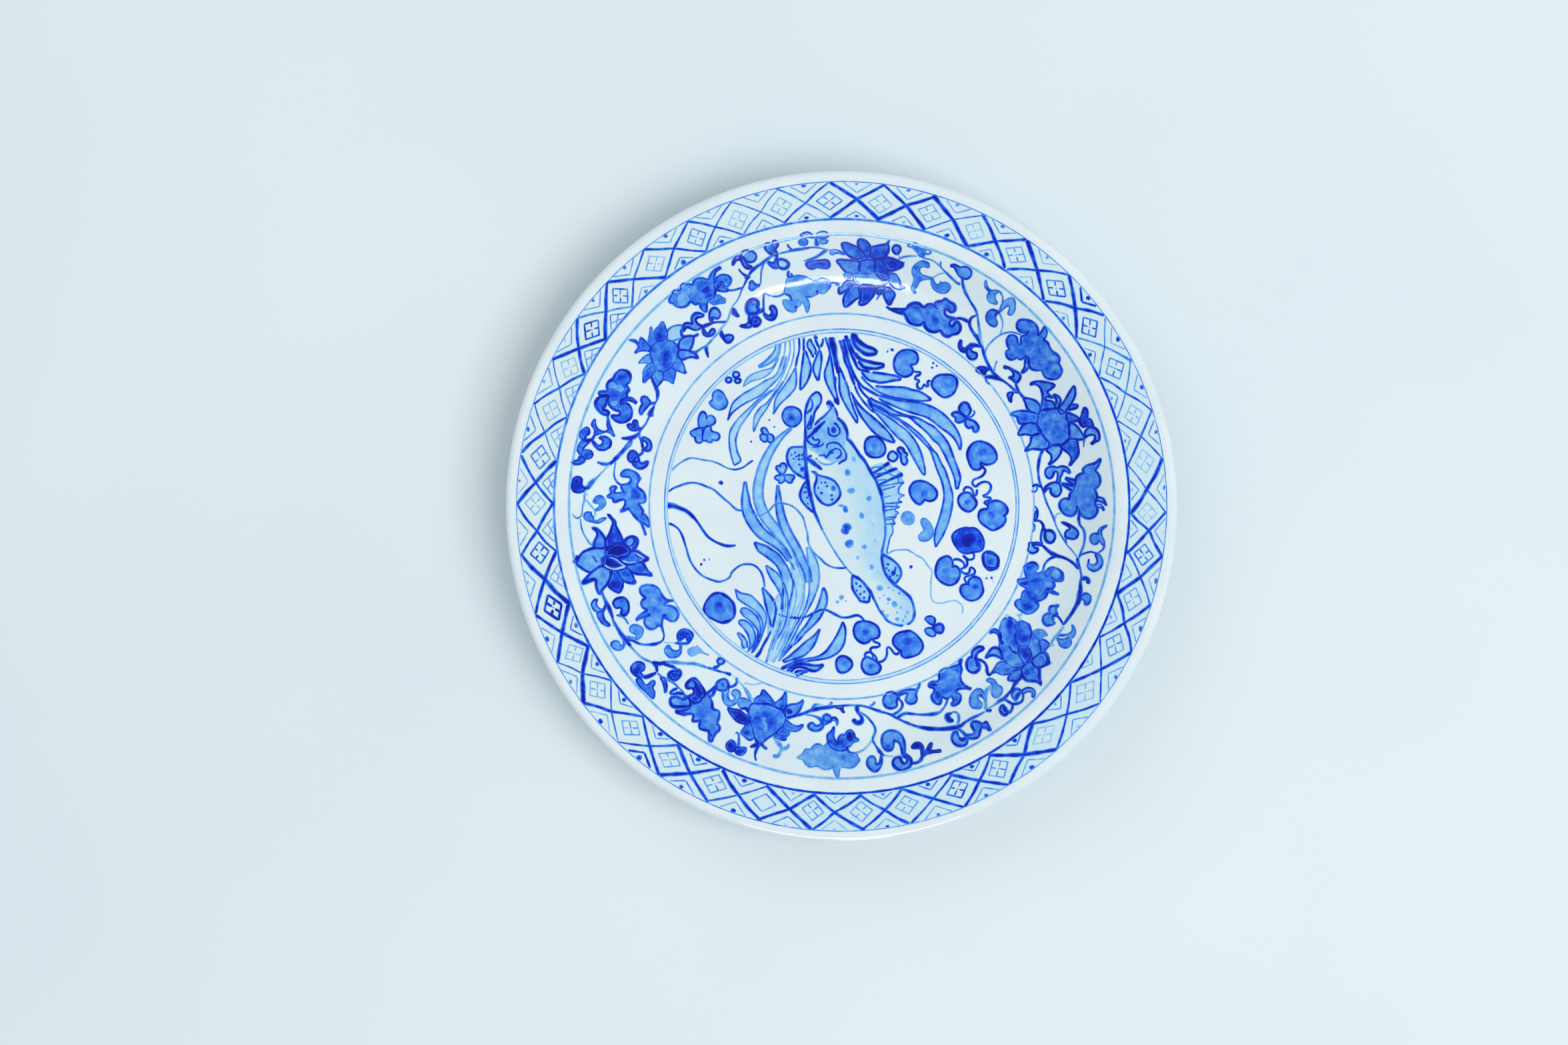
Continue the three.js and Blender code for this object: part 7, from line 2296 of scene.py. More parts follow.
def scroll_dark_lotus(wash, lines):
    """The dark lotus at 193 degrees: two dark halves of a heart among ten outlined petals."""
    petals(wash, lines, [
        ([(-104, -3.6), (-102.4, -5.2), (-101, -6.6), (-100.8, -8.6), (-99.8, -10.6), (-98.6, -12.6),
          (-97.8, -14.6), (-97.4, -16.4), (-99, -16), (-101.4, -16.4), (-103.6, -17.6), (-105, -18.6),
          (-105.2, -16), (-104.2, -13.6), (-103, -11.6), (-102.2, -9), (-101.9, -6.6)],
         0.78, (0.75, 0.96)),
        ([(-111, -9.6), (-109, -10), (-107.4, -11.6), (-106, -13.6), (-105.4, -15.4), (-105.4, -18),
          (-108, -18.6), (-110.4, -18), (-110, -15.6), (-109, -13.4), (-108.8, -11.8), (-110, -10.2)],
         0.56, (0.85, 0.94)),
        ([(-105.6, -19), (-108, -18.7), (-110.4, -18.6), (-113, -19.4), (-115.4, -20.6),
          (-117, -22.4), (-119.2, -24), (-118.4, -25.4), (-116.4, -27), (-114, -28.6),
          (-111.8, -29.2), (-109.6, -27.8), (-107, -26.4), (-106.2, -25), (-106, -23), (-105.2, -21)],
         0.45, (0.8, 0.92)),
        ([(-97.4, -16.6), (-96, -14.8), (-94, -13.6), (-92, -13.8), (-91, -15), (-91.4, -17),
          (-92.6, -18.8), (-94.4, -18.4), (-96, -17.4)], 0.8, (0.9, 0.95)),
        ([(-93.4, -19.8), (-91, -20.2), (-89, -21.4), (-87, -22.8), (-86.2, -23.2), (-88, -24.2),
          (-90, -24.6), (-92.6, -25.6), (-95, -26), (-97.4, -25.4), (-99, -24), (-99.6, -23),
          (-97, -22.2), (-95, -21)], 0.68, (0.9, 0.95)),
        ([(-95.8, -26.4), (-93, -25.6), (-90, -25), (-88.4, -25.6), (-87.2, -27.6), (-86, -29.2),
          (-84.6, -30.6), (-87, -30.2), (-90, -30.2), (-92.4, -29.6), (-94.4, -28.2)], 0.66, (0.8, 0.93)),
        ([(-106.2, -26.6), (-108, -26.8), (-110.4, -28.6), (-112.4, -30.4), (-114.4, -32.6),
          (-115.4, -34.2), (-113.6, -33.8), (-111, -32.8), (-109.4, -32.6), (-109.4, -35),
          (-108.6, -37.6), (-107.8, -39), (-107, -37.4), (-106, -36.2), (-104.4, -34.4), (-103, -32),
          (-102.6, -29.6), (-103, -28), (-105, -27.4)], 0.45, (0.9, 0.93)),
        ([(-102.2, -28.2), (-100.6, -28.4), (-99.6, -30), (-98.4, -32), (-97.6, -33.4),
          (-97.8, -35.6), (-98.8, -37.8), (-99.6, -38.2), (-101.4, -37.4), (-103.2, -36.2),
          (-104, -34.8), (-103.6, -32.8), (-102.4, -30.6)], 0.76, (0.75, 0.93)),
        ([(-100.2, -28.6), (-98, -28.2), (-96, -27.4), (-94.4, -28.6), (-93.2, -30.6), (-92.6, -32.6),
          (-92, -34), (-94.2, -34), (-96.4, -33.4), (-98, -32.2), (-99.2, -30.4)], 0.62, (0.8, 0.93)),
    ])
    pools(wash, [
        (-101.8, -13, 2.4, 0.88), (-114, -24, 3.4, 0.52), (-101.4, -34.4, 1.6, 0.94),
        (-96.2, -30.4, 1.5, 0.82),
        (-90.6, -27.4, 2, 0.76), (-106, -31, 1.6, 0.6), (-93, -22.8, 1.8, 0.78), (-118, -24.2, 1.2, 0.94),
        (-113.8, -33.2, 1, 0.97), (-92.8, -33.6, 0.9, 0.97), (-94.4, -15.6, 1.5, 0.55),
    ])
    petals(wash, lines, [
        ([(-104.8, -19.4), (-103, -17.6), (-100, -16.6), (-97, -17), (-95, -18.6), (-94, -19.6),
          (-95.4, -21.6), (-97.6, -22.6), (-100, -23), (-102.4, -22.4), (-104.6, -22.4),
          (-105.2, -21)], 0.92, (1, 0.97)),
        ([(-106.4, -23.6), (-105, -22.4), (-102.6, -22.6), (-100, -23.8), (-98, -25.6),
          (-96.6, -26.4), (-98.6, -27.6), (-101.4, -28), (-104, -27.4), (-105.8, -26)], 0.97,
         (0.9, 0.98)),
    ])
    lines.lines(
        [
            ([(-104.8, -20.2), (-104, -18.2), (-102.4, -17), (-100, -16.6), (-97.4, -16.9),
              (-95.2, -18.2), (-93.4, -18.6), (-94.2, -20), (-96, -22)], (0.6, 0.6, 0.4),
             (0.2, 0.2, 0.35)),
            ([(-105.6, -26), (-104.2, -27.3), (-101.6, -28), (-98.6, -27.4), (-96.8, -26.5),
              (-98.8, -24.9), (-100.8, -23.4), (-103.6, -22.5)], (0.5, 0.6, 0.3), (0.3, 0.2, 0.4)),
            ([(-97.6, -24.2), (-95, -25), (-91.4, -24.8), (-88.6, -23.8)], 0.4, 0.4),
            ([(-92, -20.6), (-89.6, -21.8), (-87.8, -23)], 0.4, 0.3),
            ([(-92, -21), (-91, -22.4), (-89.4, -23)], 0.7, 0.95),
            ([(-111.6, -21.6), (-110.4, -22.8), (-109.4, -24.4), (-108.6, -24.8)], 0.9, 0.66),
            ([(-116.8, -22.2), (-118.6, -24), (-117.8, -25.2)], 1.3, 0.95),
            ([(-102.8, -28.4), (-103, -30.6), (-103.6, -33), (-104.6, -34.8), (-105.6, -36)],
             (1.1, 0.6), 0.94),
            ([(-114.6, -33.6), (-112.4, -32.8), (-109.8, -32)], (1.2, 0.8), 0.95),
        ],
        0.6, 0.9,
    )


def scroll_south_west(wash, lines):
    """The cloud leaf at 208 degrees with the curls around it."""
    petals(wash, lines, [
        ([(-80.4, -53), (-81.8, -53), (-83, -54), (-84.8, -54.6), (-86.8, -53.6), (-87.8, -51.6),
          (-87.4, -49.6), (-86.4, -48.6), (-88.4, -49.2), (-90.4, -50), (-91.6, -50.8), (-90.4, -49),
          (-88.4, -47.6), (-86.8, -46.6), (-86.8, -45.8), (-88.4, -45), (-89.2, -43.4), (-88.6, -41.8),
          (-87.4, -41), (-87.8, -40.2), (-89.2, -39), (-89.8, -37.4), (-89.2, -35.8), (-87, -35.2),
          (-84, -35.4), (-81.8, -36.6), (-80.6, -38.6), (-79.4, -40.6), (-77.8, -41.8), (-74.8, -41.8),
          (-77.4, -42.2), (-79, -43.4), (-79.2, -44.4), (-77.2, -44.2), (-74.8, -45), (-73.2, -46.8),
          (-73, -48.6), (-74, -50.6), (-76, -51), (-77.8, -49.8), (-79.4, -49.4), (-80, -50.4)],
         0.5, (0.8, 0.8)),
        ([(-105.2, -43.6), (-105.6, -45), (-106.4, -45.9), (-108, -45.6), (-109.2, -44),
          (-109.4, -42.6), (-108.8, -41.6), (-110, -41.6), (-111.2, -42.8), (-111.4, -44),
          (-110.8, -45.4), (-109.6, -46.6), (-108, -47), (-106.4, -46.8), (-105.4, -45.6)],
         0.45, (0.6, 0.84)),
        ([(-108.4, -47), (-108.6, -48.6), (-107.8, -50.4), (-106.4, -52), (-104.8, -52.9),
          (-103.4, -53), (-104.8, -51.6), (-106, -50), (-106.4, -48), (-106.4, -47)], 0.6, (0.75, 0.86)),
        ([(-97.8, -48.6), (-98.2, -47.4), (-97.8, -46), (-98.6, -45), (-100.4, -45.2), (-101.4, -44),
          (-101.6, -42.6), (-100.6, -41.4), (-99, -40.8), (-97, -40.8), (-95.6, -42), (-95, -44),
          (-95, -46.2), (-96, -48)], 0.6),
        ([(-91.8, -58.8), (-91.2, -57.2), (-92.4, -56.6), (-94, -55.6), (-94.2, -54), (-93.4, -53),
          (-91.6, -52.8), (-89.4, -53.8), (-88.6, -55.4), (-89, -57.2), (-90.2, -58.6),
          (-91.6, -59.2)], 0.48, (0.6, 0.7)),
        ([(-96.8, -59.8), (-96.8, -61.4), (-97.4, -63), (-98.8, -64), (-100.4, -63.8), (-102, -62.8),
          (-102.6, -61.4), (-101.6, -60.2), (-100, -60), (-99, -60.8), (-98.6, -62), (-97.6, -62)],
         0.5, (0.6, 0.74)),
        ([(-72.4, -60), (-73, -58), (-72.4, -56), (-70.6, -54.8), (-68.4, -55.2), (-66.6, -56.8),
          (-66.6, -58.2), (-67.6, -60), (-68.8, -59.6), (-68.8, -58.4), (-70, -58), (-71.4, -59.2)],
         0.72, (0.7, 0.84)),
        ([(-72, -61), (-71.4, -62.6), (-71.6, -64.6), (-72.6, -66.4), (-74.6, -67.2), (-76.8, -67),
          (-78.4, -65.4), (-78.8, -64), (-78, -62.6), (-77, -62), (-76.2, -63.4), (-74.8, -64.4),
          (-73.2, -64.4), (-72, -63.6)], 0.48, (0.6, 0.72)),
        ([(-64.6, -62.4), (-66.8, -63), (-68.4, -64), (-68.2, -65.6), (-66.8, -66.6), (-65, -66),
          (-63.6, -65.2), (-61, -65.6), (-59, -66.4), (-61.6, -65), (-63, -63.4), (-65, -61.8)],
         0.4, (0.4, 0.5)),
        ([(-88.4, -76), (-90, -76), (-92, -75), (-93.4, -73.6), (-93.7, -72), (-92.8, -70.4),
          (-91, -69.4), (-89, -69.8), (-88, -71), (-88.4, -72.8), (-89.8, -73.6)], 0.66, (0.7, 0.86)),
        ([(-84.2, -85.4), (-87, -82.8), (-89.9, -80.1), (-91.3, -77.6), (-90.4, -76.6),
          (-89, -77.5), (-87.8, -79.4), (-86.4, -79.5), (-85.1, -78.4), (-83.8, -77.7),
          (-83.4, -78.9), (-84.4, -80.8), (-83.5, -82.4), (-83.5, -84)], 0.62, (0.6, 0.88)),
        ([(-80.6, -76), (-79, -76.6), (-78.2, -78.4), (-78, -80.6), (-78.6, -83), (-79, -80.6),
          (-79.6, -78.4)], 0.86, (0.6, 0.92)),
        ([(-72.4, -73), (-71.8, -74.4), (-72.6, -76.2), (-74.4, -77.4), (-76, -77), (-77, -75.6),
          (-76.6, -74.2), (-75, -73.4), (-73.2, -73.6)], 0.7, (0.9, 0.96)),
    ])
    pools(wash, [
        (-86.4, -38, 1.9, 0.64), (-81.4, -41.4, 1.5, 0.68), (-83.6, -45.6, 1.6, 0.66),
        (-81.6, -46.6, 1.3, 0.68), (-85.6, -50.8, 1.6, 0.56), (-79, -49, 1.1, 0.9), (-87, -46, 1, 0.9),
        (-86, -48.4, 0.9, 0.9), (-71, -56.8, 1.3, 0.93), (-67.6, -58.6, 1.1, 0.92), (-72, -59, 0.9, 0.9),
        (-90.8, -73, 1.8, 0.92), (-77.4, -63.2, 0.6, 0.8), (-97.4, -44.4, 1.6, 0.68),
    ], paling=0.12)
    lines.lines(
        [
            ([(-107.2, -37.2), (-106.2, -40), (-105, -42.6), (-103.8, -45), (-102.8, -47.4),
              (-102, -50), (-101.4, -53.6)], (0.8, 0.9, 1.2, 1, 0.6, 0.4), (0.84, 0.84, 0.92, 0.86, 0.5)),
            ([(-101.8, -50.4), (-100, -54), (-98, -57.2), (-96.4, -59.4), (-95, -61), (-93.9, -62.5)],
             (0.5, 0.8, 1.3, 1.2, 0.9), (0.75, 0.88, 0.93)),
            ([(-94.4, -62), (-92, -64.6), (-90, -66.6), (-88, -68), (-86, -68.9), (-84.4, -69.6)],
             (0.6, 0.8, 0.6), (0.6, 0.5, 0.6)),
            ([(-100.4, -48.4), (-98.4, -48.8), (-97, -49.6), (-95.8, -51), (-95, -52.6)], 0.6, 0.66),
            ([(-96.6, -58.6), (-94.4, -58.6), (-92, -58.6)], 1, 0.6),
            ([(-95.6, -59.4), (-93, -59.8), (-91, -60.8), (-88.6, -61.5), (-85.6, -61.6),
              (-82.6, -61.2), (-80.4, -60.2), (-79.4, -59), (-79.2, -57), (-79.8, -55), (-80.2, -53)],
             (0.9, 0.7, 0.7, 0.9, 0.6, 0.5, 0.8), (0.9, 0.9, 0.6, 0.92, 0.86, 0.7, 0.88)),
            ([(-97.2, -59.4), (-96.8, -61.4), (-97.6, -62.4)], 0.8, 0.7),
            ([(-67.6, -59.8), (-69, -61), (-71, -61.1), (-74.4, -60.8)], (1, 0.6), (0.93, 0.7)),
            ([(-74.4, -60.8), (-79.4, -60.6)], 0.4, 0.3),
            ([(-84.6, -69.6), (-82, -70), (-80, -69.9), (-78.4, -69.3)], (1.2, 0.9), 0.94),
            ([(-79, -69.5), (-75, -69.4), (-71, -69.8), (-68.2, -70), (-66, -70), (-63, -70.8),
              (-60, -71.8)],
             (1, 0.9, 0.8), (0.62, 0.56)),
            ([(-83.8, -69.8), (-82.7, -71), (-82.4, -72.4), (-82.3, -73.8)], (1.2, 0.9), 0.95),
            ([(-82.6, -74), (-84.4, -75), (-86.4, -75.8), (-88.4, -76.1)], (0.9, 1.2), 0.96),
            ([(-82.3, -74), (-80, -76), (-77.4, -77.2), (-75, -78.6), (-73.4, -80), (-71.8, -81.6),
              (-70.4, -83)], (0.6, 0.9, 0.5, 0.7), (0.66, 0.66, 0.84)),
            ([(-79.6, -70), (-77, -70.8), (-74.6, -71.8), (-72.8, -73.4)], (0.9, 0.9), 0.93),
        ],
        0.6, 0.85,
    )


def scroll_south_west_leaf(wash, lines):
    """The horned leaf at 235 degrees and the curls above it."""
    petals(wash, lines, [
        ([(-61, -84), (-59.6, -83.8), (-58.6, -85.6), (-57.8, -87.6), (-57.6, -90), (-56.4, -90.8),
          (-54.8, -91.4), (-54.8, -94), (-55.6, -96.6), (-54.6, -98), (-54.6, -99.6), (-56.2, -101),
          (-57.4, -103), (-58, -104.6), (-59, -104.4), (-59, -102), (-59.2, -100), (-61, -99.6),
          (-63.2, -98.8), (-63.2, -97), (-63, -95.4), (-64.8, -95.6), (-66.4, -95.6), (-66, -94),
          (-66.2, -92.6), (-68.4, -92.2), (-70.4, -92.8), (-74, -91.4), (-72, -91.2), (-70, -90.8),
          (-67.8, -90), (-67.4, -88.6), (-66.4, -87.4), (-64, -87), (-62.6, -86)], 0.52, (0.85, 0.88)),
        ([(-67.6, -88.8), (-70, -89.2), (-73, -89.3), (-75.2, -88.9), (-76.3, -87.2), (-75.9, -85.4),
          (-74, -84.9), (-71.8, -85.5), (-70.4, -86.2), (-68.4, -85.2), (-67.4, -87)], 0.5, (1, 0.92)),
        ([(-66, -76.6), (-68, -77.8), (-69.2, -79.6), (-68.6, -81), (-66.8, -80.8), (-65.6, -82),
          (-66, -83.8), (-68, -84.6), (-67.6, -86), (-66.6, -87.1), (-65.4, -87.4), (-63.4, -87),
          (-62.4, -85.6), (-61, -84.2), (-61.2, -82.6), (-62.4, -80.4), (-64, -78)], 0.86, (0.8, 0.95)),
        ([(-55.8, -80), (-55.4, -78.4), (-53.6, -77.2), (-52, -77), (-51, -78), (-50.4, -80),
          (-51, -81.4), (-53, -82), (-55, -81.6)], 0.5, (0.8, 0.88)),
        ([(-52.8, -82), (-53, -84.4), (-52.6, -86.6), (-51.4, -88.4), (-49.6, -88.8), (-47.4, -87.8),
          (-46, -86), (-45.2, -83.8), (-46.2, -82), (-47.8, -81.8), (-49, -83.2), (-48, -84.4),
          (-47.4, -85.6), (-49, -86.8), (-50.2, -86), (-50.8, -84), (-50.4, -81.6)], 0.42, (0.6, 0.72)),
        ([(-54.2, -70.4), (-52.6, -69.6), (-52.4, -68.4), (-53.6, -67.7), (-55, -68.2), (-55.3, -69.3)],
         0.36, (0.75, 0.86)),
        ([(-47.6, -106.4), (-48.2, -104.8), (-49.6, -104.4), (-51.2, -105.8), (-51.2, -107.6),
          (-49.8, -109), (-48, -108.6)], 0.84, (0.6, 0.88)),
        ([(-46.8, -107.4), (-44.8, -107.6), (-42.8, -107.6), (-43, -109.4), (-44.4, -110.7),
          (-46.4, -110.3), (-47.4, -108.8)], 0.78, (0.6, 0.84)),
    ])
    pools(wash, [
        (-62.4, -91.4, 3, 0.7), (-66.8, -79.4, 1.3, 0.62), (-65, -85.6, 1.6, 0.97),
        (-58.4, -102, 1, 0.95),
        (-53, -79.4, 0.9, 0.76), (-73.4, -86.8, 1.2, 0.62), (-57.2, -90.2, 0.8, 0.93),
        (-70.6, -91.6, 1, 0.95),
    ], paling=0.12)
    lines.lines(
        [
            ([(-70.4, -83), (-70, -84.4), (-68.4, -84.9)], (0.7, 1.3), (0.85, 0.95)),
            ([(-73, -81), (-75, -81.8), (-76.4, -83.2), (-75, -83.6), (-72.8, -83.2), (-70.6, -83.6)],
             (0.7, 0.8, 0.9, 0.9), 0.93),
            ([(-70.2, -84.8), (-70.3, -86.3)], 0.9, 0.93),
            ([(-61, -84), (-59, -82.6), (-57.2, -81.2), (-56, -80)], (1.3, 0.9, 0.9), 0.94),
            ([(-59.4, -85.1), (-57.6, -84), (-56.6, -82), (-55.6, -80.8)], (1, 1.1, 0.7), 0.94),
            ([(-60, -71.8), (-57.6, -72.4), (-54.8, -73.4), (-52, -74.1), (-49.2, -75)],
             (0.7, 0.7, 0.6, 0.9), (0.6, 0.86, 0.93)),
            ([(-57.2, -72.3), (-55.6, -71.4), (-54.2, -70.4)], (1.1, 0.7), 0.92),
            ([(-55, -68.2), (-53.8, -67.4)], 1, 0.92),
            ([(-49, -75.2), (-46.8, -76.8), (-44, -80), (-42.4, -83), (-41, -85.6), (-40.2, -87.8)],
             (0.4, 0.5, 0.7), (0.25, 0.42, 0.7)),
            ([(-47, -76.2), (-46.6, -78), (-47.6, -79.6), (-49.4, -80.4), (-50.6, -80.6)], (1, 0.6),
             0.82),
            ([(-43.4, -78.6), (-40, -79.4), (-37, -79), (-34.6, -78.2)], 0.5, 0.35),
            ([(-43, -80.6), (-41, -83.6), (-38.9, -87)], 0.5, 0.45),
            ([(-47.4, -101), (-46, -101.2), (-45.8, -104), (-46.2, -106.6), (-47.6, -107.4)],
             (0.6, 0.8, 1.2), 0.74),
        ],
        0.6, 0.85,
    )


def scroll_bulb_lotus(wash, lines):
    """The bulb-hearted lotus at 250 degrees."""
    petals(wash, lines, [
        ([(-39, -87), (-38, -85.2), (-36, -84.2), (-35, -82), (-33.4, -83.4), (-31.6, -85.4),
          (-30.2, -87.8), (-33, -88.2), (-36, -88), (-38.4, -88)], 0.62, (0.7, 0.84)),
        ([(-46, -85.8), (-43.6, -85.6), (-41.4, -86.4), (-40.2, -88), (-41.2, -89.8), (-43.4, -90),
          (-45, -89.8), (-46, -88)], 0.48, (0.6, 0.72)),
        ([(-50.6, -89.8), (-48.4, -90.4), (-46, -90.8), (-44, -92), (-42, -93.6), (-41, -95),
          (-42, -96.6), (-44.6, -96.6), (-47, -95.4), (-49, -93), (-50.2, -91)], 0.86, (0.6, 0.93)),
        ([(-42, -97), (-43.4, -98.6), (-44.8, -100.8), (-43, -102.6), (-41, -104), (-39.2, -103),
          (-39.2, -100.6), (-40.2, -97)], 0.62, (0.6, 0.84)),
        ([(-30, -88.2), (-28.6, -87), (-26.6, -85.4), (-25.6, -84), (-25, -82.6), (-24.8, -85),
          (-24.8, -88), (-25, -91), (-26.6, -90.2), (-28.4, -89.6)], 0.64, (0.65, 0.86)),
        ([(-25, -89.4), (-22.6, -88.4), (-19.8, -88), (-18, -87), (-17.2, -86.2), (-17.8, -88.6),
          (-19, -91), (-20.6, -92.6), (-23, -93.6), (-25, -94), (-25.4, -91.6)], 0.54, (0.7, 0.84)),
        ([(-25, -95), (-23.4, -96.4), (-21.6, -97.6), (-19.4, -98), (-17.2, -97.2), (-18, -98.6),
          (-20, -100), (-22.4, -100), (-24.6, -99.4), (-26, -98)], 0.58, (0.6, 0.8)),
        ([(-26.6, -98.6), (-24.8, -99.6), (-23.4, -101), (-24.6, -102.2), (-27, -102), (-29, -101)],
         0.76, (0.7, 0.86)),
        ([(-29.4, -101.4), (-27.6, -101.8), (-25.6, -102.4), (-25, -103.8), (-27.4, -103.8),
          (-29.8, -102.8)], 0.72, (0.6, 0.8)),
        ([(-40, -88), (-41.2, -90), (-41.4, -93), (-40.6, -96), (-39.8, -99), (-39, -102),
          (-38, -104.4), (-36.8, -106), (-35, -104.8), (-32.6, -103), (-29.6, -101), (-27, -98.6),
          (-25.2, -96), (-25, -93.6), (-26.4, -91), (-28.4, -89.6), (-31, -88.6), (-34, -88),
          (-37, -87.8)], 0.56, (0.7, 0.88)),
    ])
    long_pools(wash, [
        (-37, -96, 3.2, 4, 0.78), (-31.8, -97, 3, 4.2, 0.8), (-33.6, -93, 3.4, 2, 0.76),
        (-46, -93.4, 2.2, 1.6, 0.97), (-42.4, -101, 1.7, 1.2, 0.84), (-23.2, -91.4, 1.3, 1.3, 0.9),
        (-26.9, -89, 1.1, 1.2, 0.86), (-41.4, -94.6, 1.3, 1.6, 0.92), (-36.6, -105.4, 1.5, 1.2, 0.97),
        (-26.6, -102.9, 1.2, 0.7, 0.9), (-21.6, -98.6, 2, 0.9, 0.72),
    ])
    lines.lines(
        [
            ([(-34.6, -93.8), (-34.7, -96), (-33.6, -97.6), (-33.9, -100.4)], 0.8, 0.56),
            ([(-34.4, -87.6), (-31.6, -88.5), (-29, -89.5), (-27.4, -90.6)], (0.9, 1.3, 0.8), 0.88),
            ([(-45.2, -90.1), (-42.6, -90), (-41.5, -91.8)], (0.8, 1), 0.93),
            ([(-38.6, -103.8), (-37.2, -105.4), (-38.4, -106.4), (-40.9, -107.2)], (0.9, 1.2, 0.7), 0.96),
            ([(-36.6, -105.4), (-34.8, -106.4)], 1.4, 0.96),
            ([(-35.4, -106.2), (-34.6, -107.2), (-33.2, -108.2)], (0.8, 0.8), 0.88),
            ([(-37.1, -106), (-37.8, -108), (-38.4, -109.6), (-38.6, -111.6), (-38, -113.4)],
             (1.3, 0.9, 0.5, 0.7), (0.95, 0.8)),
            ([(-30.6, -102.8), (-28.6, -105), (-27, -107.4), (-27.6, -110), (-29, -111.4),
              (-30.6, -110.8)],
             (0.6, 1.3, 0.9, 1.1, 0.9), (0.45, 0.5, 0.5, 0.66)),
            ([(-26.8, -108.4), (-24.4, -107.4), (-23.4, -105.8)], (1.2, 0.7), 0.5),
            ([(-24.4, -94.2), (-22.6, -93.7), (-20, -93), (-17.2, -92.3), (-14, -91), (-11, -90.2),
              (-8, -89.7), (-5, -89.4), (-2.6, -89), (0, -88.8), (3, -88.6), (6, -88.6), (9, -88.8),
              (12, -89.6), (15, -90.6), (18, -91.6), (20, -92.1), (22.4, -93), (24, -94), (26, -95),
              (28, -96), (31, -97.2)],
             (1.2, 0.8, 1, 1.2, 0.6, 0.6, 0.6, 0.8, 0.7, 0.7, 0.8),
             (0.95, 0.85, 0.93, 0.9, 0.7, 0.86, 0.84, 0.8, 0.82)),
        ],
        0.6, 0.88,
    )


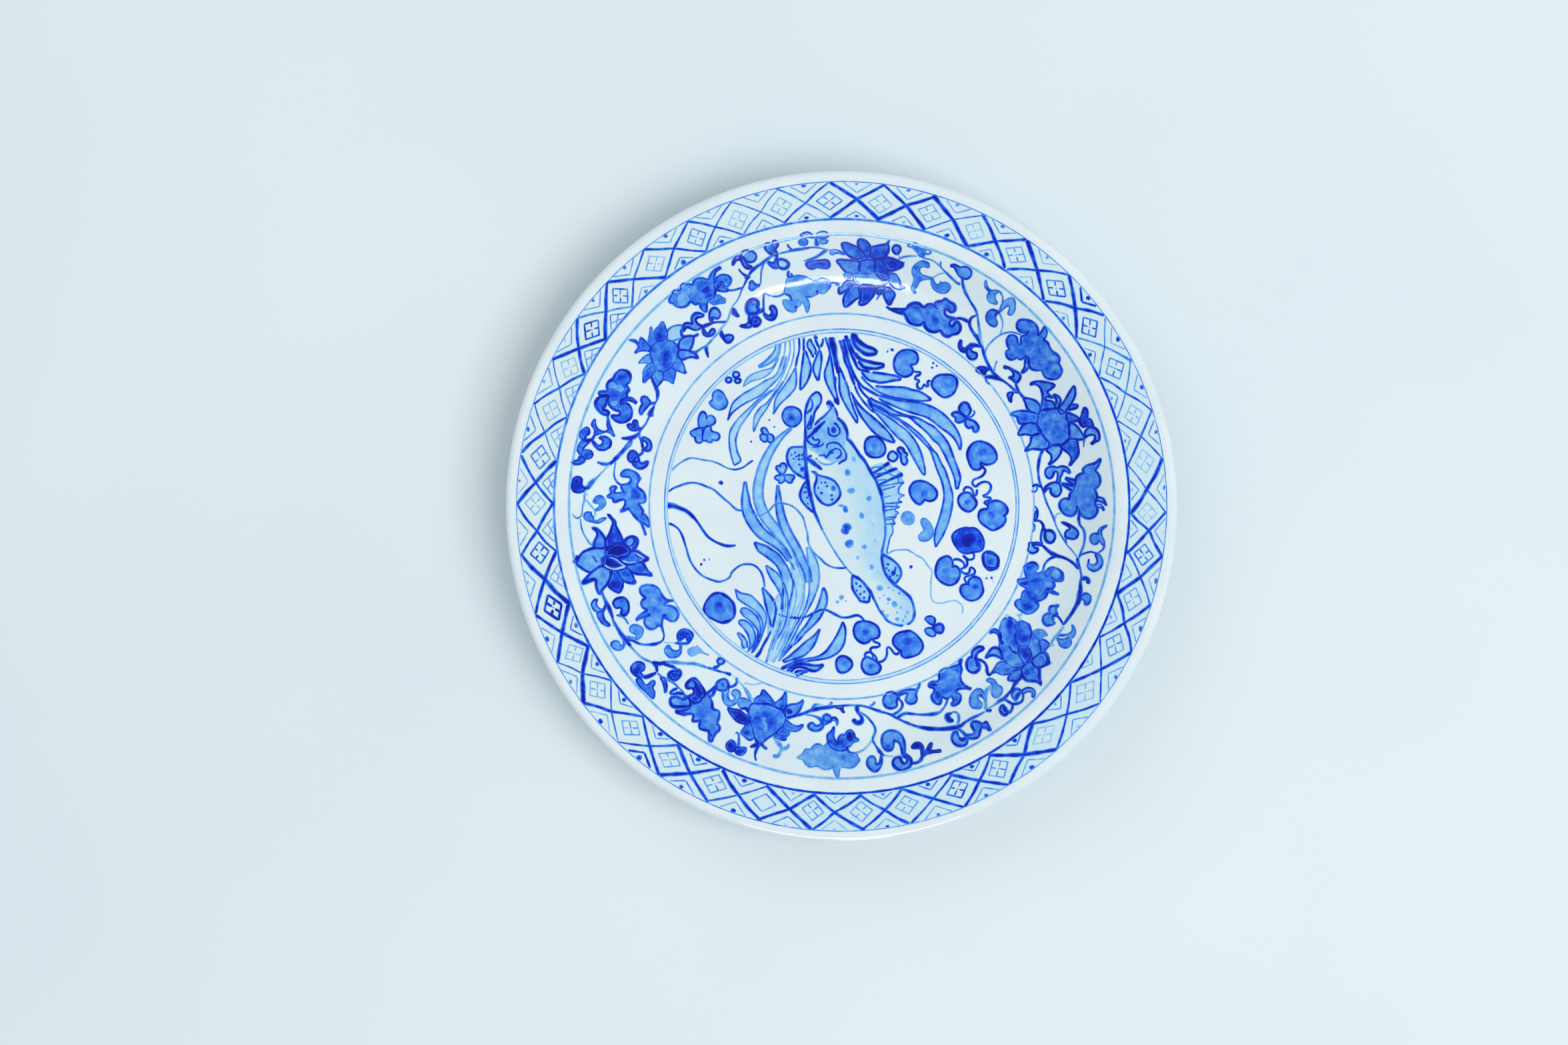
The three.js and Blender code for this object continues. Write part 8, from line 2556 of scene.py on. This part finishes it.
def scroll_south(wash, lines):
    """The pale leaf at 268 degrees with its dark horns, and the curls beside it."""
    petals(wash, lines, [
        ([(-19.6, -112), (-17.4, -110.4), (-16, -108.2), (-14, -108.4), (-12, -106.4), (-10, -106),
          (-8, -107), (-6, -105.4), (-4, -107.4), (-1, -108.8), (2, -108), (3, -109), (4.6, -109.9),
          (6.6, -110), (7, -111.6), (8, -113), (6.8, -114.6), (5.2, -116), (3, -116.4), (0, -116),
          (-1, -117), (-1.4, -119), (-1.8, -121), (-2.8, -119), (-3.6, -117), (-4.2, -115.4),
          (-5, -116.6), (-8, -117), (-11, -115.6), (-14, -116), (-16, -114.6), (-17.4, -112.6)],
         0.43, (0.6, 0.6)),
        ([(-3.4, -98.2), (-4.4, -100), (-6, -101.6), (-6.2, -103.4), (-5.8, -105.6), (-4, -107.6),
          (-1, -108.8), (1.6, -108.4), (2.4, -107), (3.4, -106.8), (5, -105), (7.6, -104.2),
          (5.8, -103), (5.4, -101.4), (4.4, -100), (3.2, -99.8), (2, -101), (1.6, -102), (0, -101.8),
          (-1.2, -103), (-2, -105), (-3, -104.4), (-3.8, -102.4), (-3.6, -100.4)], 0.68, (0.7, 0.82)),
        ([(-3, -89.2), (0.2, -88.8), (0.6, -90.6), (1.2, -92), (0.4, -91.4), (-0.6, -90.2), (-2, -89.8)],
         0.92, (0.5, 0.93)),
        ([(17.6, -110.6), (17.8, -113), (17.4, -115.6), (16, -117.6), (14.4, -118), (12.6, -116.8),
          (11.4, -115), (11.6, -113), (12.8, -111.6), (14.2, -111.6), (15, -113), (15.2, -114.8),
          (16.2, -115), (17.2, -113.6)], 0.48, (0.75, 0.82)),
        ([(27, -110.4), (28, -110.4), (28, -106.6), (27.4, -103.4), (26, -101.4), (23.6, -100.2),
          (21, -100), (18.8, -101.4), (18, -104), (18.4, -107), (20, -108.6), (22, -108.4),
          (23, -106.6), (23.2, -104.8), (25, -104.6), (26.4, -106.6), (27, -108.6)], 0.52, (0.8, 0.84)),
        ([(27.4, -111), (29, -112), (29.2, -113.6), (28, -114.8), (26.6, -113.6), (25.8, -111.8),
          (24.4, -111.8), (23, -113.6), (23.4, -115.6), (25.4, -117.2), (27.6, -117.4), (30, -116),
          (31, -114), (30.4, -112), (28.4, -110.6)], 0.52, (0.95, 0.95)),
        ([(-8.4, -98), (-9.6, -99.4), (-11.6, -100), (-13.6, -99.4), (-14.8, -98), (-14, -96.8),
          (-12.8, -96.6), (-12, -97.6), (-10.4, -97.8), (-9, -97.2)], 0.5, (0.8, 0.84)),
        ([(-8, -95), (-8, -93.6), (-6.8, -92.8), (-5.6, -93.2), (-4.8, -94.4), (-5.4, -95.6),
          (-7, -95.8)], 0.46, (0.8, 0.86)),
        ([(24.4, -87), (24.8, -85.4), (25.2, -84.4), (23.8, -83.2), (22, -82.8), (20, -83.4),
          (18.8, -85.4), (18.8, -87.6), (20, -89.4), (22.4, -89.9), (24.4, -89), (24.5, -87.8)],
         0.5, (0.8, 0.86)),
    ])
    long_pools(wash, [
        (-8.5, -110, 4, 1.4, 0.52), (1.4, -111.6, 4, 1.8, 0.62), (3, -113.2, 2.4, 1, 0.62),
        (3.6, -102.6, 1.6, 2.5, 0.98), (-4.8, -104.4, 1.1, 1.8, 0.76), (-1.6, -105.2, 1.3, 1, 0.88),
        (-14, -112, 1.2, 0.8, 0.5), (20.4, -107.2, 1.6, 1.2, 0.8), (27.4, -108.8, 0.7, 1.8, 0.96),
        (25.2, -85.4, 1, 1.1, 0.97), (-4.9, -95.4, 0.9, 0.8, 0.95), (22, -86, 2, 2, 0.6),
    ])
    lines.lines(
        [
            ([(-13.6, -90.8), (-12.4, -89), (-11.4, -88.3), (-8, -88.4)], (0.7, 0.8, 0.3),
             (0.75, 0.6, 0.3)),
            ([(-7, -89.6), (-5.4, -88.6), (-4.2, -87)], (0.5, 0.9), 0.66),
            ([(11.8, -89.4), (13.4, -88.6), (15, -87)], (0.6, 0.9), 0.62),
            ([(6.9, -88.4), (6.8, -90.4), (7.6, -92.2), (8.8, -93.8), (9, -95.6), (7.6, -96.5),
              (6, -96), (5, -94.6)], (1.2, 1.2, 0.9, 0.9, 1.3, 1.5, 1.3), (0.96, 0.9, 0.8, 0.88, 0.92)),
            ([(7.6, -91.4), (10.4, -93), (12.8, -95.4), (14.6, -98), (15, -100.2), (14.2, -102.4),
              (13.6, -104)], (0.5, 0.6, 0.8, 0.6), (0.6, 0.7, 0.8, 0.7)),
            ([(13.6, -104), (11.4, -107), (8.8, -109), (5.8, -109.9)], 0.6, 0.42),
            ([(6.4, -109.9), (4, -109.8), (2.6, -108.6), (2.4, -107)], (0.6, 0.9), (0.7, 0.88)),
            ([(13.6, -104), (15.2, -106.6), (16.8, -109), (18, -110.4), (19.2, -111.2)],
             (0.9, 0.6, 1, 0.5), 0.82),
            ([(19.2, -111), (22.6, -111.4), (26, -110.8), (27.4, -110.4)], 0.5, 0.32),
            ([(23, -105), (23.4, -104.4), (25, -104.8), (26.4, -106.8), (27.3, -110)],
             (1.3, 0.6, 0.8, 1.2), 0.93),
            ([(-17.2, -92.6), (-14, -93), (-11.2, -93.8), (-9.2, -95), (-8.6, -96.6), (-8.4, -98)],
             (0.5, 0.5, 0.7, 1.2, 0.9), (0.55, 0.55, 0.8, 0.93)),
            ([(-8.2, -97.6), (-6.4, -96.4), (-5, -95.4), (-4.4, -94.4), (-3, -94.2), (-1.9, -95.6),
              (-2.2, -97.8)], (0.6, 0.8, 1, 0.7, 0.8, 0.8, 0.7), (0.82, 0.93, 0.8)),
            ([(-4.4, -95.6), (-3.4, -95.2), (-2.4, -96.4)], 0.5, 0.8),
            ([(22.4, -93), (25, -91.6), (26.8, -89.6), (27, -87.6), (25.8, -86)], (0.9, 0.7, 0.8), 0.8),
            ([(24.8, -94.4), (26.4, -93), (28.6, -92.2), (31, -92.3)], (0.9, 1, 0.7), 0.86),
        ],
        0.6, 0.85,
    )


def scroll_south_east(wash, lines):
    """The leaf at 301 degrees and the sprigs on both sides of the stem."""
    petals(wash, lines, [
        ([(47, -85.6), (45.6, -85), (44.6, -85.2), (44.2, -87), (43.6, -88), (42, -87.6), (40.6, -86.2),
          (40.2, -84.4), (41.2, -82.8), (41.2, -81), (39, -80.2), (39.2, -79), (40.6, -78.2),
          (42.6, -78), (43.6, -77), (43.4, -75), (44, -73.6), (46, -72.4), (49, -71.6), (51.4, -70.8),
          (52.4, -70), (52.6, -68.2), (53.4, -68), (52.8, -70.4), (53.4, -72.6), (52.8, -75),
          (53, -77.4), (54.4, -79.6), (56, -80.6), (57.8, -81.4), (55, -81), (52.4, -81.2), (51, -82),
          (50.6, -83), (52.6, -83.8), (53, -85.4), (52.2, -87.4), (50, -88.6), (49, -88.2), (50, -86.8),
          (49.4, -85), (48.6, -84.4)], 0.56, (0.8, 0.88)),
        ([(25, -84), (26.4, -82.6), (28.4, -81.8), (31, -81.6), (33.4, -81.6), (34.4, -80.4),
          (34.8, -78.6), (33.9, -81), (33.4, -82.2), (33, -83.8), (33.4, -85.6), (32.8, -87.2),
          (31, -87.9), (29.4, -87.4), (28.6, -86), (29.2, -84.4), (29.4, -83.2), (27.4, -83.4),
          (25.6, -84.2)], 0.5, (0.75, 0.84)),
        ([(56, -103.4), (55.6, -105.6), (53.8, -106.6), (51.4, -106.4), (49.6, -104.8), (49.2, -102.8),
          (50, -101), (51.2, -100.4), (51.8, -102), (52.8, -103.6), (54.4, -103.8), (55.4, -102.6)],
         0.52, (0.85, 0.88)),
        ([(55.6, -102), (58, -101.8), (59.4, -100.6), (58.6, -98.8), (57.8, -97), (59, -96), (61, -96.2),
          (62.8, -97), (64.4, -96), (65.2, -97.6), (66.2, -99.8), (64.4, -98.6), (62.2, -98.6),
          (61.6, -100.6), (60.8, -102.6), (58.8, -103.3), (56.2, -103)], 0.56, (0.85, 0.86)),
        ([(31.2, -107.6), (31.4, -106.4), (33, -105.2), (35, -105.4), (36.4, -107), (36.8, -109),
          (37.2, -110.6), (35.8, -111.8), (35.4, -110.2), (35.2, -108.6), (34.2, -107.8),
          (32.6, -107.9)], 0.94, (0.4, 0.95)),
        ([(36.6, -110.2), (37.6, -108.6), (38.4, -107), (39.2, -105.8), (40.3, -105.3),
          (40.1, -107), (39.5, -108.4), (38.4, -110), (37, -111)], 0.94, (0.4, 0.95)),
        ([(38, -109.2), (40, -108.7), (42, -108.7), (44, -108.4), (43.9, -109.4), (41, -109.7),
          (38.6, -110.2)], 0.92, (0.4, 0.93)),
        ([(59.8, -68.2), (59.8, -66.6), (60.6, -65), (62.4, -64), (63.2, -63), (61.4, -62.6),
          (59.4, -63.4), (58.2, -64.8), (58, -67), (56.8, -67.6), (55.8, -69.4), (55.9, -71.8),
          (57, -73.4), (59, -74), (60.8, -73), (61.4, -71), (60.6, -69.4)], 0.53, (0.85, 0.92)),
        ([(63.8, -85.6), (62, -84.4), (60.6, -84.2), (60.6, -85.6), (61.4, -86.8), (62.4, -88),
          (61.8, -89.6), (60, -89.9), (58, -89.4), (57.2, -87.6), (57.4, -85), (58.4, -83), (60, -81.6),
          (61.6, -81.4), (62.8, -82.4), (63.8, -84)], 0.5, (0.6, 0.72)),
        ([(64.6, -77.6), (66, -76.8), (68, -77.4), (69, -79), (69.6, -79.8), (71, -80.4), (71.4, -82),
          (70.6, -84), (68.8, -85.2), (67.4, -84.4), (66.9, -82.4), (67.2, -80.4), (66.6, -78.6)],
         0.47, (0.6, 0.68)),
        ([(77.6, -86.4), (76.2, -85), (75.9, -83.4), (76.6, -81.9), (78, -81.3), (79.6, -82),
          (79.4, -83.2), (78.4, -84)], 0.52, (0.75, 0.84)),
        ([(74.2, -91.4), (73, -92.8), (71.6, -92.4), (70.6, -90.8), (71, -89.2), (72, -88.6),
          (72.6, -89.8), (73.4, -91)], 0.52, (0.9, 0.9)),
    ])
    long_pools(wash, [
        (40.8, -79.2, 1.6, 1.1, 0.97), (43, -84.4, 1.8, 2.2, 0.82), (46.4, -82.2, 3, 1, 0.74),
        (49.9, -86.4, 0.7, 1.6, 0.93), (45, -79.4, 2, 1, 0.68), (49, -75, 2.4, 2, 0.6),
        (43.9, -86.6, 0.7, 1.4, 0.95), (60.2, -100, 1, 2, 0.6), (69.2, -81.6, 1, 1.6, 0.58),
    ])
    lines.lines(
        [
            ([(24.8, -94.4), (26.4, -93), (28.6, -92.2), (32, -92.5), (36, -92.8), (40, -92.6),
              (43, -92), (44.4, -91), (46, -89), (47, -86.6), (47, -85.6)],
             (1.1, 0.8, 0.7, 0.8, 1.1, 0.5, 0.7), (0.92, 0.8, 0.82, 0.9, 0.6, 0.86)),
            ([(29, -96.3), (31, -97.2), (35, -98.4), (39, -99), (43, -99.2), (47, -99), (50, -98.6),
              (53, -97.8), (55, -96.2), (58, -94.4), (61, -93), (64, -91.3)],
             (0.8, 0.8, 1, 1.2, 1.1, 1.3, 0.8, 0.8, 0.5),
             (0.82, 0.82, 0.93, 0.95, 0.94, 0.8, 0.84, 0.55)),
            ([(50, -95.8), (47.8, -95), (47, -93.6), (47.8, -92.6), (49.4, -92)], (0.9, 1.6, 1.4, 0.6),
             (0.9, 0.93, 0.8)),
            ([(48.6, -92.2), (50, -91.6), (51.6, -92.2), (52.2, -94), (52, -96), (50.6, -98)],
             (0.6, 0.8, 0.6), (0.8, 0.66, 0.4)),
            ([(50.8, -98.8), (53, -99.8), (55, -101.8), (56, -103.4)], (0.6, 0.9, 1.1), (0.7, 0.92)),
            ([(52.2, -102.6), (53, -103.7), (54.4, -104), (55.4, -103)], (0.9, 1.5, 1), 0.96),
            ([(57.9, -97.4), (58.6, -99), (59.3, -100.8)], (1.2, 0.7), 0.92),
            ([(61.8, -97), (62.6, -97.8), (62.2, -98.6)], 1, 0.93),
            ([(35.9, -111.6), (35, -113.2), (33, -114.3), (31, -114.2)], (1.2, 0.7), 0.9),
            ([(60, -67.6), (60.2, -69.4), (61, -71.6)], (1, 1.5), 0.96),
            ([(60.2, -68.4), (62, -68.6), (63.8, -69.8), (64.6, -71.6), (64.8, -73.6), (65.6, -75),
              (66.8, -74.4)], (1, 0.8, 0.9, 0.7), 0.92),
            ([(60.4, -83.9), (62.2, -84.3), (63.6, -85.4)], 0.9, 0.86),
            ([(64.3, -90.6), (64.1, -88), (64, -85), (64.4, -82.6), (65.6, -81), (67, -80.2)],
             (1.3, 1, 1.2, 1.2), (0.55, 0.45)),
            ([(64.2, -90.9), (66.9, -90.9)], (1.2, 0.9), 0.92),
            ([(65, -90.2), (68.4, -88.2), (70.4, -86.6), (72, -85.8), (74, -83.8), (76, -81.4),
              (77.2, -79), (78.4, -77.4)], (0.4, 0.6, 1, 0.9, 0.8, 0.9, 1.4),
             (0.4, 0.6, 0.88, 0.84, 0.9, 0.95)),
            ([(71.6, -86), (73.4, -86.4), (75, -87.4), (76.4, -88), (79, -87.6), (80.6, -86.2),
              (80.8, -84), (79.8, -82.2)], 0.8, 0.84),
            ([(79.4, -83.2), (78.2, -84.2), (77.6, -86.2)], 1.3, 0.95),
            ([(76.2, -88), (76, -90), (75.2, -91.4), (74.2, -92.2)], (0.6, 0.9), 0.88),
            ([(72.2, -89.2), (72.8, -90.6), (73.6, -91.6)], 1.3, 0.94),
        ],
        0.6, 0.85,
    )


def scroll_layered_lotus(wash, lines):
    """The lotus of overlapping petals at 322 degrees."""
    petals(wash, lines, [
        ([(85.4, -85), (86.2, -83.4), (85.8, -81.8), (84.3, -80.9), (82.3, -80.9), (80.5, -81.9),
          (80.6, -83), (81.8, -83.2), (82.5, -82.5), (83.9, -82.5), (85, -83.1), (84.8, -84.5)],
         0.5, (0.5, 0.88)),
        ([(85.2, -56.4), (86.4, -55.2), (88, -54.9), (90, -55.4), (91.2, -56.8), (91.6, -57.4),
          (89.4, -58), (89, -59), (87.4, -58.4)], 0.5, (0.5, 0.66)),
        ([(88.6, -59.6), (90.4, -59.6), (92, -60.8), (92.8, -61.8), (91.4, -63), (90.2, -64.6),
          (89, -65), (88.6, -62)], 0.54, (0.6, 0.8)),
        ([(86.4, -67), (88, -65.6), (90.2, -65.4), (91.4, -66.6), (92, -68.6), (92.4, -69.8), (90, -71),
          (88, -71.8), (86, -71), (84.8, -69), (85.2, -67.6)], 0.58, (0.8, 0.94)),
        ([(66.6, -74.6), (68.2, -72), (69.6, -70), (71.4, -69.2), (73, -69.4), (75, -71), (77, -72.4),
          (75.4, -74), (73.4, -74.8), (71, -74.8), (69, -73.8), (67.4, -74)], 0.53, (0.6, 0.8)),
        ([(64.2, -67.4), (65.6, -65), (67, -63.4), (68.8, -63), (70.6, -64), (71.4, -66), (71.8, -68),
          (70, -67), (68, -66.2), (66, -66.4)], 0.52, (0.85, 0.93)),
        ([(66, -56.4), (66.6, -55.4), (68.2, -54.8), (70, -56), (70.4, -57.4), (69, -56.4),
          (67.6, -55.9)], 0.5, (0.75, 0.86)),
        ([(80, -72.4), (78.4, -72.8), (76.2, -73.6), (75, -75), (74.2, -77.2), (76, -77.6), (78, -77.6),
          (79.6, -76.6), (80.2, -75)], 0.56, (0.8, 0.88)),
        ([(82, -70.4), (84.4, -69.4), (86, -71), (87.8, -72), (88, -74), (88, -76.4), (88.6, -78.8),
          (88.8, -79.4), (87.2, -78), (84.8, -77.6), (82.4, -77.4), (81, -76), (80.2, -74),
          (80.2, -72)], 0.6, (0.9, 0.92)),
        ([(84.4, -56.6), (86, -57.4), (87.8, -59.2), (88.4, -61.4), (88.6, -63.6), (88.4, -65),
          (86.6, -67), (84.8, -68.6), (84.6, -66.4), (84, -64), (82.8, -62.4), (83.8, -60)],
         0.56, (0.7, 0.82)),
        ([(72, -50.6), (70.8, -53), (70.4, -56), (70.6, -60), (70.2, -63), (70.8, -66), (72, -68),
          (74, -70), (76.4, -71.4), (79.4, -71.8), (81.4, -70.8), (81.8, -69.6), (80, -67.6),
          (78.6, -65), (78.6, -62.6), (77, -60), (77.4, -57), (77.8, -54), (78.6, -52.6), (77.4, -51),
          (75.6, -49.8), (73.8, -49.4)], 0.54, (0.65, 0.78)),
        ([(79.4, -51), (81.4, -51.6), (83.4, -52.8), (84, -54.8), (84.6, -56.4), (84, -59),
          (83.6, -61), (82.6, -62.4), (80, -62), (78.4, -61.6), (77.4, -58.6), (77.8, -55.8),
          (79, -53.6)], 0.62, (0.7, 0.84)),
        ([(79, -62.2), (81, -62.2), (83, -63), (84.2, -65), (84, -67.4), (82.8, -69), (81.4, -70.2),
          (80, -68), (78.8, -65.6), (78.8, -63.4)], 0.72, (0.8, 0.9)),
    ])
    long_pools(wash, [
        (75, -53.4, 1.9, 3.4, 0.82), (77.8, -54, 1.3, 1.5, 0.94), (77.4, -60, 1.2, 3.2, 0.8),
        (73.6, -60, 1.4, 3, 0.6), (81, -58.6, 2.2, 1.9, 0.84), (82, -54, 1.8, 1.6, 0.72),
        (81.9, -66.2, 1.5, 1.8, 0.9), (82.8, -74, 1.3, 1.4, 0.86), (87.2, -71.6, 1.3, 0.9, 0.98),
        (80.1, -75.3, 0.9, 1.1, 0.97), (91.6, -69.2, 0.9, 0.9, 0.97), (86.2, -62, 1, 3, 0.62),
        (83.4, -60, 0.9, 1.3, 0.8),
    ])
    lines.lines(
        [
            ([(74.4, -61.8), (76, -64.4), (78.4, -65.6)], (0.6, 0.9), 0.84),
            ([(70.4, -56), (70.6, -58), (71, -60), (72, -61.5)], (1.2, 1.1, 1.9), 0.95),
            ([(70.3, -57.4), (70.8, -59.6)], 0.9, 0.88),
            ([(88, -65.4), (90.2, -65.2), (91.4, -66.6), (92.2, -69)], (0.8, 1.2, 1), 0.95),
            ([(87.4, -72), (88.1, -74.4), (88.2, -77), (88.9, -79.4)], (1.3, 0.9, 0.8), 0.94),
            ([(92.8, -61.7), (94.8, -61.8)], 0.8, 0.35),
            ([(92.4, -69.6), (94, -70)], 0.7, 0.4),
            ([(73.5, -47.9), (73.8, -49.6)], 1, 0.28),
            ([(79.3, -48.9), (79.5, -51)], 0.9, 0.28),
            ([(78, -48.6), (80.6, -48.2)], 0.8, 0.4),
        ],
        0.6, 0.85,
    )


def scroll_east_south(wash, lines):
    """The leaf at 338 degrees, and the stem that runs down to the layered lotus."""
    petals(wash, lines, [
        ([(89.4, -28.6), (89, -29.6), (87.2, -29.8), (86, -29.4), (86.4, -28.4), (87.4, -27.4), (87, -26),
          (85.4, -25), (83.4, -25.4), (81.6, -26.4), (81.2, -28), (82, -30), (82.4, -31.8),
          (80.6, -32.4), (78.8, -32.6), (78.6, -33.6), (80, -35), (82, -36), (82.6, -37), (81, -38),
          (80.4, -39.6), (80, -41.2), (78, -42), (77.4, -43.4), (78.4, -45), (80, -46.4), (82, -47.6),
          (84.4, -47.4), (86.4, -46), (87.6, -44), (87, -42.4), (89, -41.6), (90.8, -40.4),
          (91.6, -38.6), (92.6, -38), (94.6, -38.8), (96.8, -39.2), (95, -38.2), (93, -37.2),
          (94, -36.4), (94.8, -34.8), (94, -33.4), (96.4, -33.2), (98.2, -33), (98.6, -31.4),
          (98, -29.4), (96, -27.8), (93.6, -27.2), (92, -28), (91, -30), (90.4, -31), (89.8, -30)],
         0.6, (0.7, 0.82)),
        ([(106.4, -41), (107.4, -39.4), (109, -38.8), (110.6, -39.8), (110.8, -41.6), (109.8, -43.4),
          (108.4, -43.6), (108.4, -42), (107.2, -41.4)], 0.5, (0.7, 0.78)),
        ([(96, -48.6), (94.6, -48.4), (94, -49.8), (94.4, -51.6), (95, -52), (93, -52.8), (91, -52.8),
          (89.8, -51), (90, -49), (91.6, -47.8), (93.2, -47.8), (92.6, -46.4), (93, -44.8),
          (94.6, -44.4), (96.8, -44), (95.6, -45), (95.4, -46.6)], 0.48, (0.8, 0.82)),
        ([(101, -57), (102.4, -56), (103, -54.4), (102.6, -52.8), (103.8, -54.6), (104, -56.6),
          (103, -58.2), (101.4, -58.8)], 0.42, (0.6, 0.64)),
        ([(96, -58.8), (98, -59.4), (100, -59), (101.4, -58.8), (102.2, -60.2), (101.6, -62),
          (99.6, -62.9), (97.6, -62), (96.6, -60)], 0.52, (0.6, 0.72)),
    ])
    long_pools(wash, [
        (86, -33, 3.6, 1.3, 0.82), (84, -40.6, 3.4, 3, 0.8), (82.8, -44.8, 3, 1.9, 0.82),
        (81.2, -34.4, 1.7, 1, 0.93), (90.8, -30, 0.8, 1.6, 0.93), (92.3, -37, 1.2, 0.9, 0.94),
        (86.8, -42.6, 0.9, 1, 0.93), (83.2, -27.2, 1.6, 1, 0.76), (95.4, -30.2, 1.9, 1.8, 0.5),
        (88.4, -37.6, 2, 1.8, 0.66), (108.7, -43, 0.8, 0.8, 0.9), (92, -34.6, 1.6, 1, 0.54),
    ], paling=0.08)
    lines.lines(
        [
            ([(106.8, -31), (106.4, -34), (106.4, -37), (106, -40), (105.4, -42.4), (104.4, -44.4),
              (103, -46.8), (101.6, -49), (100.2, -50.8), (99, -52.8)],
             (0.6, 0.9, 1, 1.6, 1.4, 1, 0.8, 0.9, 0.6), (0.7, 0.88, 0.9, 0.97, 0.95, 0.88, 0.85)),
            ([(106.8, -33), (107.2, -32.2), (108.6, -32), (109.8, -32.8), (109.8, -34.6)],
             (0.9, 1.2, 1.1, 1.2), 0.94),
            ([(99, -53), (97.6, -50.6), (96, -48.6)], (0.8, 0.6), 0.85),
            ([(99, -53.4), (97, -56), (95, -58.4), (93.2, -61)], (0.9, 0.6), (0.36, 0.55)),
            ([(95.2, -58), (97, -57.4), (99, -57.4), (101, -57)], (0.9, 0.6), 0.68),
            ([(99.4, -59.1), (101.2, -58.6)], 0.8, 0.8),
        ],
        0.6, 0.85,
    )


NORTH_SCROLL = (
    scroll_east, scroll_first_lotus, scroll_first_leaf, scroll_north_east, scroll_north,
    scroll_north_west, scroll_west_lotus, scroll_west_leaf,
)
SOUTH_SCROLL = (
    scroll_west, scroll_dark_lotus, scroll_south_west, scroll_south_west_leaf,
    scroll_bulb_lotus, scroll_south, scroll_south_east, scroll_layered_lotus,
    scroll_east_south,
)


def scroll_half(side, parts):
    """Half the scroll as a piece of washes and a piece of lines. Gives back the washes."""
    wash = Painting("scroll_washes_" + side)
    lines = Painting("scroll_lines_" + side)
    for part in parts:
        part(wash, lines)
    washes = wash.piece()
    lines.piece()
    return washes


def lotus_scroll():
    """The winding lotus scroll on the curved wall."""
    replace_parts(scroll_half("north", NORTH_SCROLL), "cobalt_scroll_band")
    scroll_half("south", SOUTH_SCROLL)


# ---------------------------------------------------------------- camera, light and floor

def photographer():
    camera = bpy.data.objects.new("camera", bpy.data.cameras.new("camera"))
    camera.data.lens = LENS
    camera.data.sensor_width = SENSOR
    camera.data.shift_x = -PLATE_OFF_CENTRE[0] / VIEW_WIDTH
    camera.data.shift_y = -PLATE_OFF_CENTRE[1] / VIEW_WIDTH
    camera.location = (0, 0, (lip_top + CAMERA_HEIGHT) * MM)
    bpy.context.scene.collection.objects.link(camera)
    bpy.context.scene.camera = camera


def softbox(name, bearing, from_vertical, distance, size, watts, mirrored=True, diffuse=True):
    """A rectangular lamp that faces the plate. Bearing is in degrees from +X anticlockwise.

    One that isn't mirrored doesn't show in the glaze, and one that isn't diffuse shows only there.
    """
    data = bpy.data.lights.new(name, "AREA")
    data.shape = "RECTANGLE"
    data.size, data.size_y = size
    data.energy = watts
    lamp = bpy.data.objects.new(name, data)
    a, tilt = math.radians(bearing), math.radians(from_vertical)
    away = Vector((math.cos(a) * math.sin(tilt), math.sin(a) * math.sin(tilt), math.cos(tilt)))
    lamp.location = away * distance
    lamp.rotation_euler = away.to_track_quat("Z", "Y").to_euler()
    lamp.visible_glossy = mirrored
    lamp.visible_diffuse = diffuse
    bpy.context.scene.collection.objects.link(lamp)


def studio():
    daylight = (0.875, 0.94, 0.98, 1)
    softbox("key_light", -22, 30, 3.2, (1.9, 1.9), 58, mirrored=False)
    softbox("fill_light", 128, 50, 3.2, (2.4, 2.4), 21, mirrored=False)
    softbox("strip_light", -88, 46, 1.2, (0.6, 0.1), 7, diffuse=False)
    softbox("low_strip_light", -86, 73, 1.3, (0.2, 0.1), 1.8, diffuse=False)
    world = bpy.data.worlds.new("studio")
    world.use_nodes = True
    sky = world.node_tree.nodes["Background"].inputs
    sky["Color"].default_value = daylight
    sky["Strength"].default_value = 0.52
    bpy.context.scene.world = world
    bpy.context.scene.view_settings.view_transform = "Standard"


def pale_floor():
    side = 3.0
    corners = [(-side, -side, 0), (side, -side, 0), (side, side, 0), (-side, side, 0)]
    mesh = bpy.data.meshes.new("floor")
    mesh.from_pydata(corners, [], [(0, 1, 2, 3)])
    mesh.materials.append(floor_look())
    floor = bpy.data.objects.new("floor", mesh)
    bpy.context.scene.collection.objects.link(floor)


def fired_clay():
    """The clay body is seen as the CAD made it, with the clay's own look."""
    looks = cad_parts["porcelain_body"].data.materials
    looks.clear()
    looks.append(CLAY)


photographer()
studio()
pale_floor()
glazed_face()
glazed_back()
glazed_base()
foot_ring()
fired_clay()
wheel_rings()
trellis()
diamond_squares()
edge_triangles()
lotus_scroll()
medallion()
